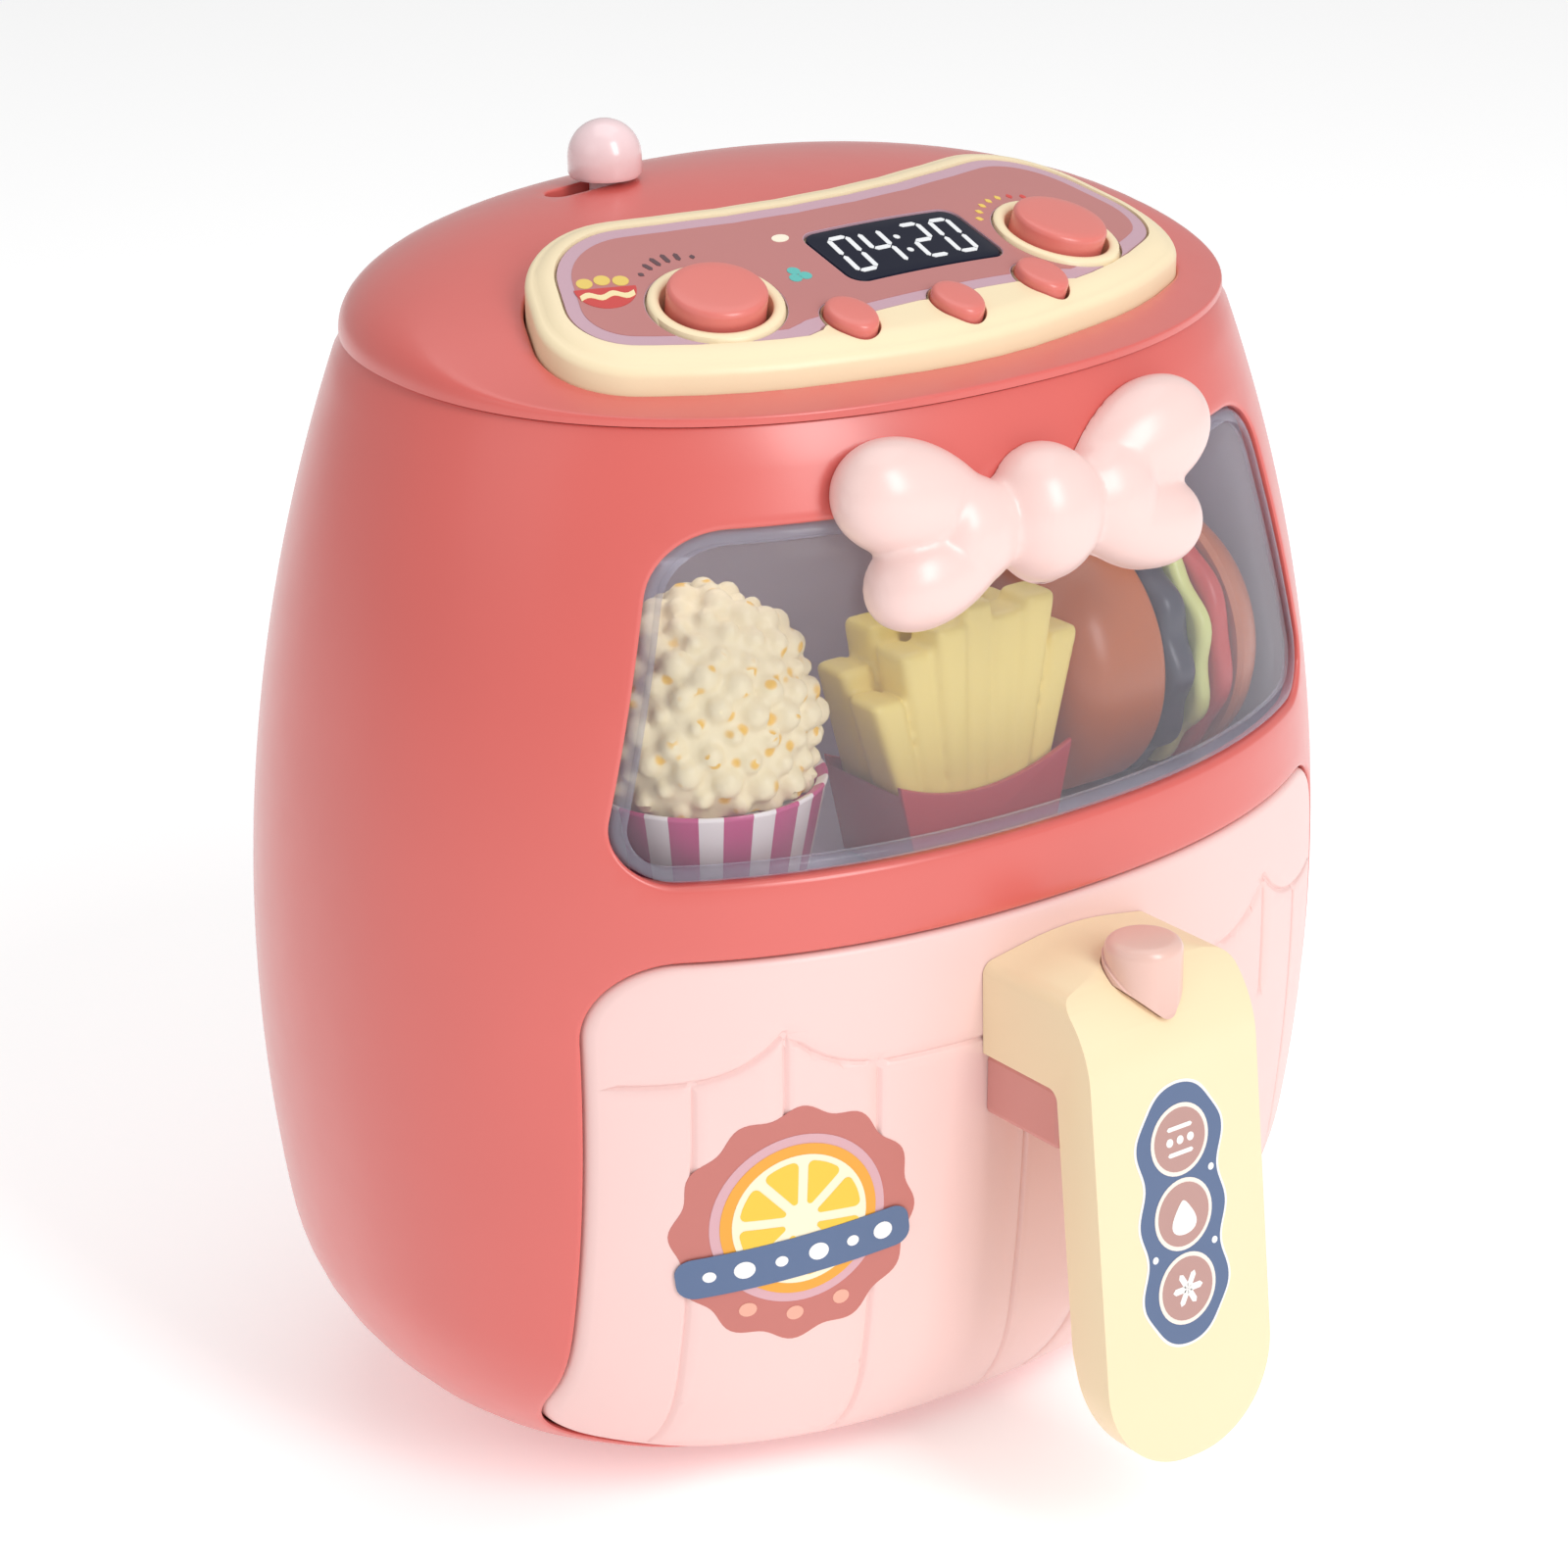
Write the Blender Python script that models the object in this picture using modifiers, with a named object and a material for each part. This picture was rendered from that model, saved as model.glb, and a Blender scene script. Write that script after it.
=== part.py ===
"""Toy air fryer for pretend play.

A moulded, barrel-shaped body with a domed lid and a raised control panel, a clear window with play food
behind it, a bow over the window, and a basket drawer with an L-shaped handle. Metres, +Z up, the front
looks along -Y, and the origin is the middle of the flat base.
"""

import math

import bmesh
import bpy
from mathutils import Matrix, Vector

# Driving sizes of the body
BODY_HALF_WIDTH = 0.0806
BODY_HALF_DEPTH = 0.0605
BODY_WIDEST_HEIGHT = 0.070
SIDE_ARC_RADIUS = 0.235
FRONT_ARC_RADIUS = 0.300
SIDE_BASE_ROUND = 0.039
FRONT_BASE_ROUND = 0.035
SEAM_HEIGHT = 0.156
SEAM_DROP = 0.0022
WALL = 0.0022
GAP = 0.0003
OVERRUN = 0.002

# How finely round forms are cut, as counts, angles and shares
SECTION_POWER_SHARE = 2.2
RING_POINTS = 40
BASE_RING_SHARES = (0, 0.06, 0.22, 0.46, 0.76)
BARREL_RINGS = 7
BARREL_START_SHARE = 0.26
ARC_STEP_DEG = 15
TURN_STEPS = 24
SMOOTH_DEG = 32
FLAT_ANGLE = 0.002
BALL_SEGMENTS = 16
BALL_RINGS = 10
FEW_STEPS = 12
BEVEL_SEGMENTS = 2
BEVEL_DEG = 40
SETTLE_ROUNDS = 3

# Shares of the gap below which points are welded, and the share of a half width that its round end takes
WELD_SHARE = 1 / 300
AXIS_WELD_SHARE = 1 / 30
FADE_SHARE = 1 / 10
ROUND_END_SHARE = 0.98

FAR = BODY_HALF_WIDTH + BODY_HALF_DEPTH
SEAM_SLOPE_SHARE = SEAM_DROP / BODY_HALF_DEPTH

# Colours as linear red, green and blue, with roughness and metallic
CORAL = ((0.74, 0.135, 0.115), 0.38, 0.0)
PALE_PINK = ((0.88, 0.60, 0.57), 0.40, 0.0)
BOW_PINK = ((0.93, 0.68, 0.62), 0.36, 0.0)
CREAM = ((0.95, 0.84, 0.52), 0.38, 0.0)
KNOB_PINK = ((0.90, 0.56, 0.54), 0.30, 0.0)
BUTTON_CORAL = ((0.80, 0.175, 0.15), 0.40, 0.0)
RELEASE_PINK = ((0.72, 0.44, 0.37), 0.35, 0.0)
BRACKET_PINK = ((0.70, 0.27, 0.24), 0.42, 0.0)
ROSE_PRINT = ((0.50, 0.18, 0.17), 0.45, 0.0)
DISPLAY_BLUE = ((0.005, 0.012, 0.03), 0.12, 0.0)
CLEAR = ((0.80, 0.84, 0.88), 0.06, 0.0)
MAUVE_GREY = ((0.25, 0.21, 0.25), 0.55, 0.0)
INNER_GREY = ((0.55, 0.53, 0.52), 0.55, 0.0)
PAN_PINK = ((0.84, 0.50, 0.47), 0.42, 0.0)
BLACK_PLASTIC = ((0.02, 0.02, 0.022), 0.45, 0.0)
BOARD_GREEN = ((0.03, 0.17, 0.06), 0.5, 0.0)
METAL = ((0.60, 0.60, 0.58), 0.30, 1.0)
CELL_BLUE = ((0.05, 0.12, 0.30), 0.35, 0.2)
POPCORN_IVORY = ((0.86, 0.76, 0.50), 0.6, 0.0)
TUB_WHITE = ((0.86, 0.83, 0.80), 0.5, 0.0)
FRIES_YELLOW = ((0.84, 0.70, 0.16), 0.5, 0.0)
BOX_RED = ((0.45, 0.06, 0.075), 0.45, 0.0)
BUN_BROWN = ((0.55, 0.16, 0.06), 0.45, 0.0)
PATTY_DARK = ((0.05, 0.04, 0.055), 0.55, 0.0)
TOMATO_RED = ((0.55, 0.03, 0.025), 0.35, 0.0)
LETTUCE_GREEN = ((0.66, 0.64, 0.26), 0.5, 0.0)

for old in list(bpy.data.objects):
    bpy.data.objects.remove(old, do_unlink=True)

PARTS = bpy.data.collections.new("toy_air_fryer")
CUTTERS = bpy.data.collections.new("cutters")
bpy.context.scene.collection.children.link(PARTS)
bpy.context.scene.collection.children.link(CUTTERS)


def material(look):
    """One Principled material for a colour, roughness and metallic value, made once."""
    name = "look_" + "_".join(f"{round(100 * part)}" for part in look[0])
    found = bpy.data.materials.get(name)
    if found:
        return found
    made = bpy.data.materials.new(name)
    made.use_nodes = True
    shader = made.node_tree.nodes["Principled BSDF"]
    shader.inputs["Base Color"].default_value = (*look[0], 1)
    shader.inputs["Roughness"].default_value = look[1]
    shader.inputs["Metallic"].default_value = look[2]
    made.diffuse_color = (*look[0], 1)
    return made


def shape(bm, name="blank"):
    """A working object in the cutters' collection that holds a finished bmesh."""
    mesh = bpy.data.meshes.new(name)
    bm.to_mesh(mesh)
    bm.free()
    obj = bpy.data.objects.new(name, mesh)
    obj.hide_render = True
    obj.display_type = "WIRE"
    CUTTERS.objects.link(obj)
    return obj


def baked(obj):
    """Turns a curve or an object with modifiers into a plain mesh in world space, and removes the original."""
    bpy.context.view_layer.update()
    seen = obj.evaluated_get(bpy.context.evaluated_depsgraph_get())
    mesh = bpy.data.meshes.new_from_object(seen)
    bm = bmesh.new()
    bm.from_mesh(mesh)
    bm.transform(obj.matrix_world)
    bmesh.ops.remove_doubles(bm, verts=bm.verts, dist=GAP * WELD_SHARE)
    bmesh.ops.recalc_face_normals(bm, faces=bm.faces)
    bpy.data.objects.remove(obj)
    bpy.data.meshes.remove(mesh)
    return shape(bm)


def combined(obj, other, operation):
    """Carries out one Boolean between two working objects and uses up the second."""
    step = obj.modifiers.new("combine", "BOOLEAN")
    step.operation = operation
    step.object = other
    result = baked(obj)
    bpy.data.objects.remove(other)
    return result


def cut(obj, *cutters):
    for cutter in cutters:
        obj = combined(obj, cutter, "DIFFERENCE")
    return obj


def kept(obj, cutter):
    return combined(obj, cutter, "INTERSECT")


def joined(obj, *others):
    for other in others:
        obj = combined(obj, other, "UNION")
    return obj


def piece(obj, name, look):
    """Names a working object as a finished piece, with its material and smooth round faces."""
    obj.name = name
    obj.data.name = name
    obj.hide_render = False
    obj.display_type = "TEXTURED"
    CUTTERS.objects.unlink(obj)
    PARTS.objects.link(obj)
    obj.data.materials.clear()
    obj.data.materials.append(material(look))
    obj.data.shade_smooth()
    obj.data.set_sharp_from_angle(angle=math.radians(SMOOTH_DEG))
    return obj


def pivot(name, place, *children):
    """An empty on a joint's axis that carries the pieces of one moving body."""
    empty = bpy.data.objects.new(name, None)
    PARTS.objects.link(empty)
    empty.location = place
    bpy.context.view_layer.update()
    for child in children:
        child.parent = empty
        child.matrix_parent_inverse = empty.matrix_world.inverted()
    return empty


def box(low, high):
    """A block between two opposite corners."""
    bm = bmesh.new()
    bmesh.ops.create_cube(bm, size=1)
    size = [top - bottom for bottom, top in zip(low, high)]
    middle = [(top + bottom) / 2 for bottom, top in zip(low, high)]
    bm.transform(Matrix.Translation(middle) @ Matrix.Diagonal((*size, 1)))
    return shape(bm)


def cylinder(radius, low, high, frame=None, steps=TURN_STEPS):
    """A round bar along the frame's Z axis, from low to high."""
    bm = bmesh.new()
    bmesh.ops.create_cone(
        bm, cap_ends=True, segments=steps, radius1=radius, radius2=radius, depth=high - low
    )
    bm.transform((frame or Matrix()) @ Matrix.Translation((0, 0, (low + high) / 2)))
    return shape(bm)


def ball(radii, place, turn_y_deg=0, segments=BALL_SEGMENTS, rings=BALL_RINGS):
    """An ellipsoid with three radii, turned about Y and set at a place."""
    bm = bmesh.new()
    bmesh.ops.create_uvsphere(bm, u_segments=segments, v_segments=rings, radius=1)
    turn = Matrix.Rotation(math.radians(turn_y_deg), 4, "Y")
    bm.transform(Matrix.Translation(place) @ turn @ Matrix.Diagonal((*radii, 1)))
    return shape(bm)


def turned(profile, frame=None, steps=TURN_STEPS):
    """A turned solid. The profile's (radius, height) points run down its outer side from the axis to the axis."""
    mesh = bpy.data.meshes.new("profile")
    points = [(radius, 0, height) for radius, height in profile]
    mesh.from_pydata(points, [(n, n + 1) for n in range(len(points) - 1)], [])
    obj = bpy.data.objects.new("profile", mesh)
    CUTTERS.objects.link(obj)
    obj.matrix_world = frame or Matrix()
    screw = obj.modifiers.new("turn", "SCREW")
    screw.steps = steps
    screw.render_steps = steps
    screw.use_merge_vertices = True
    screw.merge_threshold = GAP * AXIS_WELD_SHARE
    return baked(obj)


def rounded(corners):
    """Points of an outline from its corners (across, along, radius), each round stretch as an arc."""
    points = []
    for n, (across, along, radius) in enumerate(corners):
        here = Vector((across, along))
        before = (Vector(corners[n - 1][:2]) - here).normalized()
        after = (Vector(corners[(n + 1) % len(corners)][:2]) - here).normalized()
        if radius == 0:
            points.append(here)
            continue
        half = before.angle(after) / 2
        centre = here + (before + after).normalized() * radius / math.sin(half)
        first = here + before * radius / math.tan(half) - centre
        sweep = math.pi - 2 * half
        steps = max(2, math.ceil(math.degrees(sweep) / ARC_STEP_DEG))
        side = 1 if before.cross(after) < 0 else -1
        for k in range(steps + 1):
            points.append(centre + Matrix.Rotation(side * sweep * k / steps, 2) @ first)
    return points


def both_sides(half):
    """A whole outline from the corners of its right half, listed from the top middle to the bottom middle."""
    return half + [(-across, along, radius) for across, along, radius in reversed(half) if across > 0]


def grown(points, amount):
    """An outline moved out by an amount, or in by a negative one."""
    area = sum(a.cross(b) for a, b in zip(points, points[1:] + points[:1]))
    side = 1 if area > 0 else -1
    moved = []
    for n, here in enumerate(points):
        first = (here - points[n - 1]).normalized()
        second = (points[(n + 1) % len(points)] - here).normalized()
        normals = [Vector((edge.y, -edge.x)) * side for edge in (first, second)]
        total = normals[0] + normals[1]
        moved.append(here + total * amount / (1 + normals[0].dot(normals[1])))
    return moved


AXES = {
    "X": Matrix(((0, 0, 1, 0), (1, 0, 0, 0), (0, 1, 0, 0), (0, 0, 0, 1))),
    "Y": Matrix(((1, 0, 0, 0), (0, 0, -1, 0), (0, 1, 0, 0), (0, 0, 0, 1))),
    "Z": Matrix(),
}


def plate(points, low, high, axis="Z", holes=()):
    """A flat outline with thickness, from low to high along an axis. Across Y and X it is drawn as (x, z) and (y, z)."""
    curve = bpy.data.curves.new("outline", "CURVE")
    curve.dimensions = "2D"
    curve.fill_mode = "BOTH"
    curve.extrude = (high - low) / 2
    for loop in (points, *holes):
        spline = curve.splines.new("POLY")
        spline.points.add(len(loop) - 1)
        for spot, (across, along) in zip(spline.points, loop):
            spot.co = (across, along, 0, 1)
        spline.use_cyclic_u = True
    obj = bpy.data.objects.new("outline", curve)
    CUTTERS.objects.link(obj)
    middle = (low + high) / 2
    along_axis = -middle if axis == "Y" else middle
    obj.matrix_world = AXES[axis] @ Matrix.Translation((0, 0, along_axis))
    return baked(obj)


def sloped(obj, slope_share):
    """Shears a piece so that it rises towards the back."""
    shear = Matrix()
    shear[2][1] = slope_share
    obj.data.transform(shear)
    return obj


def softened(obj, width, chosen, segments=BEVEL_SEGMENTS):
    """Bevels the sharp edges for which chosen(first point, second point) holds."""
    bm = bmesh.new()
    bm.from_mesh(obj.data)
    sharp = math.radians(SMOOTH_DEG)
    edges = [
        edge
        for edge in bm.edges
        if edge.calc_face_angle(0) > sharp and chosen(*(vert.co for vert in edge.verts))
    ]
    bmesh.ops.bevel(
        bm, geom=edges, offset=width, segments=segments, profile=0.5, affect="EDGES", clamp_overlap=True
    )
    bm.to_mesh(obj.data)
    bm.free()
    return obj


def bevelled(obj, width, segments=BEVEL_SEGMENTS, angle_deg=BEVEL_DEG):
    """Rounds every edge sharper than an angle."""
    step = obj.modifiers.new("bevel", "BEVEL")
    step.width = width
    step.segments = segments
    step.limit_method = "ANGLE"
    step.angle_limit = math.radians(angle_deg)
    obj.modifiers.new("flat faces", "TRIANGULATE")
    return baked(obj)


def half_extent(height, reach, arc_radius, base_round, inset=0):
    """Half the body's width or depth at a height: a barrel arc over a base rounding that meets it smoothly."""
    fall = BODY_WIDEST_HEIGHT - base_round
    apart = arc_radius - base_round
    if height < base_round - fall * (base_round - inset) / apart:
        centre = reach - arc_radius + math.sqrt(apart**2 - fall**2)
        under = (base_round - inset) ** 2 - (base_round - height) ** 2
        return centre + math.sqrt(max(0, under))
    rise = height - BODY_WIDEST_HEIGHT
    return reach - arc_radius + math.sqrt((arc_radius - inset) ** 2 - rise**2)


def half_width(height, inset=0):
    return half_extent(height, BODY_HALF_WIDTH, SIDE_ARC_RADIUS, SIDE_BASE_ROUND, inset)


def half_depth(height, inset=0):
    return half_extent(height, BODY_HALF_DEPTH, FRONT_ARC_RADIUS, FRONT_BASE_ROUND, inset)


def power(value, share):
    return math.copysign(abs(value) ** share, value)


def body_point(height, turn_share, inset=0):
    """A point of the body's surface, moved in by the inset, at a height and a share of a turn from +X."""
    if height < FRONT_BASE_ROUND:
        height = inset + height * (FRONT_BASE_ROUND - inset) / FRONT_BASE_ROUND
    angle = 2 * math.pi * turn_share
    share = 2 / SECTION_POWER_SHARE
    x = half_width(height, inset) * power(math.cos(angle), share)
    y = half_depth(height, inset) * power(math.sin(angle), share)
    return Vector((x, y, height * (1 + SEAM_SLOPE_SHARE * y / SEAM_HEIGHT)))


def depth_at(x, z, inset=0):
    """How far the body's surface lies from its middle plane at a place across and up."""
    height = z
    for _ in range(SETTLE_ROUNDS):
        inner = max(0, 1 - abs(x / half_width(height, inset)) ** SECTION_POWER_SHARE)
        y = half_depth(height, inset) * inner ** (1 / SECTION_POWER_SHARE)
        height = z / (1 - SEAM_SLOPE_SHARE * y / SEAM_HEIGHT)
    return y


def ring_heights():
    low = [FRONT_BASE_ROUND * share for share in BASE_RING_SHARES]
    start = SEAM_HEIGHT * BARREL_START_SHARE
    rise = (SEAM_HEIGHT - start) / BARREL_RINGS
    return low + [start + rise * n for n in range(BARREL_RINGS + 1)]


def body_sheet(inset, closed):
    """The body's surface as a loft of its sections, open at both ends or closed."""
    bm = bmesh.new()
    rings = []
    for height in ring_heights():
        ring = [bm.verts.new(body_point(height, n / RING_POINTS, inset)) for n in range(RING_POINTS)]
        rings.append(ring)
    for lower, upper in zip(rings, rings[1:]):
        for n in range(RING_POINTS):
            m = (n + 1) % RING_POINTS
            bm.faces.new((lower[n], lower[m], upper[m], upper[n]))
    if closed:
        bm.faces.new(reversed(rings[0]))
        bm.faces.new(rings[-1])
    bmesh.ops.triangulate(bm, faces=bm.faces)
    return shape(bm)


def thickened(sheet, wall):
    """A shell of an even wall behind an open sheet."""
    step = sheet.modifiers.new("wall", "SOLIDIFY")
    step.thickness = wall
    step.offset = -1
    step.use_even_offset = True
    step.use_rim = True
    return baked(sheet)


def body_shell(inset=0, wall=WALL):
    return thickened(body_sheet(inset, closed=False), wall)


def body_solid(inset):
    return body_sheet(inset, closed=True)


def inside_body(obj, inset=WALL + GAP):
    """Trims an inner piece so that it stays clear of the outer wall."""
    return kept(obj, body_solid(inset))


def off_body(obj):
    """Trims an outer piece so that it stands clear of the body's surface."""
    return cut(obj, body_solid(-GAP))


# The drawer's outline on the front, and the pan that slides behind it
DRAWER_HALF_WIDTH = 0.0638
DRAWER_TOP = 0.0872
DRAWER_BOTTOM = 0.004
DRAWER_LOW_CORNER_HEIGHT = 0.0125
DRAWER_LOW_HALF_WIDTH = 0.038
DRAWER_TOP_ROUND = 0.0105
DRAWER_SIDE_ROUND = 0.011
DRAWER_LOW_ROUND = 0.020
DRAWER_OUTLINE = rounded(
    both_sides(
        [
            (DRAWER_HALF_WIDTH, DRAWER_TOP, DRAWER_TOP_ROUND),
            (DRAWER_HALF_WIDTH, DRAWER_LOW_CORNER_HEIGHT, DRAWER_SIDE_ROUND),
            (DRAWER_LOW_HALF_WIDTH, DRAWER_BOTTOM, DRAWER_LOW_ROUND),
        ]
    )
)
DRAWER_TRAVEL = 0.070

# The window's outline on the front
WINDOW_TOP = 0.142
WINDOW_BOTTOM = 0.0982
WINDOW_TOP_HALF_WIDTH = 0.0497
WINDOW_BOTTOM_HALF_WIDTH = 0.0610
WINDOW_TOP_ROUND = 0.0105
WINDOW_BOTTOM_ROUND = 0.0065
WINDOW_OUTLINE = rounded(
    both_sides(
        [
            (WINDOW_TOP_HALF_WIDTH, WINDOW_TOP, WINDOW_TOP_ROUND),
            (WINDOW_BOTTOM_HALF_WIDTH, WINDOW_BOTTOM, WINDOW_BOTTOM_ROUND),
        ]
    )
)
WINDOW_SINK = 0.0005

# The rear cover closes the housing behind this plane
REAR_SPLIT = 0.036

# The battery door's outline on the rear cover
DOOR_HALF_WIDTH = 0.0260
DOOR_LOW = 0.0209
DOOR_HIGH = 0.0501
DOOR_ROUND = 0.004
DOOR_OUTLINE = rounded(
    [
        (DOOR_HALF_WIDTH, DOOR_HIGH, DOOR_ROUND),
        (DOOR_HALF_WIDTH, DOOR_LOW, DOOR_ROUND),
        (-DOOR_HALF_WIDTH, DOOR_LOW, DOOR_ROUND),
        (-DOOR_HALF_WIDTH, DOOR_HIGH, DOOR_ROUND),
    ]
)


def rear_half():
    return box((-FAR, REAR_SPLIT, -FAR), (FAR, FAR, 2 * FAR))


def front_prism(outline, clearance):
    """A cutter through the front wall, larger than an outline by a clearance."""
    return plate(grown(outline, clearance), -FAR, 0, "Y")


def rear_prism(outline, clearance):
    return plate(grown(outline, clearance), 0, FAR, "Y")


# Front shell: one moulding round the front and sides, open for the drawer and the window
front_shell = cut(
    body_shell(),
    rear_half(),
    front_prism(DRAWER_OUTLINE, GAP),
    front_prism(WINDOW_OUTLINE, GAP),
)
piece(front_shell, "front_shell", CORAL)

# Window pane: a clear moulding set slightly back in its opening
window_pane = kept(body_shell(inset=WINDOW_SINK, wall=WALL - WINDOW_SINK), front_prism(WINDOW_OUTLINE, 0))
piece(window_pane, "window_pane", CLEAR)

# Rear cover: the back of the housing, with the speaker's slots, the switch's slot and the battery opening
SPEAKER_HEIGHT = 0.112
SPEAKER_RADIUS = 0.018
SPEAKER_RIM = 0.0015
SLOT_WIDTH = 0.0024
SLOT_PITCH = 0.0052
SLOT_COUNT = 5
SLOT_LENGTH = 0.024
SLOT_SHORTEN = 0.0022
SWITCH_HEIGHT = 0.077
SWITCH_SLOT_HALF_WIDTH = 0.0062
SWITCH_SLOT_HALF_HEIGHT = 0.0026
SWITCH_KNOB_HALF_WIDTH = 0.0035
SWITCH_TRAVEL = 0.004
SWITCH_STAND_OUT = 0.0016


def speaker_slots():
    slots = []
    for n in range(SLOT_COUNT):
        step = n - (SLOT_COUNT - 1) / 2
        x = SLOT_PITCH * step
        half = SLOT_LENGTH / 2 - SLOT_SHORTEN * abs(step)
        round_end = SLOT_WIDTH / 2
        top = SPEAKER_HEIGHT + half
        bottom = SPEAKER_HEIGHT - half
        corners = [
            (x + round_end, top, round_end * ROUND_END_SHARE),
            (x + round_end, bottom, round_end * ROUND_END_SHARE),
            (x - round_end, bottom, round_end * ROUND_END_SHARE),
            (x - round_end, top, round_end * ROUND_END_SHARE),
        ]
        slots.append(plate(rounded(corners), 0, FAR, "Y"))
    return slots


speaker_seat = depth_at(SPEAKER_RADIUS + SPEAKER_RIM, SPEAKER_HEIGHT + SPEAKER_RADIUS, WALL) - OVERRUN
facing_back = Matrix.Translation((0, 0, SPEAKER_HEIGHT)) @ Matrix.Rotation(math.radians(-90), 4, "X")
speaker_ring = cut(
    cylinder(SPEAKER_RADIUS + SPEAKER_RIM, speaker_seat, depth_at(0, SPEAKER_HEIGHT) - WALL / 2, facing_back),
    cylinder(SPEAKER_RADIUS, 0, FAR, facing_back),
)
rear_cover = kept(body_shell(), box((-FAR, REAR_SPLIT + GAP, -FAR), (FAR, FAR, 2 * FAR)))
rear_cover = joined(rear_cover, kept(speaker_ring, body_solid(WALL / 2)))
rear_cover = cut(
    rear_cover,
    rear_prism(DOOR_OUTLINE, GAP),
    box(
        (-SWITCH_SLOT_HALF_WIDTH, REAR_SPLIT, SWITCH_HEIGHT - SWITCH_SLOT_HALF_HEIGHT),
        (SWITCH_SLOT_HALF_WIDTH, FAR, SWITCH_HEIGHT + SWITCH_SLOT_HALF_HEIGHT),
    ),
    *speaker_slots(),
)
piece(rear_cover, "rear_cover", CORAL)

battery_door = kept(body_shell(), rear_prism(DOOR_OUTLINE, 0))
piece(battery_door, "battery_door", CORAL)

# Base plate: the flat foot that the toy stands on, ribbed on top to carry the drawer bay
BASE_THICKNESS = 0.0024
RIB_WIDTH = 0.0024
RIB_SPACING = 0.024
BAY_FLOOR_BOTTOM = 0.0064


def section_outline(height, inset):
    """The body's flat section at a height as an outline."""
    return [body_point(height, n / RING_POINTS, inset).to_2d() for n in range(RING_POINTS)]


BASE_INSET = 0.0008
base_outline = grown(section_outline(0, 0), -BASE_INSET)
base_plate = plate(base_outline, 0, BASE_THICKNESS)
for side in (-1, 0, 1):
    rib = box(
        (side * RIB_SPACING - RIB_WIDTH / 2, -BODY_HALF_DEPTH, BASE_THICKNESS / 2),
        (side * RIB_SPACING + RIB_WIDTH / 2, BODY_HALF_DEPTH, BAY_FLOOR_BOTTOM - GAP),
    )
    base_plate = joined(base_plate, kept(rib, plate(grown(base_outline, -BASE_INSET), 0, FAR)))
piece(base_plate, "base_plate", CORAL)

# Drawer bay: the inner box that the pan slides in, standing on the base plate
PAN_HALF_WIDTH = 0.048
PAN_REAR = 0.032
PAN_TOP = 0.077
PAN_WALL = 0.0018
PAN_SIDE_CLEARANCE = 0.0008
BAY_WALL = 0.0018
BAY_TOP = 0.084
bay_inner_half = PAN_HALF_WIDTH + PAN_SIDE_CLEARANCE
bay_rear = PAN_REAR + PAN_SIDE_CLEARANCE
bay_floor = BAY_FLOOR_BOTTOM + BAY_WALL
drawer_bay = cut(
    box(
        (-bay_inner_half - BAY_WALL, -FAR, BAY_FLOOR_BOTTOM),
        (bay_inner_half + BAY_WALL, bay_rear + BAY_WALL, BAY_TOP),
    ),
    box((-bay_inner_half, -2 * FAR, bay_floor), (bay_inner_half, bay_rear, BAY_TOP - BAY_WALL)),
)
piece(inside_body(drawer_bay), "drawer_bay", INNER_GREY)

# Drawer pan: the open-topped basket, its front following the drawer's front
PAN_CORNER_ROUND = 0.012
pan_floor = bay_floor + GAP


def pan_block(side_inset, floor, top):
    """The pan's block, rounded at its rear corners, drawn in on all sides by an inset."""
    reach = PAN_HALF_WIDTH - side_inset
    rear = PAN_REAR - side_inset
    rear_round = PAN_CORNER_ROUND - side_inset
    outline = rounded(
        [(reach, rear, rear_round), (reach, -FAR, 0), (-reach, -FAR, 0), (-reach, rear, rear_round)]
    )
    return inside_body(plate(outline, floor, top), WALL + GAP + side_inset)


drawer_pan = cut(
    pan_block(0, pan_floor, PAN_TOP),
    pan_block(PAN_WALL, pan_floor + PAN_WALL, PAN_TOP + OVERRUN),
)
drawer_pan = piece(drawer_pan, "drawer_pan", PAN_PINK)

# Crisper plate: a slotted plate on short feet in the pan
CRISPER_THICKNESS = 0.0016
CRISPER_LIFT = 0.004
CRISPER_MARGIN = 0.0025
CRISPER_FOOT_RADIUS = 0.0025
CRISPER_SLOT_LENGTH = 0.0180
CRISPER_SLOT_WIDTH = 0.0036
CRISPER_SLOT_PITCH = 0.0092
CRISPER_COLUMNS = 7
CRISPER_ROWS_Y = (-0.016, 0.010)
CRISPER_FOOT_X = 0.030
CRISPER_FOOT_Y = 0.020
crisper_bottom = pan_floor + PAN_WALL + CRISPER_LIFT
crisper = pan_block(PAN_WALL + CRISPER_MARGIN, crisper_bottom, crisper_bottom + CRISPER_THICKNESS)
for row in CRISPER_ROWS_Y:
    for column in range(CRISPER_COLUMNS):
        x = CRISPER_SLOT_PITCH * (column - (CRISPER_COLUMNS - 1) / 2)
        crisper = cut(
            crisper,
            box(
                (x - CRISPER_SLOT_WIDTH / 2, row - CRISPER_SLOT_LENGTH / 2, 0),
                (x + CRISPER_SLOT_WIDTH / 2, row + CRISPER_SLOT_LENGTH / 2, FAR),
            ),
        )
for x in (-CRISPER_FOOT_X, CRISPER_FOOT_X):
    for y in (-CRISPER_FOOT_Y, CRISPER_FOOT_Y):
        foot_frame = Matrix.Translation((x, y, 0))
        foot = cylinder(
            CRISPER_FOOT_RADIUS,
            pan_floor + PAN_WALL + GAP,
            crisper_bottom + CRISPER_THICKNESS / 2,
            foot_frame,
            steps=FEW_STEPS,
        )
        crisper = joined(crisper, foot)
crisper_plate = piece(crisper, "crisper_plate", METAL)

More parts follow.
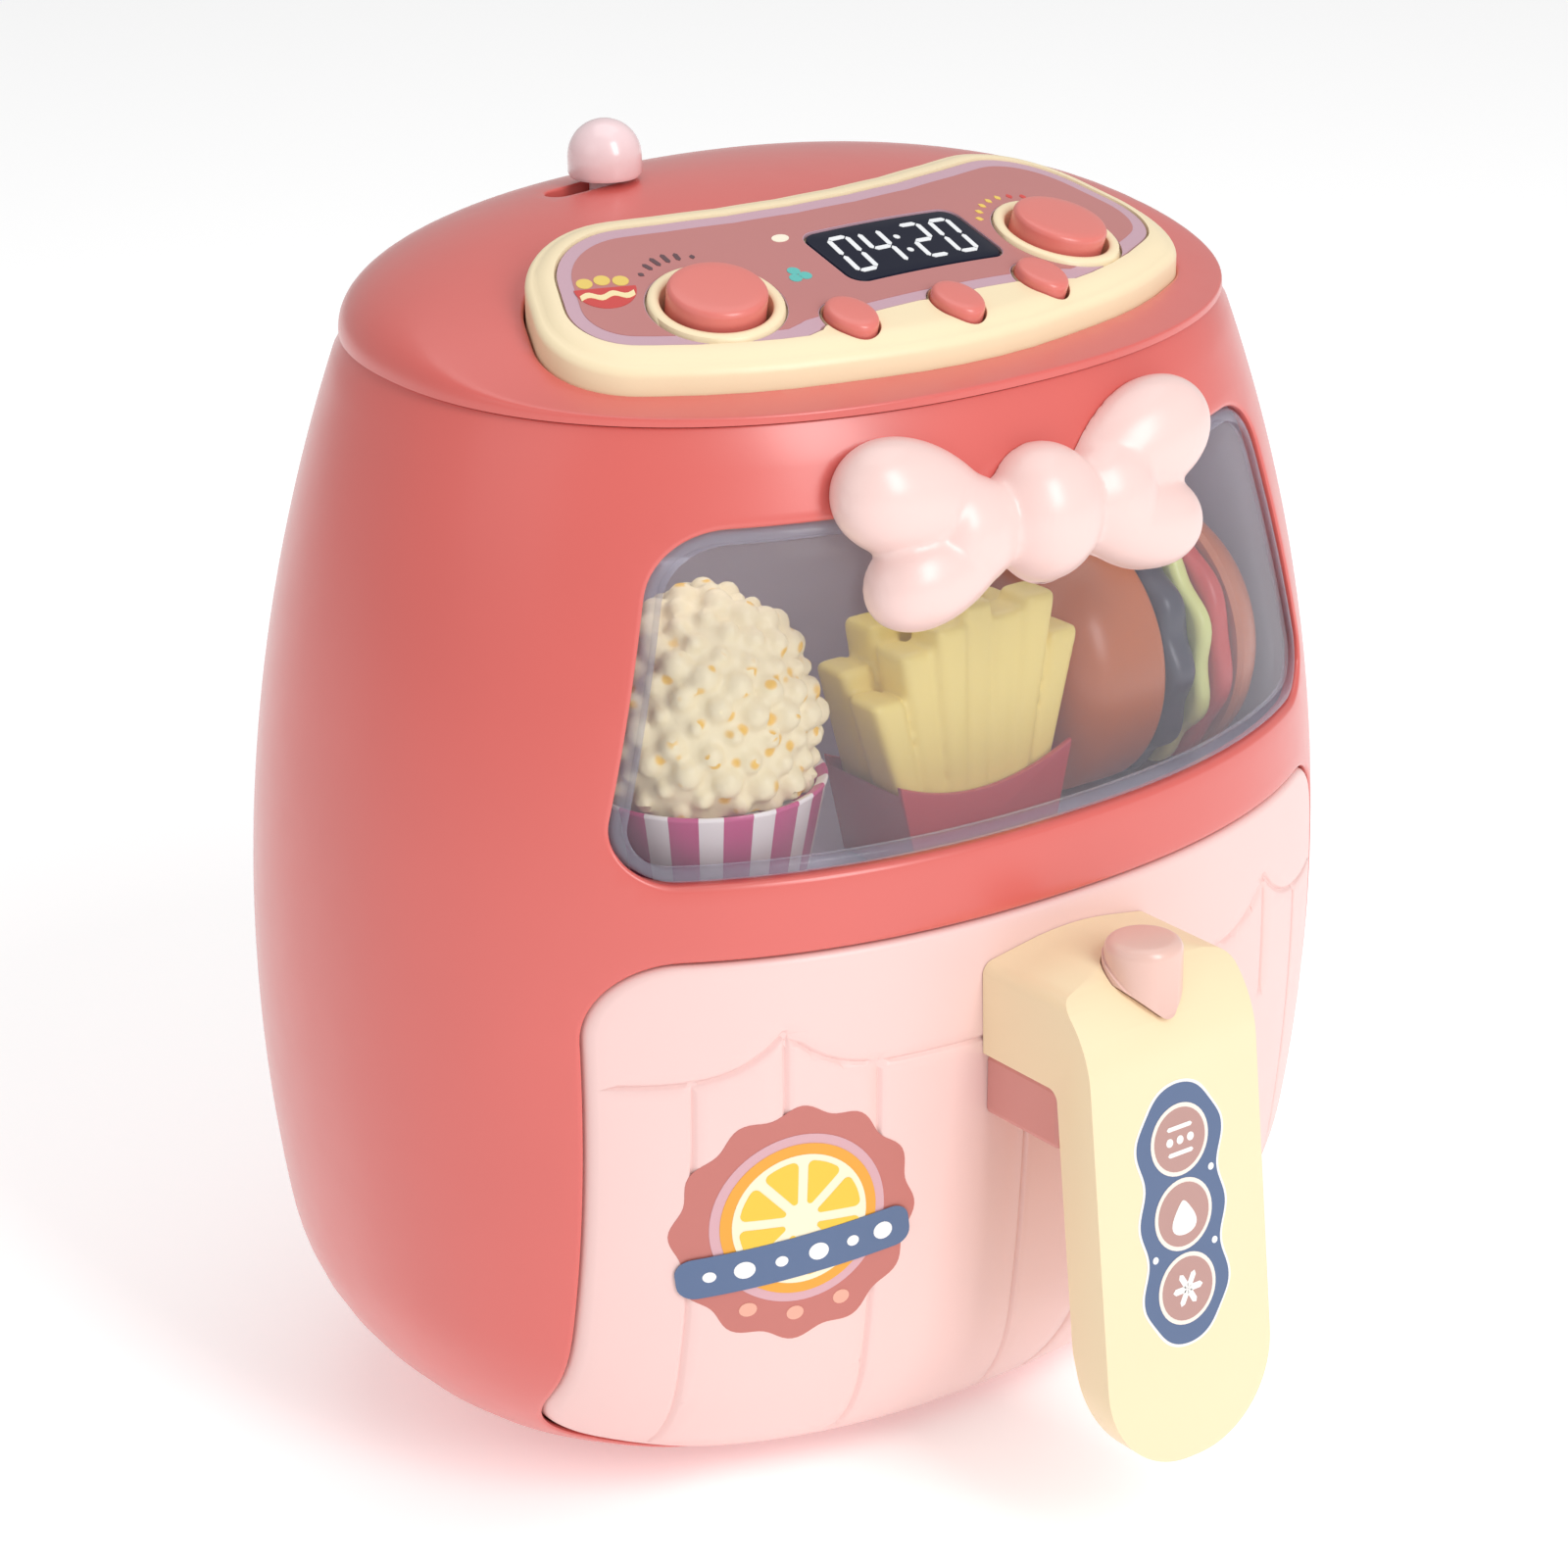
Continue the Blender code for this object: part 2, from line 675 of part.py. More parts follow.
# Drawer front: a curved cover with a scalloped apron line and pleat lines pressed into it
GROOVE_WIDTH = 0.0007
GROOVE_DEPTH = 0.0005
SCALLOP_HALF_PITCH = 0.0210
SCALLOP_POWER_SHARE = 4
SCALLOP_CUSP_HEIGHT = 0.0770
SCALLOP_SAG = 0.0064
SCALLOP_STEPS = 6
PLEAT_X = (0.0068, 0.0297, 0.0530)
PLEAT_TOP = 0.0710
PLEAT_BEND = 0.0300
PLEAT_BOTTOM = 0.0105
PLEAT_LEAN = 0.0025
CUSP_PLEAT_TOP = 0.0760
CUSP_PLEAT_BOTTOM = 0.0600


def strip(points, width):
    """A narrow closed outline along a run of points."""
    left = []
    right = []
    for n, here in enumerate(points):
        ahead = points[min(n + 1, len(points) - 1)] - points[max(n - 1, 0)]
        normal = Vector((-ahead.y, ahead.x)).normalized() * width / 2
        left.append(here + normal)
        right.append(here - normal)
    return left + right[::-1]


def scallop(middle, from_share, to_share):
    """One arc of the apron's edge, hanging between two cusps."""
    points = []
    for n in range(SCALLOP_STEPS + 1):
        share = from_share + (to_share - from_share) * n / SCALLOP_STEPS
        points.append(
            Vector((middle + SCALLOP_HALF_PITCH * share, SCALLOP_CUSP_HEIGHT - SCALLOP_SAG * (1 - share**SCALLOP_POWER_SHARE)))
        )
    return points


def groove_cutter(outline):
    """A thin cutter that follows the body's surface to the groove's depth."""
    band = body_shell(inset=-GAP, wall=GAP + GROOVE_DEPTH)
    return kept(band, plate(outline, -FAR, 0, "Y"))


drawer_front = kept(body_shell(), front_prism(DRAWER_OUTLINE, 0))
SCALLOP_EDGE_SHARE = 0.03
for middle, start, end in (
    (-3 * SCALLOP_HALF_PITCH, 0.1, 1),
    (-SCALLOP_HALF_PITCH, -1 + SCALLOP_EDGE_SHARE, 1),
    (SCALLOP_HALF_PITCH, -1 + SCALLOP_EDGE_SHARE, 1),
    (3 * SCALLOP_HALF_PITCH, -1 + SCALLOP_EDGE_SHARE, -0.1),
):
    drawer_front = cut(drawer_front, groove_cutter(strip(scallop(middle, start, end), GROOVE_WIDTH)))
for x in PLEAT_X:
    for side in (-1, 1):
        line = [
            Vector((side * x, PLEAT_TOP)),
            Vector((side * x, PLEAT_BEND)),
            Vector((side * (x - PLEAT_LEAN), PLEAT_BOTTOM)),
        ]
        drawer_front = cut(drawer_front, groove_cutter(strip(line, GROOVE_WIDTH)))
for side in (-1, 1):
    x = 2 * SCALLOP_HALF_PITCH * side
    line = [Vector((x, CUSP_PLEAT_TOP)), Vector((x, CUSP_PLEAT_BOTTOM))]
    drawer_front = cut(drawer_front, groove_cutter(strip(line, GROOVE_WIDTH)))
drawer_front = piece(drawer_front, "drawer_front", PALE_PINK)

# Handle: an arm out of the drawer's front that turns down into a broad, flat grip with a round end
HANDLE_HALF_WIDTH = 0.0144
HANDLE_CROWN = 0.0842
HANDLE_SHOULDER = 0.0813
HANDLE_SHOULDER_ROUND = 0.0012
HANDLE_CROWN_ROUND = 0.040
HANDLE_FOOT = 0.0152
HANDLE_FOOT_ROUND = 0.0136
ARM_BOTTOM = 0.0685
GRIP_TOP_Y = -0.0802
GRIP_FOOT_Y = -0.0878
GRIP_THICKNESS = 0.0070
GRIP_FOOT_THICKNESS = 0.0030
GRIP_TAPER_HEIGHT = 0.0320
GRIP_TAPER_ROUND = 0.010
ARM_BEND_ROUND = 0.015
ARM_INNER_ROUND = 0.0010
HANDLE_EDGE = 0.0012


def grip_y(height, back=0):
    """Where the grip's face, or its back, lies at a height: it leans out towards its foot."""
    share = (HANDLE_CROWN - height) / (HANDLE_CROWN - HANDLE_FOOT)
    return GRIP_TOP_Y + (GRIP_FOOT_Y - GRIP_TOP_Y) * share + back


def handle_side(outset):
    """The handle's side outline as (y, z) points, grown by an outset on its outer side."""
    foot = HANDLE_FOOT - OVERRUN
    return rounded(
        [
            (0, HANDLE_CROWN + outset, 0),
            (GRIP_TOP_Y - outset, HANDLE_CROWN + outset, ARM_BEND_ROUND + outset),
            (grip_y(foot) - outset, foot, 0),
            (grip_y(foot, GRIP_FOOT_THICKNESS), foot, 0),
            (grip_y(GRIP_TAPER_HEIGHT, GRIP_THICKNESS), GRIP_TAPER_HEIGHT, GRIP_TAPER_ROUND),
            (grip_y(ARM_BOTTOM, GRIP_THICKNESS), ARM_BOTTOM, ARM_INNER_ROUND),
            (0, ARM_BOTTOM, 0),
        ]
    )


HANDLE_FACE = rounded(
    both_sides(
        [
            (0, HANDLE_CROWN, HANDLE_CROWN_ROUND),
            (HANDLE_HALF_WIDTH, HANDLE_SHOULDER, HANDLE_SHOULDER_ROUND),
            (HANDLE_HALF_WIDTH, HANDLE_FOOT, HANDLE_FOOT_ROUND),
        ]
    )
)
handle = kept(
    plate(handle_side(0), -FAR, FAR, "X"),
    plate(HANDLE_FACE, -FAR, 0, "Y"),
)

# Release button: a drop-shaped cap in the handle's top whose tip follows the bend
RELEASE_Y = -0.0752
RELEASE_RADIUS = 0.0055
RELEASE_TIP_Y = -0.0832
RELEASE_TIP_ROUND = 0.0022
RELEASE_STAND_OUT = 0.0024
RELEASE_TRAVEL = 0.0025
RELEASE_DEPTH = 0.0070
RELEASE_EDGE = 0.0008
RELEASE_TIP_SHARE = 0.8


def release_outline(clearance):
    """The drop seen from above: a round end towards the drawer and a small round tip towards the player."""
    reach = RELEASE_RADIUS + clearance
    back = RELEASE_Y + reach
    round_part = reach * ROUND_END_SHARE
    tip = RELEASE_TIP_Y - clearance
    return rounded(
        [
            (reach, back, round_part),
            (reach, RELEASE_Y - reach / 2, reach),
            (RELEASE_TIP_ROUND, tip, RELEASE_TIP_ROUND * RELEASE_TIP_SHARE),
            (-RELEASE_TIP_ROUND, tip, RELEASE_TIP_ROUND * RELEASE_TIP_SHARE),
            (-reach, RELEASE_Y - reach / 2, reach),
            (-reach, back, round_part),
        ]
    )


well_floor = HANDLE_CROWN - RELEASE_DEPTH - RELEASE_TRAVEL - GAP
release = kept(
    plate(release_outline(0), HANDLE_CROWN - RELEASE_DEPTH, HANDLE_CROWN + 2 * RELEASE_STAND_OUT),
    plate(handle_side(RELEASE_STAND_OUT), -FAR, FAR, "X"),
)
release_button = piece(bevelled(release, RELEASE_EDGE), "release_button", RELEASE_PINK)
handle = cut(handle, plate(release_outline(GAP), well_floor, FAR))
handle = piece(off_body(bevelled(handle, HANDLE_EDGE)), "handle", CREAM)

# Handle bracket: the block under the arm that carries the handle on the drawer's front
BRACKET_HALF_WIDTH = 0.0136
BRACKET_BOTTOM = 0.0594
BRACKET_EDGE = 0.0008
bracket = box(
    (-BRACKET_HALF_WIDTH, grip_y(ARM_BOTTOM, GRIP_THICKNESS) + GAP, BRACKET_BOTTOM),
    (BRACKET_HALF_WIDTH, 0, ARM_BOTTOM - GAP),
)
handle_bracket = piece(off_body(bevelled(bracket, BRACKET_EDGE)), "handle_bracket", BRACKET_PINK)

# Chamber liner: the box behind the window that the play food stands in
CHAMBER_HALF_WIDTH = 0.066
CHAMBER_REAR = -0.003
CHAMBER_TOP = 0.147
CHAMBER_WALL = 0.0016
LAMP_RADIUS = 0.0025
LAMP_RIM = 0.0008
LAMP_Y = -0.034
chamber_bottom = BAY_TOP + GAP
chamber_floor = chamber_bottom + CHAMBER_WALL
chamber_liner = cut(
    inside_body(
        box((-CHAMBER_HALF_WIDTH, -FAR, chamber_bottom), (CHAMBER_HALF_WIDTH, CHAMBER_REAR, CHAMBER_TOP))
    ),
    box(
        (CHAMBER_WALL - CHAMBER_HALF_WIDTH, -FAR, chamber_floor),
        (CHAMBER_HALF_WIDTH - CHAMBER_WALL, CHAMBER_REAR - CHAMBER_WALL, CHAMBER_TOP - CHAMBER_WALL),
    ),
    cylinder(LAMP_RADIUS + GAP, 0, FAR + SEAM_HEIGHT, Matrix.Translation((0, LAMP_Y, 0)), steps=BALL_SEGMENTS),
)
piece(chamber_liner, "chamber_liner", MAUVE_GREY)

LAMP_DOME = 0.0045
LAMP_COLLAR = 0.0014
LAMP_SHOULDER_DEG = 50
LAMP_SHOULDER_SHARE = 1 / 3
lamp_shoulder = LAMP_RADIUS * math.sin(math.radians(LAMP_SHOULDER_DEG))
lamp_base = CHAMBER_TOP + GAP
lamp = turned(
    [
        (0, lamp_base + LAMP_COLLAR),
        (LAMP_RADIUS + LAMP_RIM, lamp_base + LAMP_COLLAR),
        (LAMP_RADIUS + LAMP_RIM, lamp_base),
        (LAMP_RADIUS, lamp_base),
        (LAMP_RADIUS, CHAMBER_TOP - LAMP_DOME + LAMP_RADIUS),
        (lamp_shoulder, CHAMBER_TOP - LAMP_DOME + LAMP_RADIUS * LAMP_SHOULDER_SHARE),
        (0, CHAMBER_TOP - LAMP_DOME),
    ],
    Matrix.Translation((0, LAMP_Y, 0)),
    steps=FEW_STEPS,
)
piece(lamp, "chamber_lamp", CLEAR)

# Play food, from left to right: a popcorn tub, a box of fries and a burger lying on its side
FOOD_FLOOR = chamber_floor + GAP
TUB_X = -0.0405
TUB_Y = -0.0285
TUB_BOTTOM_RADIUS = 0.0125
TUB_TOP_RADIUS = 0.0160
TUB_HEIGHT = 0.0190
TUB_WALL = 0.0012
POPCORN_RISE = 0.0285
POPCORN_BULGE_HEIGHT = 0.0080
POPCORN_LUMP_SHARE = 0.07
POPCORN_LUMPS_ROUND = 7
POPCORN_LUMPS_UP = 6
POPCORN_SWIRL = 2
POPCORN_SEGMENTS = 22
POPCORN_RINGS = 14
tub_frame = Matrix.Translation((TUB_X, TUB_Y, FOOD_FLOOR))
tub = turned(
    [
        (0, TUB_HEIGHT - TUB_WALL),
        (TUB_TOP_RADIUS - TUB_WALL, TUB_HEIGHT - TUB_WALL),
        (TUB_TOP_RADIUS - TUB_WALL, TUB_HEIGHT),
        (TUB_TOP_RADIUS, TUB_HEIGHT),
        (TUB_BOTTOM_RADIUS, 0),
        (0, 0),
    ],
    tub_frame,
)
piece(tub, "popcorn_tub", TUB_WHITE)


def popcorn_heap():
    """A tall heap with popped lumps all over its surface."""
    bm = bmesh.new()
    bmesh.ops.create_uvsphere(bm, u_segments=POPCORN_SEGMENTS, v_segments=POPCORN_RINGS, radius=1)
    reach = TUB_TOP_RADIUS - TUB_WALL
    for vert in bm.verts:
        turn = math.atan2(vert.co.y, vert.co.x)
        fall = math.acos(max(-1, min(1, vert.co.z)))
        swirl = math.sin(POPCORN_LUMPS_ROUND * turn + POPCORN_SWIRL * fall)
        vert.co *= 1 + POPCORN_LUMP_SHARE * swirl * math.sin(POPCORN_LUMPS_UP * fall)
    bm.transform(Matrix.Diagonal((reach, reach, POPCORN_RISE - POPCORN_BULGE_HEIGHT, 1)))
    bm.transform(tub_frame @ Matrix.Translation((0, 0, TUB_HEIGHT - TUB_WALL + POPCORN_BULGE_HEIGHT)))
    return shape(bm)


above_tub_floor = TUB_HEIGHT - TUB_WALL + GAP
heap_room = joined(
    cylinder(TUB_TOP_RADIUS - TUB_WALL - GAP, above_tub_floor, TUB_HEIGHT + OVERRUN, tub_frame),
    cylinder(2 * TUB_TOP_RADIUS, TUB_HEIGHT + GAP, FAR, tub_frame),
)
piece(kept(popcorn_heap(), heap_room), "popcorn", POPCORN_IVORY)

FRIES_X = -0.0042
FRIES_Y = -0.0310
FRIES_BOX_TOP_HALF = 0.0150
FRIES_BOX_BOTTOM_HALF = 0.0115
FRIES_BOX_HALF_DEPTH = 0.0085
FRIES_BOX_HEIGHT = 0.0150
FRIES_BOX_DIP = 0.0035
FRIES_BOX_WALL = 0.0010
FRY_WIDTH = 0.0043
FRY_COUNT = 7
FRY_HEIGHT = 0.0360
FRY_HEIGHT_SHARES = (0.70, 0.86, 0.94, 1.0, 0.93, 0.98, 0.80)
FRY_BACK_SHARES = (0.78, 0.92, 1.0, 0.95, 1.0, 0.90, 0.72)
FRY_SPREAD_SHARE = 1.28
FRY_EDGE = 0.0006


def fry_row(front, back, tops):
    """One row of fries side by side, spreading towards their tips, as one comb-like block."""
    corners = []
    low = FOOD_FLOOR + FRIES_BOX_WALL + GAP
    inner = FRIES_BOX_BOTTOM_HALF - FRIES_BOX_WALL - GAP
    for n, share in enumerate(tops):
        left = FRY_WIDTH * (n - FRY_COUNT / 2)
        right = left + FRY_WIDTH
        top = low + FRY_HEIGHT * share
        corners += [(FRIES_X + left * FRY_SPREAD_SHARE, top, 0), (FRIES_X + right * FRY_SPREAD_SHARE, top, 0)]
    corners += [(FRIES_X + inner, low, 0), (FRIES_X - inner, low, 0)]
    return plate(rounded(corners), front, back, "Y")


box_front = FRIES_Y - FRIES_BOX_HALF_DEPTH
box_back = FRIES_Y + FRIES_BOX_HALF_DEPTH
box_outline = rounded(
    [
        (FRIES_X + FRIES_BOX_TOP_HALF, FOOD_FLOOR + FRIES_BOX_HEIGHT, 0),
        (FRIES_X + FRIES_BOX_BOTTOM_HALF, FOOD_FLOOR, 0),
        (FRIES_X - FRIES_BOX_BOTTOM_HALF, FOOD_FLOOR, 0),
        (FRIES_X - FRIES_BOX_TOP_HALF, FOOD_FLOOR + FRIES_BOX_HEIGHT, 0),
        (FRIES_X, FOOD_FLOOR + FRIES_BOX_HEIGHT - FRIES_BOX_DIP, 2 * FRIES_BOX_TOP_HALF),
    ]
)
inner_outline = [
    Vector((FRIES_X + FRIES_BOX_TOP_HALF * 2, FOOD_FLOOR + 2 * FRIES_BOX_HEIGHT)),
    Vector((FRIES_X + FRIES_BOX_BOTTOM_HALF - FRIES_BOX_WALL, FOOD_FLOOR + FRIES_BOX_WALL)),
    Vector((FRIES_X - FRIES_BOX_BOTTOM_HALF + FRIES_BOX_WALL, FOOD_FLOOR + FRIES_BOX_WALL)),
    Vector((FRIES_X - FRIES_BOX_TOP_HALF * 2, FOOD_FLOOR + 2 * FRIES_BOX_HEIGHT)),
]
fries_box = cut(
    plate(box_outline, box_front, box_back, "Y"),
    plate(inner_outline, box_front + FRIES_BOX_WALL, box_back - FRIES_BOX_WALL, "Y"),
)
piece(fries_box, "fries_box", BOX_RED)

fries_front_row = fry_row(box_front + FRIES_BOX_WALL + GAP, FRIES_Y + GAP, FRY_HEIGHT_SHARES)
fries_back_row = fry_row(FRIES_Y, box_back - FRIES_BOX_WALL - GAP, FRY_BACK_SHARES)
piece(joined(fries_front_row, fries_back_row), "fries", FRIES_YELLOW)

# The burger's layers stand side by side along X
BURGER_RADIUS = 0.0190
BURGER_Y = -0.0243
BURGER_START_X = 0.0165
BUN_BOTTOM_THICKNESS = 0.0162
PATTY_THICKNESS = 0.0056
LETTUCE_THICKNESS = 0.0028
TOMATO_THICKNESS = 0.0034
BUN_TOP_THICKNESS = 0.0105
LETTUCE_WAVES = 9
LETTUCE_WAVE = 0.0007
LETTUCE_POINTS = 54
BUN_ROUND = 0.0035
BUN_DOME_SHARES = ((0, 1), (0.30, 0.97), (0.58, 0.83), (0.80, 0.60), (0.94, 0.32), (0.99, 0.08), (0.97, 0))
PATTY_ROUND = 0.0014
TOMATO_ROUND = 0.0008
ROUND_STEPS = 2


def along_x(start):
    """A frame whose Z axis runs along X from a start, at the burger's middle."""
    turn = Matrix.Rotation(math.radians(90), 4, "Y")
    return Matrix.Translation((start, BURGER_Y, FOOD_FLOOR + BURGER_RADIUS)) @ turn


def rounded_disc(radius, thickness, low_round, high_round):
    """A disc's turned profile with both edges rounded."""
    points = [(0, thickness)]
    for k in range(ROUND_STEPS + 1):
        angle = math.pi / 2 * k / ROUND_STEPS
        points.append(
            (radius - high_round * (1 - math.sin(angle)), thickness - high_round * (1 - math.cos(angle)))
        )
    for k in range(ROUND_STEPS + 1):
        angle = math.pi / 2 * k / ROUND_STEPS
        points.append((radius - low_round * (1 - math.cos(angle)), low_round * (1 - math.sin(angle))))
    return points + [(0, 0)]


layer_x = BURGER_START_X
bun_bottom = turned(
    rounded_disc(BURGER_RADIUS, BUN_BOTTOM_THICKNESS, 2 * BUN_ROUND, BUN_ROUND / 2), along_x(layer_x)
)
piece(bun_bottom, "burger_bun_bottom", BUN_BROWN)
layer_x += BUN_BOTTOM_THICKNESS + GAP
patty = turned(
    rounded_disc(BURGER_RADIUS - GAP, PATTY_THICKNESS, PATTY_ROUND, PATTY_ROUND), along_x(layer_x)
)
piece(patty, "burger_patty", PATTY_DARK)
layer_x += PATTY_THICKNESS + GAP
wavy = []
for n in range(LETTUCE_POINTS):
    angle = 2 * math.pi * n / LETTUCE_POINTS
    reach = BURGER_RADIUS - LETTUCE_WAVE + LETTUCE_WAVE * math.sin(LETTUCE_WAVES * angle)
    wavy.append(Vector((BURGER_Y + reach * math.cos(angle), FOOD_FLOOR + BURGER_RADIUS + reach * math.sin(angle))))
piece(plate(wavy, layer_x, layer_x + LETTUCE_THICKNESS, "X"), "burger_lettuce", LETTUCE_GREEN)
layer_x += LETTUCE_THICKNESS + GAP
tomato = turned(
    rounded_disc(BURGER_RADIUS - 2 * GAP, TOMATO_THICKNESS, TOMATO_ROUND, TOMATO_ROUND), along_x(layer_x)
)
piece(tomato, "burger_tomato", TOMATO_RED)
layer_x += TOMATO_THICKNESS + GAP
dome = [(BURGER_RADIUS * reach, BUN_TOP_THICKNESS * rise) for reach, rise in BUN_DOME_SHARES]
piece(turned(dome + [(0, 0)], along_x(layer_x)), "burger_bun_top", BUN_BROWN)

# Bow: four puffed loops round a knot, hollowed behind to follow the body
BOW_HEIGHT = 0.1390
BOW_KNOT_RADII = (0.0088, 0.0080, 0.0098)
BOW_UPPER_LOOP = ((0.0183, 0.0042), (0.0130, 0.0076, 0.0091), -20)
BOW_LOWER_LOOP = ((0.0166, -0.0058), (0.0114, 0.0068, 0.0077), 12)
BOW_SINK = 0.0015
LOOP_SINK = -0.0005
LOOP_TAPER_SHARE = 0.35
bow_y = depth_at(0, BOW_HEIGHT) - BOW_SINK


def loop(side, place, radii, turn_deg):
    """One puffed loop, narrower towards the knot."""
    bm = bmesh.new()
    bmesh.ops.create_uvsphere(bm, u_segments=BALL_SEGMENTS, v_segments=BALL_RINGS, radius=1)
    bm.transform(Matrix.Rotation(math.radians(90), 4, "Y"))
    for vert in bm.verts:
        narrow = 1 + LOOP_TAPER_SHARE * (side * vert.co.x - 1) / 2
        vert.co.y *= narrow
        vert.co.z *= narrow
    turn = Matrix.Rotation(math.radians(side * turn_deg), 4, "Y")
    bm.transform(turn @ Matrix.Diagonal((*radii, 1)))
    across = side * place[0]
    height = BOW_HEIGHT + place[1]
    bm.transform(Matrix.Translation((across, LOOP_SINK - depth_at(across, height), height)))
    return shape(bm)


bow = ball(BOW_KNOT_RADII, (0, -bow_y, BOW_HEIGHT))
for side in (-1, 1):
    for place, radii, turn_deg in (BOW_UPPER_LOOP, BOW_LOWER_LOOP):
        bow = joined(bow, loop(side, place, radii, turn_deg))
piece(off_body(bow), "bow", BOW_PINK)

# Lid: a dome that flattens towards the front into a deck for the control panel
LID_SKIRT = 0.0030
LID_DOME = 0.0179
LID_DOME_SHARES = (1.565, 0.439)
LID_RING_SHARES = (1, 0.982, 0.94, 0.86, 0.72, 0.54, 0.34, 0.15)
DECK_RISE = 0.0054
DECK_SLOPE_SHARE = 0.263
PANEL_MIDDLE_Y = -0.025
PANEL_RISE = 0.0099
panel_middle_height = SEAM_HEIGHT + PANEL_RISE
PANEL_SLOPE_SHARE = 0.30
PANEL_CROWN_RADIUS = 0.291
DECK_FADE = 0.003
BLEND_SHARE = 4
lid_reach_x = half_width(SEAM_HEIGHT)
lid_reach_y = half_depth(SEAM_HEIGHT)


def crown_drop(x):
    return x**2 / (2 * PANEL_CROWN_RADIUS)


def lid_height(x, y):
    """The lid's outer surface: the smaller of the dome and the deck, blended smoothly."""
    out_share = abs(x / lid_reach_x) ** SECTION_POWER_SHARE + abs(y / lid_reach_y) ** SECTION_POWER_SHARE
    out_share = min(1, out_share ** (1 / SECTION_POWER_SHARE))
    seam = SEAM_HEIGHT + GAP + SEAM_SLOPE_SHARE * y
    dome_power, rim_power = LID_DOME_SHARES
    dome_rise = LID_DOME * max(0, 1 - out_share**dome_power) ** rim_power
    if dome_rise < GAP * FADE_SHARE:
        return seam
    deck = DECK_RISE + DECK_SLOPE_SHARE * (y - PANEL_MIDDLE_Y) - crown_drop(x)
    deck = (deck + math.hypot(deck, DECK_FADE)) / 2
    return seam + (dome_rise**-BLEND_SHARE + deck**-BLEND_SHARE) ** (-1 / BLEND_SHARE)


def panel_height(x, y):
    return panel_middle_height + PANEL_SLOPE_SHARE * (y - PANEL_MIDDLE_Y) - crown_drop(x)


def panel_frame(x, y):
    """A frame on the control panel's surface with its Z axis square to it."""
    normal = Vector((x / PANEL_CROWN_RADIUS, -PANEL_SLOPE_SHARE, 1)).normalized()
    across = Vector((1, 0, -x / PANEL_CROWN_RADIUS)).normalized()
    frame = Matrix((across, normal.cross(across), normal)).transposed().to_4x4()
    frame.translation = (x, y, panel_height(x, y))
    return frame


def lid_sheet():
    """The lid's surface as rings from a short skirt below the seam up to the top."""
    bm = bmesh.new()
    skirt = [body_point(SEAM_HEIGHT, n / RING_POINTS) for n in range(RING_POINTS)]
    rings = [[bm.verts.new(point - Vector((0, 0, LID_SKIRT))) for point in skirt]]
    for ring_share in LID_RING_SHARES:
        ring = []
        for n in range(RING_POINTS):
            edge = body_point(SEAM_HEIGHT, n / RING_POINTS) * ring_share
            ring.append(bm.verts.new((edge.x, edge.y, lid_height(edge.x, edge.y))))
        rings.append(ring)
    top = bm.verts.new((0, 0, lid_height(0, 0)))
    for outer, inner in zip(rings, rings[1:]):
        for n in range(RING_POINTS):
            m = (n + 1) % RING_POINTS
            bm.faces.new((outer[n], outer[m], inner[m], inner[n]))
    for n in range(RING_POINTS):
        bm.faces.new((rings[-1][n], rings[-1][(n + 1) % RING_POINTS], top))
    return shape(bm)


PANEL_REAR_HALF_WIDTH = 0.042
PANEL_HALF_WIDTH = 0.0545
PANEL_FRONT_HALF_WIDTH = 0.033
PANEL_REAR_Y = 0.0055
PANEL_END_Y = -0.0223
PANEL_FRONT_SIDE_Y = -0.0356
PANEL_FRONT_Y = -0.043
PANEL_REAR_ROUND = 0.090
PANEL_SHOULDER_ROUND = 0.016
PANEL_END_ROUND = 0.0075
PANEL_FRONT_ROUND = 0.070
PANEL_OUTLINE = rounded(
    both_sides(
        [
            (0, -PANEL_REAR_Y, PANEL_REAR_ROUND),
            (PANEL_REAR_HALF_WIDTH, PANEL_REAR_Y, PANEL_SHOULDER_ROUND),
            (PANEL_HALF_WIDTH, PANEL_END_Y, PANEL_END_ROUND),
            (PANEL_FRONT_HALF_WIDTH, PANEL_FRONT_SIDE_Y, PANEL_FRONT_ROUND),
            (0, PANEL_FRONT_Y, PANEL_FRONT_ROUND),
        ]
    )
)
KNOB_X = -0.014
KNOB_Y = 0.0235
KNOB_TRAVEL = 0.007
KNOB_RADIUS = 0.00515
KNOB_SKIRT = 0.0028
KNOB_CLEARANCE = 0.0005
STEM_HALF_LENGTH = 0.0023
STEM_HALF_WIDTH = 0.0019


def oblong(x, y, half_length, half_width):
    """A round-ended outline along X."""
    end = half_width * ROUND_END_SHARE
    right = x + half_length
    left = x - half_length
    return rounded(
        [
            (right, y + half_width, end),
            (right, y - half_width, end),
            (left, y - half_width, end),
            (left, y + half_width, end),
        ]
    )


slot_middle = KNOB_X - KNOB_TRAVEL / 2
slot_outline = oblong(slot_middle, KNOB_Y, STEM_HALF_LENGTH + KNOB_TRAVEL / 2 + GAP, STEM_HALF_WIDTH + GAP)
below_seam = sloped(box((-FAR, -FAR, 0), (FAR, FAR, SEAM_HEIGHT + GAP)), SEAM_SLOPE_SHARE)
top_cover = cut(
    thickened(lid_sheet(), WALL),
    below_seam,
    plate(grown(PANEL_OUTLINE, GAP), 0, FAR + SEAM_HEIGHT),
    plate(slot_outline, 0, FAR + SEAM_HEIGHT),
)
piece(top_cover, "top_cover", CORAL)

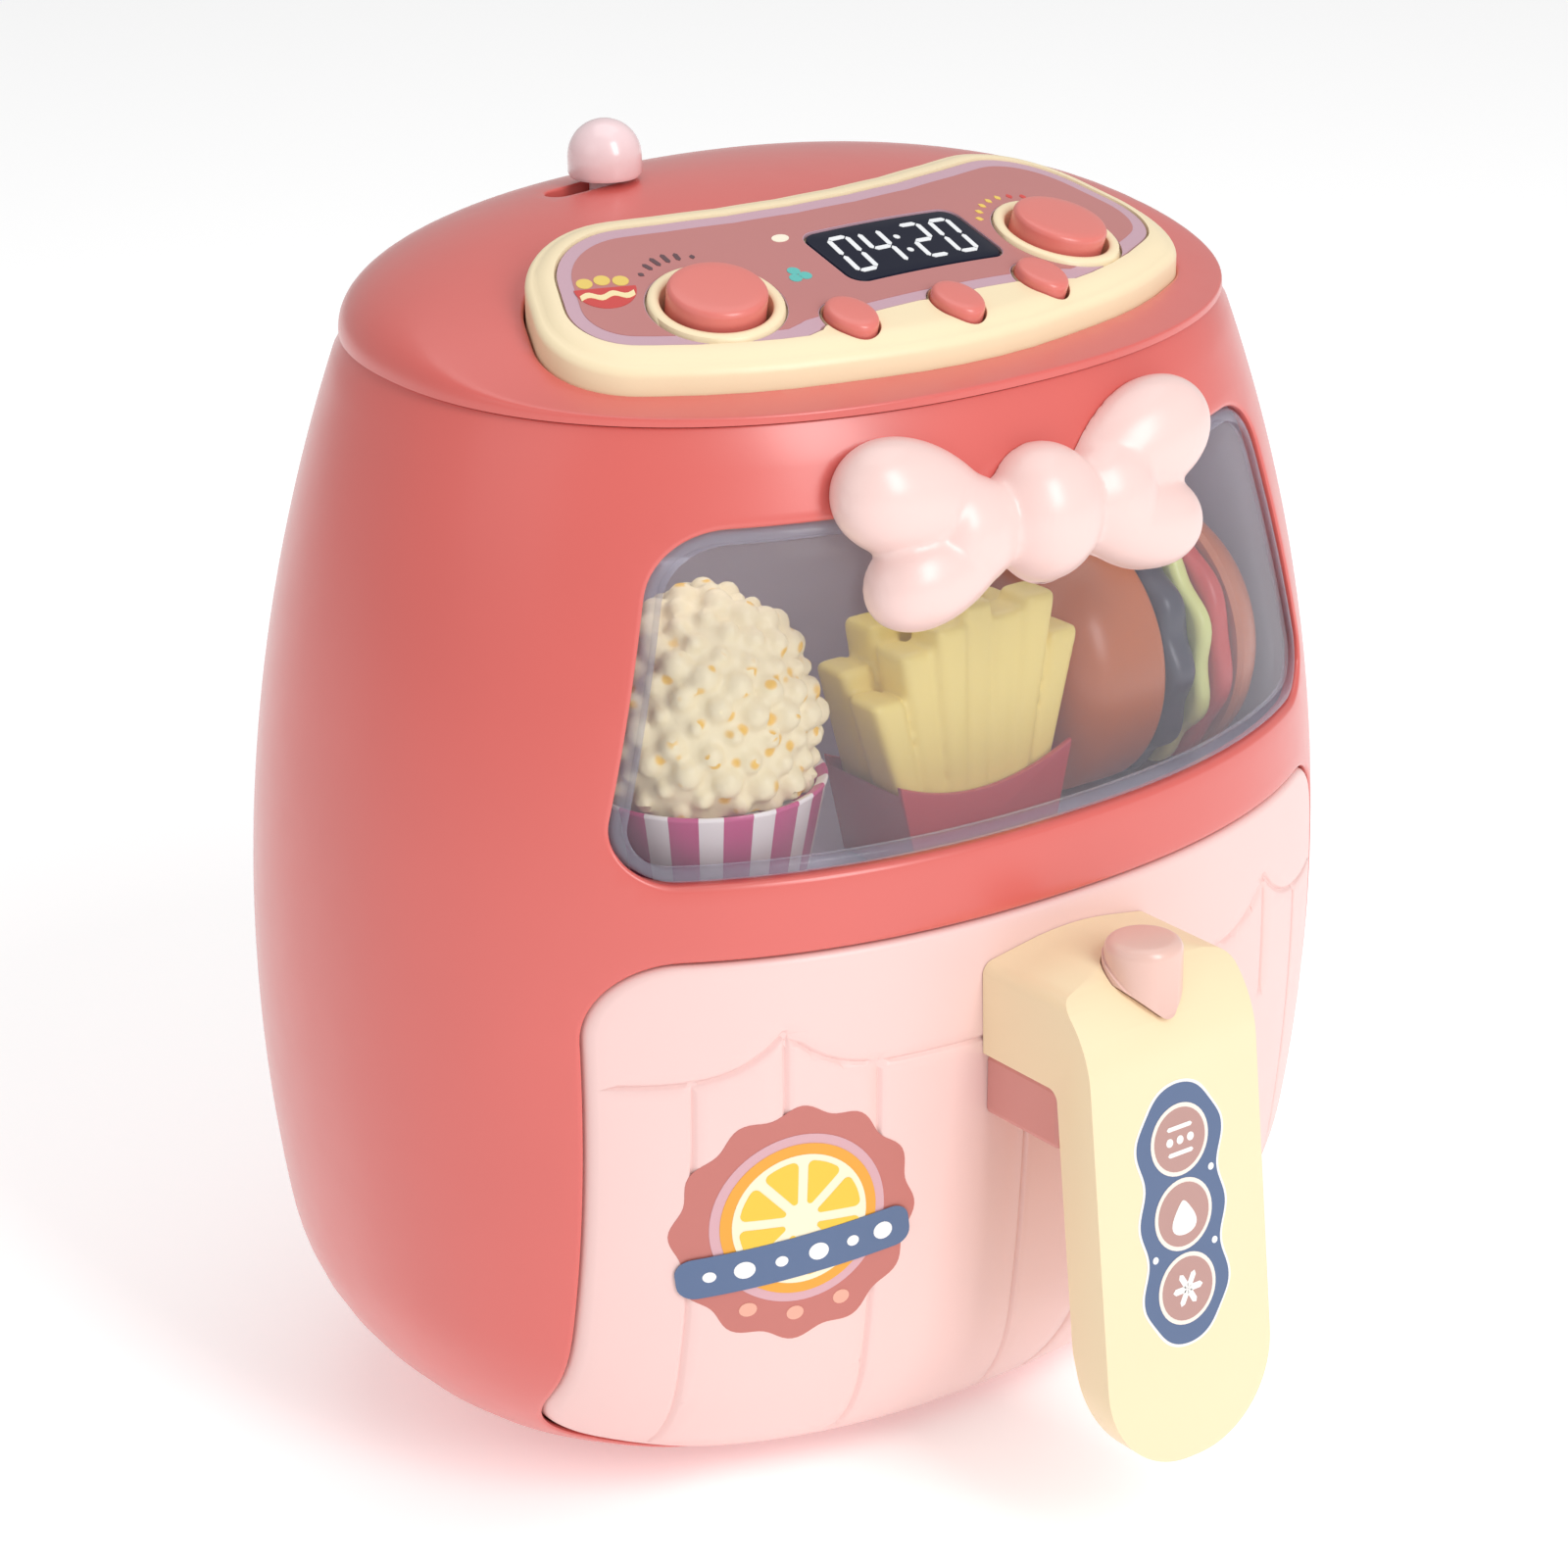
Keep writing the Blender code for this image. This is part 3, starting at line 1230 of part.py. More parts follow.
# Slide knob in the lid's slot, with the retainer under the lid
KNOB_LOOKS = 4
RETAINER_HALF_LENGTH = 0.0060
RETAINER_HALF_WIDTH = 0.0045
RETAINER_THICKNESS = 0.0014
LID_SLANT_SHARE = 1.12
KNOB_DOME_STEPS = 5


def lid_heights_along(reach_x, reach_y):
    """The lid's heights over the field that a piece of this half size passes on the knob's way."""
    steps = range(-KNOB_LOOKS, KNOB_LOOKS + 1)
    half = reach_x + KNOB_TRAVEL / 2
    return [
        lid_height(slot_middle + half * m / KNOB_LOOKS, KNOB_Y + reach_y * n / KNOB_LOOKS)
        for m in steps
        for n in steps
    ]


knob_floor = max(lid_heights_along(KNOB_RADIUS, KNOB_RADIUS)) + KNOB_CLEARANCE
retainer_lows = lid_heights_along(RETAINER_HALF_LENGTH, RETAINER_HALF_WIDTH)
retainer_top = min(retainer_lows) - WALL * LID_SLANT_SHARE - KNOB_CLEARANCE
knob_profile = []
for k in range(KNOB_DOME_STEPS + 1):
    angle = math.pi / 2 * k / KNOB_DOME_STEPS
    knob_profile.append((KNOB_RADIUS * math.sin(angle), KNOB_SKIRT + KNOB_RADIUS * math.cos(angle)))
knob_profile += [(KNOB_RADIUS, 0), (0, 0)]
slide_knob = joined(
    turned(knob_profile, Matrix.Translation((KNOB_X, KNOB_Y, knob_floor))),
    plate(
        oblong(KNOB_X, KNOB_Y, STEM_HALF_LENGTH, STEM_HALF_WIDTH),
        retainer_top - RETAINER_THICKNESS,
        knob_floor + KNOB_SKIRT / 2,
    ),
)
slide_knob = piece(slide_knob, "slide_knob", KNOB_PINK)
knob_retainer = cut(
    plate(
        oblong(KNOB_X, KNOB_Y, RETAINER_HALF_LENGTH, RETAINER_HALF_WIDTH),
        retainer_top - RETAINER_THICKNESS,
        retainer_top,
    ),
    plate(oblong(KNOB_X, KNOB_Y, STEM_HALF_LENGTH + GAP, STEM_HALF_WIDTH + GAP), 0, FAR + SEAM_HEIGHT),
)
knob_retainer = piece(knob_retainer, "knob_retainer", INNER_GREY)

# Control panel: a raised, crowned housing with collars for its buttons, hollow underneath
PANEL_DEPTH = 0.0085
PANEL_EDGE = 0.0018
PANEL_EDGE_STEPS = 2
PANEL_WALL = 0.0018
PANEL_WEB = 0.0032
PANEL_RIM = 0.0042
OVERLAY_RECESS = 0.0010
OVERLAY_THICKNESS = 0.0005
CROWN_STRIP = 0.016
CROWN_STRIPS = 3
ISLAND_HALF_WIDTH = 0.0212
ISLAND_REAR = -0.0325
ISLAND_ROUND = 0.003
DISPLAY_LEFT = -0.0085
DISPLAY_RIGHT = 0.0160
DISPLAY_FRONT = -0.0260
DISPLAY_REAR = -0.0135
DISPLAY_ROUND = 0.0022
DISPLAY_THICKNESS = 0.0013
DISPLAY_SINK = 0.0002
BIG_BUTTON_X = 0.0287
BIG_BUTTON_Y = -0.0225
BIG_BUTTON_RADIUS = 0.0066
BIG_BUTTON_RISE = 0.0022
BIG_BUTTON_TRAVEL = 0.0020
COLLAR_RADIUS = 0.0088
COLLAR_RISE = 0.0005
SMALL_BUTTON_PLACES = {"left": (-0.0150, -0.0331), "middle": (0.0010, -0.0351), "right": (0.0170, -0.0331)}
SMALL_BUTTON_HALF_WIDTH = 0.0032
SMALL_BUTTON_HALF_LENGTH = 0.0042
SMALL_BUTTON_RISE = 0.0015
SMALL_BUTTON_TRAVEL = 0.0012
BUTTON_FLANGE = 0.0010
BUTTON_DOME_SHARE = 0.55
STEM_RADIUS = 0.0015
BOARD_DEPTH = 0.0107
BOARD_THICKNESS = 0.0012
BOARD_HALF_WIDTH = 0.040
BOARD_FRONT_HALF_WIDTH = 0.028
BOARD_REAR_Y = -0.011
BOARD_SIDE_Y = -0.024
BOARD_FRONT_Y = -0.0355
BOARD_ROUND = 0.002
BOARD_OUTLINE = rounded(
    both_sides(
        [
            (BOARD_HALF_WIDTH, BOARD_REAR_Y, BOARD_ROUND),
            (BOARD_HALF_WIDTH, BOARD_SIDE_Y, BOARD_ROUND),
            (BOARD_FRONT_HALF_WIDTH, BOARD_FRONT_Y, BOARD_ROUND),
        ]
    )
)
POST_PLACES = ((0.037, -0.0135), (0.0250, -0.0320))
POST_RADIUS = 0.0015
POST_STEPS = 12


def crowned(obj):
    """Lays a flat piece onto the panel's crowned surface, its sides staying upright."""
    bm = bmesh.new()
    bm.from_mesh(obj.data)
    bmesh.ops.dissolve_limit(bm, angle_limit=FLAT_ANGLE, verts=bm.verts, edges=bm.edges)
    for n in range(-CROWN_STRIPS, CROWN_STRIPS + 1):
        geometry = bm.verts[:] + bm.edges[:] + bm.faces[:]
        bmesh.ops.bisect_plane(
            bm, geom=geometry, dist=GAP * WELD_SHARE, plane_co=(CROWN_STRIP * n, 0, 0), plane_no=(1, 0, 0)
        )
    bmesh.ops.triangulate(bm, faces=bm.faces)
    for vert in bm.verts:
        vert.co.z += panel_height(vert.co.x, vert.co.y)
    bm.to_mesh(obj.data)
    bm.free()
    return obj


def overlay_blank(clearance, low, high):
    """The printed sheet's outline as a plate: the panel's outline drawn in, less the island of small buttons."""
    island = rounded(
        [
            (ISLAND_HALF_WIDTH - clearance, ISLAND_REAR - clearance, ISLAND_ROUND),
            (ISLAND_HALF_WIDTH - clearance, -FAR, 0),
            (clearance - ISLAND_HALF_WIDTH, -FAR, 0),
            (clearance - ISLAND_HALF_WIDTH, ISLAND_REAR - clearance, ISLAND_ROUND),
        ]
    )
    sheet = plate(grown(PANEL_OUTLINE, clearance - PANEL_RIM), low, high)
    return cut(sheet, plate(island, low - OVERRUN, high + OVERRUN))


def display_plate(clearance, low, high):
    return plate(
        rounded(
            [
                (DISPLAY_RIGHT + clearance, DISPLAY_REAR + clearance, DISPLAY_ROUND),
                (DISPLAY_RIGHT + clearance, DISPLAY_FRONT - clearance, DISPLAY_ROUND),
                (DISPLAY_LEFT - clearance, DISPLAY_FRONT - clearance, DISPLAY_ROUND),
                (DISPLAY_LEFT - clearance, DISPLAY_REAR + clearance, DISPLAY_ROUND),
            ]
        ),
        low,
        high,
    )


def oval_frame(place, clearance=0):
    """A small button's frame, narrowed across so that a round section in it turns oval."""
    across = (SMALL_BUTTON_HALF_WIDTH + clearance) / (SMALL_BUTTON_HALF_LENGTH + clearance)
    return panel_frame(*place) @ Matrix.Diagonal((across, 1, 1, 1))


def well(frame, radius):
    return cylinder(radius, -2 * PANEL_WEB, FAR, frame)


big_places = {"left": (-BIG_BUTTON_X, BIG_BUTTON_Y), "right": (BIG_BUTTON_X, BIG_BUTTON_Y)}
panel = softened(
    plate(PANEL_OUTLINE, -PANEL_DEPTH, 0),
    PANEL_EDGE,
    lambda first, second: min(first.z, second.z) > -PANEL_EDGE,
    PANEL_EDGE_STEPS,
)
panel = cut(
    panel,
    plate(grown(PANEL_OUTLINE, -PANEL_WALL), -PANEL_DEPTH - OVERRUN, -PANEL_WEB),
    overlay_blank(GAP, -OVERLAY_RECESS, OVERRUN),
    display_plate(GAP, -DISPLAY_SINK - DISPLAY_THICKNESS - GAP, OVERRUN),
)
panel = crowned(panel)
for place in big_places.values():
    collar = cylinder(COLLAR_RADIUS, -PANEL_WEB + GAP, COLLAR_RISE, panel_frame(*place))
    panel = joined(panel, collar)
    panel = cut(panel, well(panel_frame(*place), BIG_BUTTON_RADIUS + GAP))
for place in SMALL_BUTTON_PLACES.values():
    panel = cut(panel, well(oval_frame(place, GAP), SMALL_BUTTON_HALF_LENGTH + GAP))


def board_gap(x):
    """How far the board's top lies behind the panel's surface, along the surface's normal."""
    slant = math.hypot(1, PANEL_SLOPE_SHARE, x / PANEL_CROWN_RADIUS)
    return slant * (BOARD_DEPTH - crown_drop(x)) / (1 + PANEL_SLOPE_SHARE**2)


for x, y in POST_PLACES:
    for side in (-1, 1):
        drop = BOARD_DEPTH - crown_drop(x) - PANEL_SLOPE_SHARE * POST_RADIUS - GAP
        foot = Matrix.Translation((side * x, y, panel_height(x, y)))
        post = cylinder(POST_RADIUS, -drop, -PANEL_WEB + GAP, foot, steps=POST_STEPS)
        panel = joined(panel, post)
piece(panel, "control_panel", CREAM)

# Printed sheet, display and board of the control panel
overlay = crowned(
    overlay_blank(0, -OVERLAY_RECESS + GAP, -OVERLAY_RECESS + GAP + OVERLAY_THICKNESS)
)
for place in big_places.values():
    overlay = cut(overlay, well(panel_frame(*place), COLLAR_RADIUS + GAP))
for place in SMALL_BUTTON_PLACES.values():
    overlay = cut(overlay, well(oval_frame(place, 2 * GAP), SMALL_BUTTON_HALF_LENGTH + 2 * GAP))
overlay = cut(overlay, crowned(display_plate(GAP, -PANEL_WEB, OVERRUN)))
piece(overlay, "panel_overlay", ROSE_PRINT)
piece(crowned(display_plate(0, -DISPLAY_SINK - DISPLAY_THICKNESS, -DISPLAY_SINK)), "display_lens", DISPLAY_BLUE)

board_top = panel_middle_height - PANEL_SLOPE_SHARE * PANEL_MIDDLE_Y - BOARD_DEPTH
board = sloped(plate(BOARD_OUTLINE, board_top - BOARD_THICKNESS, board_top), PANEL_SLOPE_SHARE)
piece(board, "control_board", BOARD_GREEN)


def button(frame, radius, rise, reach):
    """A turned button: a softly domed cap, a flange that stops under the panel, and a stem to the board."""
    flange_top = -PANEL_WEB - GAP
    return turned(
        [
            (0, rise),
            (radius * BUTTON_DOME_SHARE, rise - GAP / 2),
            (radius - PANEL_EDGE / 2, rise - 2 * GAP),
            (radius - GAP, rise - PANEL_EDGE / 2),
            (radius, rise - PANEL_EDGE),
            (radius, flange_top),
            (radius + BUTTON_FLANGE, flange_top),
            (radius + BUTTON_FLANGE, flange_top - BUTTON_FLANGE),
            (STEM_RADIUS, flange_top - BUTTON_FLANGE),
            (STEM_RADIUS, -reach),
            (0, -reach),
        ],
        frame,
    )


for side, place in big_places.items():
    cap = button(
        panel_frame(*place),
        BIG_BUTTON_RADIUS,
        BIG_BUTTON_RISE,
        board_gap(place[0]) - BIG_BUTTON_TRAVEL - GAP,
    )
    cap = piece(cap, f"big_button_{side}", BUTTON_CORAL)
    pivot(f"big_button_{side}_press", panel_frame(*place).translation, cap)
for side, place in SMALL_BUTTON_PLACES.items():
    cap = button(
        oval_frame(place),
        SMALL_BUTTON_HALF_LENGTH,
        SMALL_BUTTON_RISE,
        board_gap(place[0]) - SMALL_BUTTON_TRAVEL - GAP,
    )
    cap = piece(cap, f"small_button_{side}", BUTTON_CORAL)
    pivot(f"small_button_{side}_press", panel_frame(*place).translation, cap)

# Speaker: a shallow cone in a round frame, seated in the rear cover's ring
SPEAKER_MAGNET_RADIUS = 0.0105
SPEAKER_DEPTH = 0.0085
SPEAKER_RIM_DEPTH = 0.0020
speaker_face = depth_at(SPEAKER_RADIUS, SPEAKER_HEIGHT + SPEAKER_RADIUS, WALL) - 2 * GAP
speaker = turned(
    [
        (0, 0),
        (SPEAKER_MAGNET_RADIUS, 0),
        (SPEAKER_RADIUS - GAP, -GAP),
        (SPEAKER_RADIUS - GAP, -SPEAKER_RIM_DEPTH),
        (SPEAKER_MAGNET_RADIUS, -SPEAKER_DEPTH / 2),
        (SPEAKER_MAGNET_RADIUS, -SPEAKER_DEPTH),
        (0, -SPEAKER_DEPTH),
    ],
    facing_back @ Matrix.Translation((0, 0, speaker_face)),
)
piece(speaker, "speaker", BLACK_PLASTIC)

# Power switch: a slider in the rear cover's slot, held by a shallow housing behind it
SWITCH_FLANGE_HALF_WIDTH = 0.0092
SWITCH_FLANGE_HALF_HEIGHT = 0.0040
SWITCH_FLANGE_THICKNESS = 0.0012
SWITCH_BODY_WALL = 0.0018
switch_seat = depth_at(SWITCH_FLANGE_HALF_WIDTH + SWITCH_TRAVEL, SWITCH_HEIGHT, WALL) - GAP
rest_x = -SWITCH_TRAVEL / 2


def switch_block(half_width, half_height, front, back, x=0):
    return box(
        (x - half_width, front, SWITCH_HEIGHT - half_height), (x + half_width, back, SWITCH_HEIGHT + half_height)
    )


power_switch = joined(
    switch_block(
        SWITCH_KNOB_HALF_WIDTH,
        SWITCH_SLOT_HALF_HEIGHT - GAP,
        switch_seat - SWITCH_FLANGE_THICKNESS / 2,
        depth_at(0, SWITCH_HEIGHT) + SWITCH_STAND_OUT,
        rest_x,
    ),
    switch_block(
        SWITCH_FLANGE_HALF_WIDTH,
        SWITCH_FLANGE_HALF_HEIGHT,
        switch_seat - SWITCH_FLANGE_THICKNESS,
        switch_seat,
        rest_x,
    ),
)
power_switch = piece(power_switch, "power_switch", BLACK_PLASTIC)
pocket_half_width = SWITCH_FLANGE_HALF_WIDTH + SWITCH_TRAVEL / 2 + GAP
pocket_half_height = SWITCH_FLANGE_HALF_HEIGHT + GAP
pocket_front = switch_seat - SWITCH_FLANGE_THICKNESS - GAP
switch_body = cut(
    inside_body(
        switch_block(
            pocket_half_width + SWITCH_BODY_WALL,
            pocket_half_height + SWITCH_BODY_WALL,
            pocket_front - SWITCH_BODY_WALL,
            FAR,
        )
    ),
    switch_block(pocket_half_width, pocket_half_height, pocket_front, 2 * FAR),
)
piece(switch_body, "switch_body", INNER_GREY)

# Battery box behind its door, with two cells and their contacts
CELL_RADIUS = 0.00725
CELL_HALF_LENGTH = 0.02525
CELL_NUB_RADIUS = 0.00275
CELL_NUB_HEIGHT = 0.0010
CELL_SPACING = 0.0004
CELL_MARGIN_SHARE = 1.5
CONTACT_THICKNESS = 0.0005
CONTACT_HALF_SIZE = 0.0045
BATTERY_WALL = 0.0015
battery_front = bay_rear + BAY_WALL + GAP
cell_y = battery_front + BATTERY_WALL + GAP + CELL_RADIUS
cell_middle_height = (DOOR_HIGH + DOOR_LOW) / 2
cell_rise = CELL_RADIUS + CELL_SPACING / 2
battery_half_length = CELL_HALF_LENGTH + CONTACT_THICKNESS + 2 * GAP
battery_half_height = 2 * CELL_RADIUS + CELL_SPACING * CELL_MARGIN_SHARE
battery_box = cut(
    inside_body(
        box(
            (
                -battery_half_length - BATTERY_WALL,
                battery_front,
                cell_middle_height - battery_half_height - BATTERY_WALL,
            ),
            (battery_half_length + BATTERY_WALL, FAR, cell_middle_height + battery_half_height + BATTERY_WALL),
        )
    ),
    box(
        (-battery_half_length, battery_front + BATTERY_WALL, cell_middle_height - battery_half_height),
        (battery_half_length, 2 * FAR, cell_middle_height + battery_half_height),
    ),
)
piece(battery_box, "battery_box", INNER_GREY)
for level, side in (("upper", 1), ("lower", -1)):
    frame = Matrix.Translation((0, cell_y, cell_middle_height + side * cell_rise)) @ Matrix.Rotation(
        side * math.radians(90), 4, "Y"
    )
    cell = turned(
        [
            (0, CELL_HALF_LENGTH),
            (CELL_NUB_RADIUS, CELL_HALF_LENGTH),
            (CELL_NUB_RADIUS, CELL_HALF_LENGTH - CELL_NUB_HEIGHT),
            (CELL_RADIUS, CELL_HALF_LENGTH - CELL_NUB_HEIGHT),
            (CELL_RADIUS, -CELL_HALF_LENGTH),
            (0, -CELL_HALF_LENGTH),
        ],
        frame,
    )
    piece(cell, f"battery_cell_{level}", CELL_BLUE)


def contact(side, low, high):
    inner = CELL_HALF_LENGTH + GAP
    ends = sorted((side * inner, side * (inner + CONTACT_THICKNESS)))
    return box((ends[0], cell_y - CONTACT_HALF_SIZE, low), (ends[1], cell_y + CONTACT_HALF_SIZE, high))


upper = cell_middle_height + cell_rise
lower = cell_middle_height - cell_rise
half = CONTACT_HALF_SIZE
piece(contact(-1, lower - half, upper + half), "battery_contact_bridge", METAL)
piece(contact(1, lower - half, lower + half), "battery_contact_lower", METAL)
piece(contact(1, upper - half, upper + half), "battery_contact_upper", METAL)

# Moving bodies: each empty stands on its joint's axis
drawer_slide = pivot(
    "drawer_slide",
    (0, -depth_at(0, BODY_WIDEST_HEIGHT), BODY_WIDEST_HEIGHT),
    drawer_front,
    drawer_pan,
    crisper_plate,
    handle,
    handle_bracket,
)
release_press = pivot("release_press", (0, RELEASE_Y, HANDLE_CROWN), release_button)
release_press.parent = drawer_slide
release_press.matrix_parent_inverse = drawer_slide.matrix_world.inverted()
pivot("knob_slide", (KNOB_X, KNOB_Y, knob_floor), slide_knob, knob_retainer)
pivot("switch_slide", (rest_x, switch_seat, SWITCH_HEIGHT), power_switch)
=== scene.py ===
import math

import bmesh
import bpy
import numpy as np
from mathutils import Matrix, Vector
from mathutils.geometry import delaunay_2d_cdt


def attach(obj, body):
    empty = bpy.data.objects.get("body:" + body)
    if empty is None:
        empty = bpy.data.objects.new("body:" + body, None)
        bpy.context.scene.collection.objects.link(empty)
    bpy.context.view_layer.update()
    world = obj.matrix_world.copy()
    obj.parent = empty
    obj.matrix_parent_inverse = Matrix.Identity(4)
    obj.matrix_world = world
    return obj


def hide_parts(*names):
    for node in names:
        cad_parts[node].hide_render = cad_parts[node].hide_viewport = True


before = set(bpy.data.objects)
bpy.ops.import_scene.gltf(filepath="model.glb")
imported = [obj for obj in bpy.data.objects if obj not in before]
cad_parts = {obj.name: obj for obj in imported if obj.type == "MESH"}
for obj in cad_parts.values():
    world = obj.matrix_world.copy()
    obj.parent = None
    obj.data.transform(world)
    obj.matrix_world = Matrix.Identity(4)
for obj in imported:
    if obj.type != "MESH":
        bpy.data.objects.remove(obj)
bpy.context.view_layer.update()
bpy.ops.object.select_all(action="DESELECT")

# Front shell: one coral moulding round the front, the sides and the foot, open for the window and the
# drawer. The wall follows a barrel with a superellipse section, and every edge where the mould parts is
# lightly rounded.
BODY_HALF_WIDTH = 0.0806
BODY_HALF_DEPTH = 0.0605
BODY_WIDEST = 0.070
SIDE_ARC = 0.235
FRONT_ARC = 0.300
SIDE_FOOT = 0.039
FRONT_FOOT = 0.035
SEAM = 0.156
SEAM_SLOPE = 0.0022 / BODY_HALF_DEPTH
POWER = 2.2
WALL = 0.0022
GAP = 0.0003
REAR_SPLIT = 0.036
GIRTH = 0.45
GIRTH_STEPS = 150
BARREL_STEPS = 50
MOULD_EDGE = 0.0005
OPENING_EDGE = 0.0009
SPLIT_TRIALS = 200
SPLIT_POINTS = 70
FOOT_RINGS = 11
FOOT_TURN_DEG = 7.5
SMOOTH_ANGLE = math.radians(38)
WELD = 1e-7
ONE_POINT = 1e-9
TINY = 1e-18
CLOUD_SIZE = 0.030
GRAIN_SIZE = 0.0005
GRAIN_HEIGHT = 0.00002
POLISH_SIZE = 0.006
POLISH_RANGE = 0.10
COAT_ROUGHNESS = 0.26
PLASTIC_IOR = 1.49


class Value:
    """One socket of a material's nodes: maths on it adds Math nodes to the material."""

    def __init__(self, tree, socket):
        self.tree = tree
        self.socket = socket

    def node(self, kind, settings, inputs, out=0):
        made = self.tree.nodes.new("ShaderNode" + kind)
        for name, setting in settings.items():
            if name == "stops":
                ramp = made.color_ramp.elements
                while len(ramp) < len(setting):
                    ramp.new(1)
                for stop, (position, colour) in zip(ramp, setting):
                    stop.position = position
                    stop.color = (*colour, 1)
            else:
                setattr(made, name, setting)
        for name, value in inputs.items():
            if isinstance(value, Value):
                self.tree.links.new(value.socket, made.inputs[name])
            else:
                made.inputs[name].default_value = value
        return Value(self.tree, made.outputs[out])

    def maths(self, operation, *values):
        return self.node("Math", {"operation": operation}, dict(enumerate(values)))

    def __add__(self, other):
        return self.maths("ADD", self, other)

    def __sub__(self, other):
        return self.maths("SUBTRACT", self, other)

    def __rsub__(self, other):
        return self.maths("SUBTRACT", other, self)

    def __mul__(self, other):
        return self.maths("MULTIPLY", self, other)

    def __gt__(self, other):
        return self.maths("GREATER_THAN", self, other)

    __radd__ = __add__
    __rmul__ = __mul__

    def noise(self, size, detail=2):
        """Cloudy variation, from 0 to 1, with lumps of about this size in metres."""
        return self.node("TexNoise", {}, {"Vector": self, "Scale": 1 / size, "Detail": detail})

    def bump(self, strength, height=GRAIN_HEIGHT):
        """A surface that rises with this value, by a height in metres."""
        return self.node("Bump", {}, {"Strength": strength, "Distance": height, "Height": self})

    def mix(self, dark, light):
        """Goes from one colour to another as this value goes from 0 to 1."""
        ends = {key: (*c, 1) if isinstance(c, tuple) else c for key, c in ((6, dark), (7, light))}
        return self.node("Mix", {"data_type": "RGBA"}, {0: self, **ends}, out=2)


def shaded(name):
    """A new material with its Principled shader and its object coordinates as a Value."""
    made = bpy.data.materials.new(name)
    made.use_nodes = True
    tree = made.node_tree
    shader = tree.nodes["Principled BSDF"]
    place = Value(tree, tree.nodes.new("ShaderNodeTexCoord").outputs["Object"])
    return made, shader, place


def wired(shader, **values):
    """Sets the shader's sockets to numbers, colours or Values. Underscores in the names stand for spaces."""
    for name, value in values.items():
        socket = shader.inputs[name.replace("_", " ")]
        if isinstance(value, Value):
            value.tree.links.new(value.socket, socket)
        else:
            socket.default_value = (*value, 1) if isinstance(value, tuple) and len(value) == 3 else value


def plastic(name, colour, roughness=0.36, coat=0.25, grain=0.4, drift=0.05):
    """Injection-moulded plastic: a faint cloudiness in the pigment, fine mould texture and uneven polish."""
    made, shader, place = shaded(name)
    darker = tuple(part * (1 - drift) for part in colour)
    lighter = tuple(min(1, part * (1 + drift)) for part in colour)
    polish = place.noise(POLISH_SIZE) * POLISH_RANGE + (roughness - POLISH_RANGE / 2)
    wired(shader, Base_Color=place.noise(CLOUD_SIZE).mix(darker, lighter), Roughness=polish)
    wired(shader, Normal=place.noise(GRAIN_SIZE, detail=3).bump(grain))
    wired(shader, Coat_Weight=coat, Coat_Roughness=COAT_ROUGHNESS, IOR=PLASTIC_IOR)
    return made


def half_extent(height, reach, arc, foot, inset):
    """Half the width or depth at a height: a barrel arc that runs smoothly into the foot's rounding."""
    fall = BODY_WIDEST - foot
    apart = arc - foot
    if height < foot - fall * (foot - inset) / apart:
        under = (foot - inset) ** 2 - (foot - height) ** 2
        return reach - arc + math.sqrt(apart**2 - fall**2) + math.sqrt(max(0, under))
    return reach - arc + math.sqrt((arc - inset) ** 2 - (height - BODY_WIDEST) ** 2)


def half_width(height, inset=0):
    return half_extent(height, BODY_HALF_WIDTH, SIDE_ARC, SIDE_FOOT, inset)


def half_depth(height, inset=0):
    return half_extent(height, BODY_HALF_DEPTH, FRONT_ARC, FRONT_FOOT, inset)


def power(value, share):
    return math.copysign(abs(value) ** share, value)


def raised_height(height, inset):
    """The height of a wall point once the foot's rounding is drawn in by an inset."""
    return inset + height * (FRONT_FOOT - inset) / FRONT_FOOT if height < FRONT_FOOT else height


def body_point(height, turn, inset=0):
    """A point of the body's wall at a height and a share of a turn from +X."""
    height = raised_height(height, inset)
    angle = 2 * math.pi * turn
    x = half_width(height, inset) * power(math.cos(angle), 2 / POWER)
    y = half_depth(height, inset) * power(math.sin(angle), 2 / POWER)
    return Vector((x, y, height * (1 + SEAM_SLOPE * y / SEAM)))


def depth_at(x, z, inset=0, side=1):
    """How far the body's surface lies from its middle plane: side is 1 for the back and -1 for the front."""
    height = z
    for _ in range(3):
        inner = max(0, 1 - abs(x / half_width(height, inset)) ** POWER)
        y = half_depth(height, inset) * inner ** (1 / POWER)
        height = z / (1 + side * SEAM_SLOPE * y / SEAM)
    return y


def unrolled(x, z, inset, side):
    """Where a place on the front or back lies on the unrolled wall, along the girth and up."""
    height = z / (1 + side * SEAM_SLOPE * depth_at(x, z, inset, side) / SEAM)
    angle = math.acos(min(1, (abs(x) / half_width(height, inset)) ** (POWER / 2))) / (2 * math.pi)
    if height < FRONT_FOOT:
        height = (height - inset) * FRONT_FOOT / (FRONT_FOOT - inset)
    middle = 0.25 * side
    return Vector(((middle + math.copysign(0.25 - angle, x) * -side) * GIRTH, height))


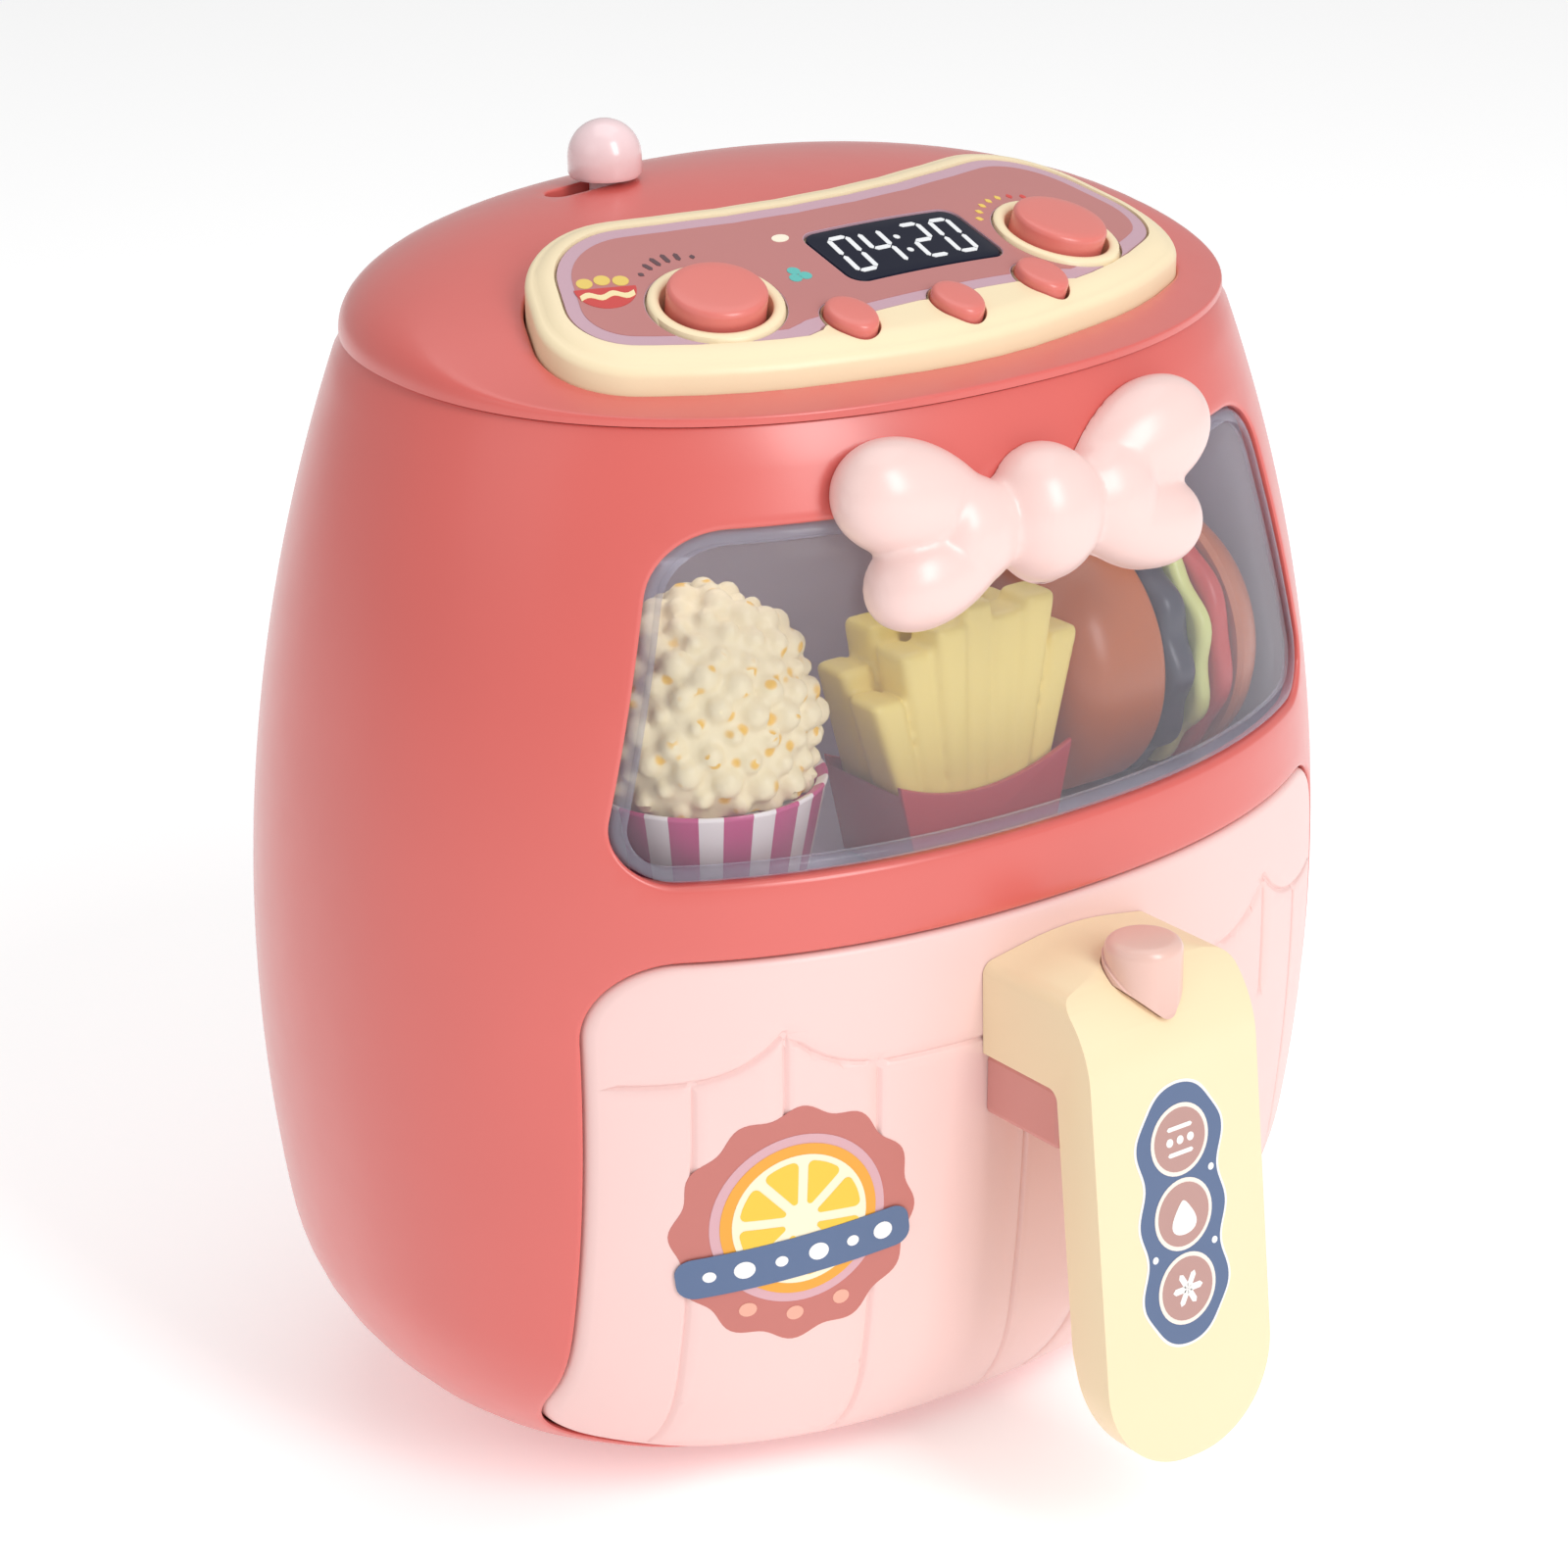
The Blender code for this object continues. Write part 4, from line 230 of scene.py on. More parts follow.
def rounded(corners, step_deg=6):
    """Points of an outline from its corners (across, along, radius), each round stretch as an arc."""
    points = []
    for n, (across, along, radius) in enumerate(corners):
        here = Vector((across, along))
        before = (Vector(corners[n - 1][:2]) - here).normalized()
        after = (Vector(corners[(n + 1) % len(corners)][:2]) - here).normalized()
        if radius == 0:
            points.append(here)
            continue
        half = before.angle(after) / 2
        centre = here + (before + after).normalized() * radius / math.sin(half)
        first = here + before * radius / math.tan(half) - centre
        sweep = math.pi - 2 * half
        steps = max(2, math.ceil(math.degrees(sweep) / step_deg))
        side = 1 if before.cross(after) < 0 else -1
        points += [centre + Matrix.Rotation(side * sweep * k / steps, 2) @ first for k in range(steps + 1)]
    return points


def both_sides(half):
    return half + [(-across, along, radius) for across, along, radius in reversed(half) if across > 0]


def spaced(points, step=0.0022):
    """The same outline with its long straight stretches divided, so that it can follow a curved wall."""
    dense = []
    for here, ahead in zip(points, points[1:] + points[:1]):
        count = max(1, math.ceil((ahead - here).length / step))
        dense += [here.lerp(ahead, k / count) for k in range(count)]
    return dense


def grown(points, amount):
    """An outline moved out by an amount, or in by a negative one."""
    side = 1 if sum(a.cross(b) for a, b in zip(points, points[1:] + points[:1])) > 0 else -1
    moved = []
    for n, here in enumerate(points):
        edges = ((here - points[n - 1]).normalized(), (points[(n + 1) % len(points)] - here).normalized())
        normals = [Vector((edge.y, -edge.x)) * side for edge in edges]
        moved.append(here + (normals[0] + normals[1]) * amount / (1 + normals[0].dot(normals[1])))
    return moved


def plate_outline(low, high, radius, step_deg=6):
    """A rectangle with round corners, between its lowest and highest corner."""
    corners = (high, (high[0], low[1]), low, (low[0], high[1]))
    return rounded([(*corner, radius) for corner in corners], step_deg)


def round_over(edge, steps=4):
    """A rounded edge's profile as (distance in from the outline, depth), from the face to the side wall."""
    turns = [math.pi / 2 * k / steps for k in range(steps + 1)]
    return [(edge * (1 - math.sin(turn)), edge * (1 - math.cos(turn))) for turn in turns]


def line_distance(lines, spots):
    """How far each spot lies from the nearest of several outlines."""
    points = np.array([tuple(spot) for spot in spots])
    gap = np.full(len(points), np.inf)
    for line in lines:
        start = np.array([tuple(point) for point in line])
        run = np.roll(start, -1, 0) - start
        off = points[:, None, :] - start
        share = np.clip((off * run).sum(2) / np.maximum((run * run).sum(1), TINY), 0, 1)
        gap = np.minimum(gap, np.linalg.norm(off - share[..., None] * run, axis=2).min(1))
    return gap


def within(loops, places, margin=0):
    """Which places lie inside the loops' outline and farther than the margin from the loops themselves."""
    points = np.array([tuple(place) for place in places])
    crossings = np.zeros(len(points), int)
    for loop in loops:
        start = np.array([tuple(point) for point in loop])
        run = np.roll(start, -1, 0) - start
        rise = np.where(run[:, 1] == 0, TINY, run[:, 1])
        above = start[:, 1] > points[:, None, 1]
        reach = start[:, 0] + run[:, 0] * (points[:, None, 1] - start[:, 1]) / rise
        crossings += ((above != np.roll(above, -1, 1)) & (points[:, None, 0] < reach)).sum(1)
    return (crossings % 2 == 1) & (line_distance(loops, places) > margin)


def linked(loops):
    """The points of several closed loops in one list, and the links along each loop."""
    points = []
    links = []
    for loop in loops:
        start = len(points)
        points += loop
        links += [(start + n, start + (n + 1) % len(loop)) for n in range(len(loop))]
    return points, links


def middles(triangles, spots):
    return [sum((spots[n] for n in triangle), Vector((0, 0))) / len(triangle) for triangle in triangles]


def moulding(rims, lattice, place, wall, profile, margin=0.0008, unwalled=None, creases=()):
    """A moulded wall. Each rim is a function of (growth, depth) that gives its points, a side, which is -1
    for an outline and 1 for a hole, and sometimes a share by which the edge profile is made smaller there.
    place turns two flat coordinates and a depth into a point. The faces follow the creases, which are closed
    lines."""
    inner, face_depth = profile[0]
    rims = [(rim, side, *(shares or [1])) for rim, side, *shares in rims]
    loops = [rim(side * inner * share, face_depth) for rim, side, share in rims]
    flat, links = linked(loops)
    for crease in creases:
        lattice = [spot for spot, gap in zip(lattice, line_distance([crease], lattice)) if gap > margin]
        numbers = {}
        for n, kept in enumerate(within(loops, crease, margin)):
            if kept:
                numbers[n] = len(flat)
                flat.append(crease[n])
        ahead = {n: (n + 1) % len(crease) for n in numbers}
        links += [(numbers[n], numbers[m]) for n, m in ahead.items() if m in numbers]
    if lattice:
        flat += [spot for spot, inside in zip(lattice, within(loops, lattice, margin)) if inside]
    spots, _, triangles, sources, _, _ = delaunay_2d_cdt(flat, links, [], 0, ONE_POINT)
    inside = within(loops, middles(triangles, spots), 2 * WELD)
    triangles = [triangle for triangle, kept in zip(triangles, inside) if kept]
    found = {old: new for new, olds in enumerate(sources) for old in olds}
    bm = bmesh.new()
    face = [bm.verts.new(place(*spot, face_depth)) for spot in spots]
    back_spots = list(spots)
    start = 0
    rings = []
    for (rim, side, share), loop in zip(rims, loops):
        numbers = [found[start + n] for n in range(len(loop))]
        start += len(loop)
        for number, point in zip(numbers, rim(0, wall)):
            back_spots[number] = point
        ring = [face[number] for number in numbers]
        rings.append((numbers, loop, ring))
        for offset, depth in profile[1:]:
            points = rim(side * offset * share, depth * share)
            outer = [bm.verts.new(place(*point, depth * share)) for point in points]
            for n in range(len(outer)):
                m = (n + 1) % len(outer)
                if unwalled is None or not unwalled(loop[n], loop[m]):
                    bm.faces.new((ring[n], ring[m], outer[m], outer[n]))
            ring = outer
        rings[-1] = (numbers, loop, ring)
    for triangle in triangles:
        bm.faces.new([face[n] for n in triangle])
    back = [bm.verts.new(place(*spot, wall)) for spot in back_spots]
    for triangle in triangles:
        bm.faces.new([back[n] for n in reversed(triangle)])
    for numbers, loop, ring in rings:
        for n in range(len(ring)):
            m = (n + 1) % len(ring)
            if unwalled is None or not unwalled(loop[n], loop[m]):
                bm.faces.new((ring[n], ring[m], back[numbers[m]], back[numbers[n]]))
    bmesh.ops.remove_doubles(bm, verts=bm.verts, dist=WELD)
    return made_of(bm)


def made_of(bm):
    """An object from a finished mesh, with its faces turned outwards."""
    bmesh.ops.recalc_face_normals(bm, faces=bm.faces)
    mesh = bpy.data.meshes.new("piece")
    bm.to_mesh(mesh)
    bm.free()
    obj = bpy.data.objects.new("piece", mesh)
    bpy.context.scene.collection.objects.link(obj)
    return obj


def alone(obj):
    """Makes this the only selected object, as the operators need."""
    bpy.ops.object.select_all(action="DESELECT")
    obj.select_set(True)
    bpy.context.view_layer.objects.active = obj
    return obj


def finished(obj, name, material, body, slot, *nodes):
    """Names a piece, gives it its finish and the body it rides on, and hides the CAD nodes it stands for."""
    alone(obj)
    obj.name = name
    obj.data.name = name
    obj.data.materials.clear()
    obj.data.materials.append(material)
    bpy.ops.object.shade_smooth_by_angle(angle=SMOOTH_ANGLE)
    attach(obj, body)
    if nodes:
        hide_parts(*nodes)
    return obj


def outline_rim(outline):
    """A rim for a plain outline, whatever the depth."""
    return lambda growth, depth: grown(outline, growth)


def wall_rim(outline, side):
    """A rim for an outline drawn on the front or back, laid out on the unrolled wall."""
    return lambda growth, depth: [unrolled(*point, depth, side) for point in grown(outline, growth)]


def lattice(low, high, step):
    """An even field of points between two corners."""
    across, up = (max(2, round((high[n] - low[n]) / step)) for n in (0, 1))
    return [
        Vector((low[0] + (high[0] - low[0]) * i / across, low[1] + (high[1] - low[1]) * j / up))
        for i in range(across + 1)
        for j in range(up + 1)
    ]


def split_height(depth, plane):
    """The lowest height at which the wall reaches back to the split plane."""
    low, high = 0, BODY_WIDEST
    for _ in range(40):
        middle = (low + high) / 2
        low, high = (middle, high) if body_point(middle, 0.25, depth).y < plane else (low, middle)
    return high


def split_line(shares, depth, plane):
    """The split's right-hand side as (girth, height), from its lowest point behind up to the seam."""
    bottom = split_height(depth, plane)
    points = []
    for share in shares:
        height = bottom + (SEAM - bottom) * share
        reach = min(1, plane / half_depth(raised_height(height, depth), depth))
        points.append(Vector((math.asin(reach ** (POWER / 2)) / (2 * math.pi) * GIRTH, height)))
    return points


trial_shares = [n**3 / SPLIT_TRIALS**3 for n in range(SPLIT_TRIALS + 1)]
trial = split_line(trial_shares, 0, REAR_SPLIT)
runs = np.cumsum([0] + [(b - a).length for a, b in zip(trial, trial[1:])])
split_shares = np.interp(np.linspace(0, runs[-1], SPLIT_POINTS), runs, trial_shares)
foot_heights = [FRONT_FOOT * (1 - math.cos(math.radians(FOOT_TURN_DEG * n))) for n in range(FOOT_RINGS)]
barrel_rise = SEAM - foot_heights[-1]
barrel_heights = [foot_heights[-1] + barrel_rise * n / BARREL_STEPS for n in range(1, BARREL_STEPS)]
wall_heights = foot_heights[1:] + barrel_heights
girth_places = [GIRTH * (-0.75 + n / GIRTH_STEPS) for n in range(GIRTH_STEPS + 1)]


def front_outline(growth, depth):
    """The front shell's outer edge on the unrolled wall: foot, split line, seam and split line again."""
    right = split_line(split_shares, depth, REAR_SPLIT)
    left = [Vector((-GIRTH / 2 - point.x, point.y)) for point in reversed(right)]
    top = [right[-1].lerp(left[0], n / GIRTH_STEPS) for n in range(1, GIRTH_STEPS)]
    foot = [Vector((place, 0)) for place in girth_places]
    joint = [Vector((girth_places[-1], right[0].y * n / 3)) for n in (1, 2)]
    other = [Vector((girth_places[0], right[0].y * n / 3)) for n in (2, 1)]
    return foot + joint + right + top + left + other


def barrel_place(along, height, depth):
    """A point of the shell: the seam's edge is rounded over by drawing the wall in just below it."""
    over = height - (SEAM - MOULD_EDGE)
    if over > 0 and depth < WALL / 2:
        depth += MOULD_EDGE - math.sqrt(max(0, MOULD_EDGE**2 - over**2))
    return body_point(height, along / GIRTH, depth)


WINDOW_OUTLINE = spaced(rounded(both_sides([(0.0497, 0.142, 0.0105), (0.0610, 0.0982, 0.0065)])))
DRAWER_OUTLINE = spaced(
    rounded(both_sides([(0.0638, 0.0872, 0.0105), (0.0638, 0.0125, 0.011), (0.038, 0.004, 0.020)]))
)
shell = moulding(
    [
        (front_outline, -1),
        (wall_rim(grown(WINDOW_OUTLINE, GAP), -1), 1),
        (wall_rim(grown(DRAWER_OUTLINE, GAP), -1), 1),
    ],
    [Vector((along, height)) for along in girth_places for height in wall_heights],
    barrel_place,
    WALL,
    round_over(OPENING_EDGE),
    unwalled=lambda *ends: all(abs(abs(end.x + GIRTH / 4) - GIRTH / 2) < 10 * WELD for end in ends),
)
coral = plastic("coral_plastic", (0.69, 0.115, 0.097), roughness=0.42, coat=0.9)
finished(shell, "shell_moulding", coral, "housing", "coral_plastic", "front_shell")

# Rear cover: the coral back of the housing, a second moulding that meets the shell at the split line. It is
# pierced for the speaker's sound, the switch and the battery door, and held by screws sunk in round wells.
DOOR_HALF_WIDTH = 0.0260
DOOR_LOW = 0.0209
DOOR_HIGH = 0.0501
DOOR_ROUND = 0.004
SPEAKER_HEIGHT = 0.112
SLOT_WIDTH = 0.0024
SLOT_PITCH = 0.0052
SLOT_COUNT = 5
SLOT_LENGTH = 0.024
SLOT_SHORTEN = 0.0022
SWITCH_HEIGHT = 0.077
SWITCH_SLOT = (0.0062, 0.0026)
SWITCH_ROUND = 0.0004
FINE_EDGE = 0.0004
ROUND_END_SHARE = 0.98
SCREW_PLACES = ((-0.050, 0.130), (0.050, 0.130), (-0.052, 0.030), (0.052, 0.030))
SCREW_WELL = 0.0032
SCREW_RADIUS = 0.0026
SCREW_SINK = 0.0011
SCREW_HEAD = 0.0014
SCREW_EDGE = 0.0005
CROSS_SIZE = (SCREW_RADIUS * 1.3, 0.0006, 0.0012)
SCREW_TURN = 40


def oblong(x, y, half_length, half_width):
    """A round-ended outline along its first direction."""
    low = (x - half_length, y - half_width)
    high = (x + half_length, y + half_width)
    return plate_outline(low, high, half_width * ROUND_END_SHARE, 15)


def circle(x, y, radius, count=28):
    turns = [2 * math.pi * n / count for n in range(count)]
    return [Vector((x + radius * math.cos(turn), y + radius * math.sin(turn))) for turn in turns]


def rear_outline(growth, depth):
    """The rear cover's outer edge on the unrolled wall, a small gap behind the front shell's."""
    right = split_line(split_shares, depth, REAR_SPLIT + GAP)
    left = [Vector((GIRTH / 2 - point.x, point.y)) for point in reversed(right)]
    top = [right[-1].lerp(left[0], n / 50) for n in range(1, 50)]
    foot = [left[-1].lerp(right[0], n / 4) for n in range(1, 4)]
    return right + top + left + foot


door_corners = ((-DOOR_HALF_WIDTH, DOOR_LOW), (DOOR_HALF_WIDTH, DOOR_HIGH))
DOOR_OUTLINE = spaced(plate_outline(*door_corners, DOOR_ROUND))
rear_holes = [(wall_rim(grown(DOOR_OUTLINE, GAP), 1), 1)]
slot_turn = Matrix(((0, 1), (1, 0)))
for n in range(SLOT_COUNT):
    step = n - (SLOT_COUNT - 1) / 2
    half = SLOT_LENGTH / 2 - SLOT_SHORTEN * abs(step)
    slot_line = oblong(SPEAKER_HEIGHT, SLOT_PITCH * step, half, SLOT_WIDTH / 2)
    rear_holes.append((wall_rim(spaced([slot_turn @ point for point in slot_line]), 1), 1))
slot_low, slot_high = ((side * SWITCH_SLOT[0], SWITCH_HEIGHT + side * SWITCH_SLOT[1]) for side in (-1, 1))
rear_holes.append((wall_rim(spaced(plate_outline(slot_low, slot_high, SWITCH_ROUND, 30)), 1), 1))
rear_holes += [(wall_rim(circle(x, z, SCREW_WELL), 1), 1) for x, z in SCREW_PLACES]
rear = moulding(
    [(rear_outline, -1), *rear_holes],
    [
        Vector((GIRTH * (n / GIRTH_STEPS), height))
        for n in range(GIRTH_STEPS // 2)
        for height in wall_heights
    ],
    barrel_place,
    WALL,
    round_over(FINE_EDGE, 3),
)
finished(rear, "rear_moulding", coral, "housing", "coral_plastic", "rear_cover")

screw_steel, shader, place = shaded("screw_steel")
wired(shader, Base_Color=(0.62, 0.61, 0.60), Metallic=1.0, Roughness=0.30 + place.noise(0.001) * 0.15)


def applied(obj, kind, **settings):
    """Adds a modifier with these settings to an object, and applies it."""
    alone(obj)
    modifier = obj.modifiers.new(kind.lower(), kind)
    for name, setting in settings.items():
        setattr(modifier, name, setting)
    bpy.ops.object.modifier_apply(modifier=modifier.name)
    return obj


def softened(obj, width, segments=4, angle=35):
    """Rounds every edge that turns by more than an angle."""
    turn = math.radians(angle)
    return applied(obj, "BEVEL", width=width, segments=segments, limit_method="ANGLE", angle_limit=turn)


def carved(obj, other, operation):
    """Keeps what two solids share, joins them, or takes the second out of the first."""
    applied(obj, "BOOLEAN", object=other, operation=operation, solver="EXACT")
    bpy.data.objects.remove(other)
    return obj


def screw(x, z, name):
    """A pan-head screw with a crossed slot, seated at the bottom of its well in the back wall."""
    y = depth_at(x, z)
    step = 0.001
    slopes = ((depth_at(x + step, z) - y) / step, (depth_at(x, z + step) - y) / step)
    facing = Vector((-slopes[0], 1, -slopes[1])).normalized()
    bpy.ops.mesh.primitive_cylinder_add(vertices=32, radius=SCREW_RADIUS, depth=SCREW_HEAD)
    head = softened(bpy.context.active_object, SCREW_EDGE, 3, 30)
    for turn in (0, math.pi / 2):
        twist = (0, 0, turn + x * SCREW_TURN)
        bpy.ops.mesh.primitive_cube_add(size=1, location=(0, 0, SCREW_HEAD / 2), rotation=twist)
        slot = bpy.context.active_object
        slot.scale = CROSS_SIZE
        carved(head, slot, "DIFFERENCE")
    turned = facing.to_track_quat("Z", "Y").to_matrix().to_4x4()
    seat = Vector((x, y, z)) - facing * (SCREW_SINK + SCREW_HEAD / 2)
    head.data.transform(Matrix.Translation(seat) @ turned)
    return finished(head, name, screw_steel, "housing", "contact_metal")


for n, (x, z) in enumerate(SCREW_PLACES):
    screw(x, z, f"rear_screw_{n + 1}")

# Battery door: a coral plastic patch of the same wall in the rear cover, moulded with three finger ridges
# along its top. It lies in its opening with a small gap, and one screw at its foot holds it.
RIDGE_PLACES = (0.0432, 0.0452, 0.0472)
RIDGE_HALF_LENGTH = 0.009
RIDGE_RISE = 0.0007
RIDGE_HALF = 0.0008
RIDGE_END = 0.0004
RIDGE_CLEAR = (0.001, 0.002)
DOOR_STEP = 0.0022
DOOR_SCREW = (0, 0.0262)


def rear_place(x, z, depth):
    """A point of the back wall; finger ridges stand out of the battery door's field."""
    if depth == 0 and abs(x) < RIDGE_HALF_LENGTH:
        depth = -RIDGE_RISE * max(0, *(1 - abs(z - ridge) / RIDGE_HALF for ridge in RIDGE_PLACES))
    return Vector((x, depth_at(x, z, depth), z))


plain_side, plain_low = RIDGE_HALF_LENGTH + RIDGE_CLEAR[0], RIDGE_PLACES[0] - RIDGE_CLEAR[1]
door_lattice = lattice(*door_corners, DOOR_STEP)
door_lattice = [spot for spot in door_lattice if abs(spot.x) > plain_side or spot.y < plain_low]
for z in RIDGE_PLACES:
    for rise in (-RIDGE_HALF, -RIDGE_HALF / 2, 0, RIDGE_HALF / 2, RIDGE_HALF):
        door_lattice += [Vector((RIDGE_HALF_LENGTH * n / 10 * 0.999, z + rise)) for n in range(-10, 11)]
        door_lattice += [Vector((side * (RIDGE_HALF_LENGTH + RIDGE_END), z + rise)) for side in (-1, 1)]
door = moulding(
    [(outline_rim(DOOR_OUTLINE), -1), (outline_rim(circle(*DOOR_SCREW, SCREW_WELL)), 1)],
    door_lattice,
    rear_place,
    WALL,
    round_over(FINE_EDGE, 3),
)
finished(door, "battery_door_moulding", coral, "housing", "coral_plastic", "battery_door")
screw(*DOOR_SCREW, "door_screw")

# Lid: a coral dome that flattens towards the front into a deck for the control panel. It closes over the
# seam with a small gap and is pierced by the panel's opening and the knob's slot.
LID_SKIRT = 0.0030
LID_DOME = 0.0179
LID_POWERS = (1.565, 0.439)
DECK_RISE = 0.0054
DECK_SLOPE = 0.263
PANEL_MIDDLE = -0.025
PANEL_MIDDLE_HEIGHT = 0.1659
PANEL_SLOPE = 0.30
PANEL_CROWN = 0.291
DECK_FADE = 0.003
PANEL_STEP = 0.0025
LID_RINGS = (1, 0.9999, 0.9996, 0.999, 0.998, 0.996, 0.993, 0.988, 0.98, 0.97, 0.955, 0.935, 0.91)
LID_TURNS = 180
LID_FIELD = Vector((0.08, 0.06))
LID_FIELD_STEP = 0.0021
LID_FIELD_REACH = 0.895
LID_MARGIN = 0.00001
TONGUE_INSETS = (0.0026, 0.0040)
TONGUE_TOP = 0.0012
KNOB_PLACE = (-0.014, 0.0235)
KNOB_TRAVEL = 0.007
STEM_HALF = (0.0023, 0.0019)
lid_reach = (half_width(SEAM), half_depth(SEAM))
PANEL_OUTLINE = rounded(
    both_sides(
        [
            (0, -0.0055, 0.090),
            (0.042, 0.0055, 0.016),
            (0.0545, -0.0223, 0.0130),
            (0.033, -0.0356, 0.070),
            (0, -0.043, 0.070),
        ]
    )
)
PANEL_OUTLINE = spaced(PANEL_OUTLINE, PANEL_STEP)


def out_share(x, y):
    """How far out a place under the lid lies, from 0 in the middle to 1 at the rim."""
    return ((abs(x) / lid_reach[0]) ** POWER + (abs(y) / lid_reach[1]) ** POWER) ** (1 / POWER)


def lid_height(x, y):
    seam = SEAM + GAP + SEAM_SLOPE * y
    dome = LID_DOME * max(0, 1 - min(1, out_share(x, y)) ** LID_POWERS[0]) ** LID_POWERS[1]
    if dome < GAP / 10:
        return seam
    deck = DECK_RISE + DECK_SLOPE * (y - PANEL_MIDDLE) - x**2 / (2 * PANEL_CROWN)
    deck = (deck + math.hypot(deck, DECK_FADE)) / 2
    return seam + (dome**-4 + deck**-4) ** -0.25


def lid_place(x, y, depth):
    """A point of the lid: near the rim the wall's depth is measured inwards, over the middle downwards."""
    flank = min(1, out_share(x, y)) ** 10
    shrink = 1 - flank * depth / lid_reach[1]
    return Vector((x * shrink, y * shrink, lid_height(x, y) - depth * (1 - flank)))


def lid_rim(growth, depth):
    return [body_point(SEAM, n / LID_TURNS).to_2d() for n in range(LID_TURNS)]


slot_middle = KNOB_PLACE[0] - KNOB_TRAVEL / 2
slot_line = oblong(slot_middle, KNOB_PLACE[1], STEM_HALF[0] + KNOB_TRAVEL / 2 + GAP, STEM_HALF[1] + GAP)
lid_lattice = [point * share for share in LID_RINGS[1:] for point in lid_rim(0, 0)]
lid_lattice += [
    spot for spot in lattice(-LID_FIELD, LID_FIELD, LID_FIELD_STEP) if out_share(*spot) < LID_FIELD_REACH
]
lid = moulding(
    [(lid_rim, -1), (outline_rim(grown(PANEL_OUTLINE, GAP)), 1), (outline_rim(slot_line), 1)],
    lid_lattice,
    lid_place,
    WALL,
    round_over(FINE_EDGE, 3),
    margin=LID_MARGIN,
    creases=[[point * share for point in lid_rim(0, 0)] for share in LID_RINGS[2:-2]],
)
finished(lid, "lid_moulding", coral, "housing", "coral_plastic", "top_cover")


def banded(bm, rings):
    """Joins each ring of points to the next one with a band of faces."""
    for ring, ahead in zip(rings, rings[1:]):
        for n in range(len(ring)):
            m = (n + 1) % len(ring)
            bm.faces.new((ring[n], ring[m], ahead[m], ahead[n]))


bm = bmesh.new()
tongue = []
outer, inner = TONGUE_INSETS
for inset, drop in ((outer, LID_SKIRT), (outer, -TONGUE_TOP), (inner, -TONGUE_TOP), (inner, LID_SKIRT)):
    ring = [body_point(SEAM, n / LID_TURNS, inset) for n in range(LID_TURNS)]
    tongue.append([bm.verts.new(point - Vector((0, 0, drop))) for point in ring])
banded(bm, tongue + tongue[:1])
finished(made_of(bm), "lid_tongue", coral, "housing", "coral_plastic")

# Control panel: a raised cream moulding with a broad rounded edge. Its recess takes the printed sheet,
# round collars take the two big buttons, and a flush island carries the three small ones.
PANEL_DEPTH = 0.0085
PANEL_EDGE = 0.0012
PANEL_SOFTNESS = (0.0036, 0.0009)
PANEL_RIM = 0.0042
RECESS = 0.0010
PANEL_FIELD = ((-0.056, -0.045), (0.056, 0.008))
PANEL_FIELD_STEP = 0.003
PANEL_SLOPE_STEP = 0.0005
STEP_HALF = 0.00008
SHEET_THICKNESS = 0.0005
SHEET_MARGIN = 0.0004
ISLAND_HALF_WIDTH = 0.0212
ISLAND_REAR = -0.0325
ISLAND_ROUND = 0.003
ISLAND_MARGIN = 0.0002
ISLAND_LIFT = 0.0003
DISPLAY_LOW = (-0.0085, -0.0260)
DISPLAY_HIGH = (0.0170, -0.0135)
DISPLAY_ROUND = 0.0022
DISPLAY_SINK = 0.0002
BIG_PLACES = ((-0.0287, -0.0225), (0.0287, -0.0225))
BIG_RADIUS = 0.0066
BIG_RISE = 0.0027
WELL_RADIUS = 0.0074
COLLAR_RADIUS = 0.0090
COLLAR_RISE = 0.0005
COLLAR_FOOT = 0.00002
COLLAR_STEPS = (-STEP_HALF, 0.00003, 0.00015, 0.0004, 0.0007, 0.0010, 0.0013, 0.0015)
ROUND_STEPS = 64
WELL_EDGE_SHARE = 0.05
OVAL_EDGE_SHARE = 0.15
PRINT = 0.00006
SMALL_PLACES = ((-0.0150, -0.0331), (0.0010, -0.0351), (0.0170, -0.0331))
SMALL_HALF = (0.0032, 0.0042)
SMALL_RISE = 0.0015


def panel_height(x, y):
    return PANEL_MIDDLE_HEIGHT + PANEL_SLOPE * (y - PANEL_MIDDLE) - x**2 / (2 * PANEL_CROWN)


def panel_frame(x, y):
    """A frame on the panel's crowned surface with its third axis square to it."""
    normal = Vector((x / PANEL_CROWN, -PANEL_SLOPE, 1)).normalized()
    across = Vector((1, 0, -x / PANEL_CROWN)).normalized()
    turn = Matrix((across, normal.cross(across), normal)).transposed().to_4x4()
    turn.translation = (x, y, panel_height(x, y))
    return turn


def panel_place(x, y, depth):
    return Vector((x, y, panel_height(x, y) - depth))


def oval(place, half, clearance=0, count=40):
    """A button's outline as seen from above the sloping panel."""
    turn = panel_frame(*place)
    across, along = (reach + clearance for reach in half)
    spots = [turn @ Vector((p.x * across, p.y * along, 0)) for p in circle(0, 0, 1, count)]
    return [Vector((spot.x, spot.y)) for spot in spots]


def disc(place, radius, clearance=0):
    return oval(place, (radius, radius), clearance, ROUND_STEPS)


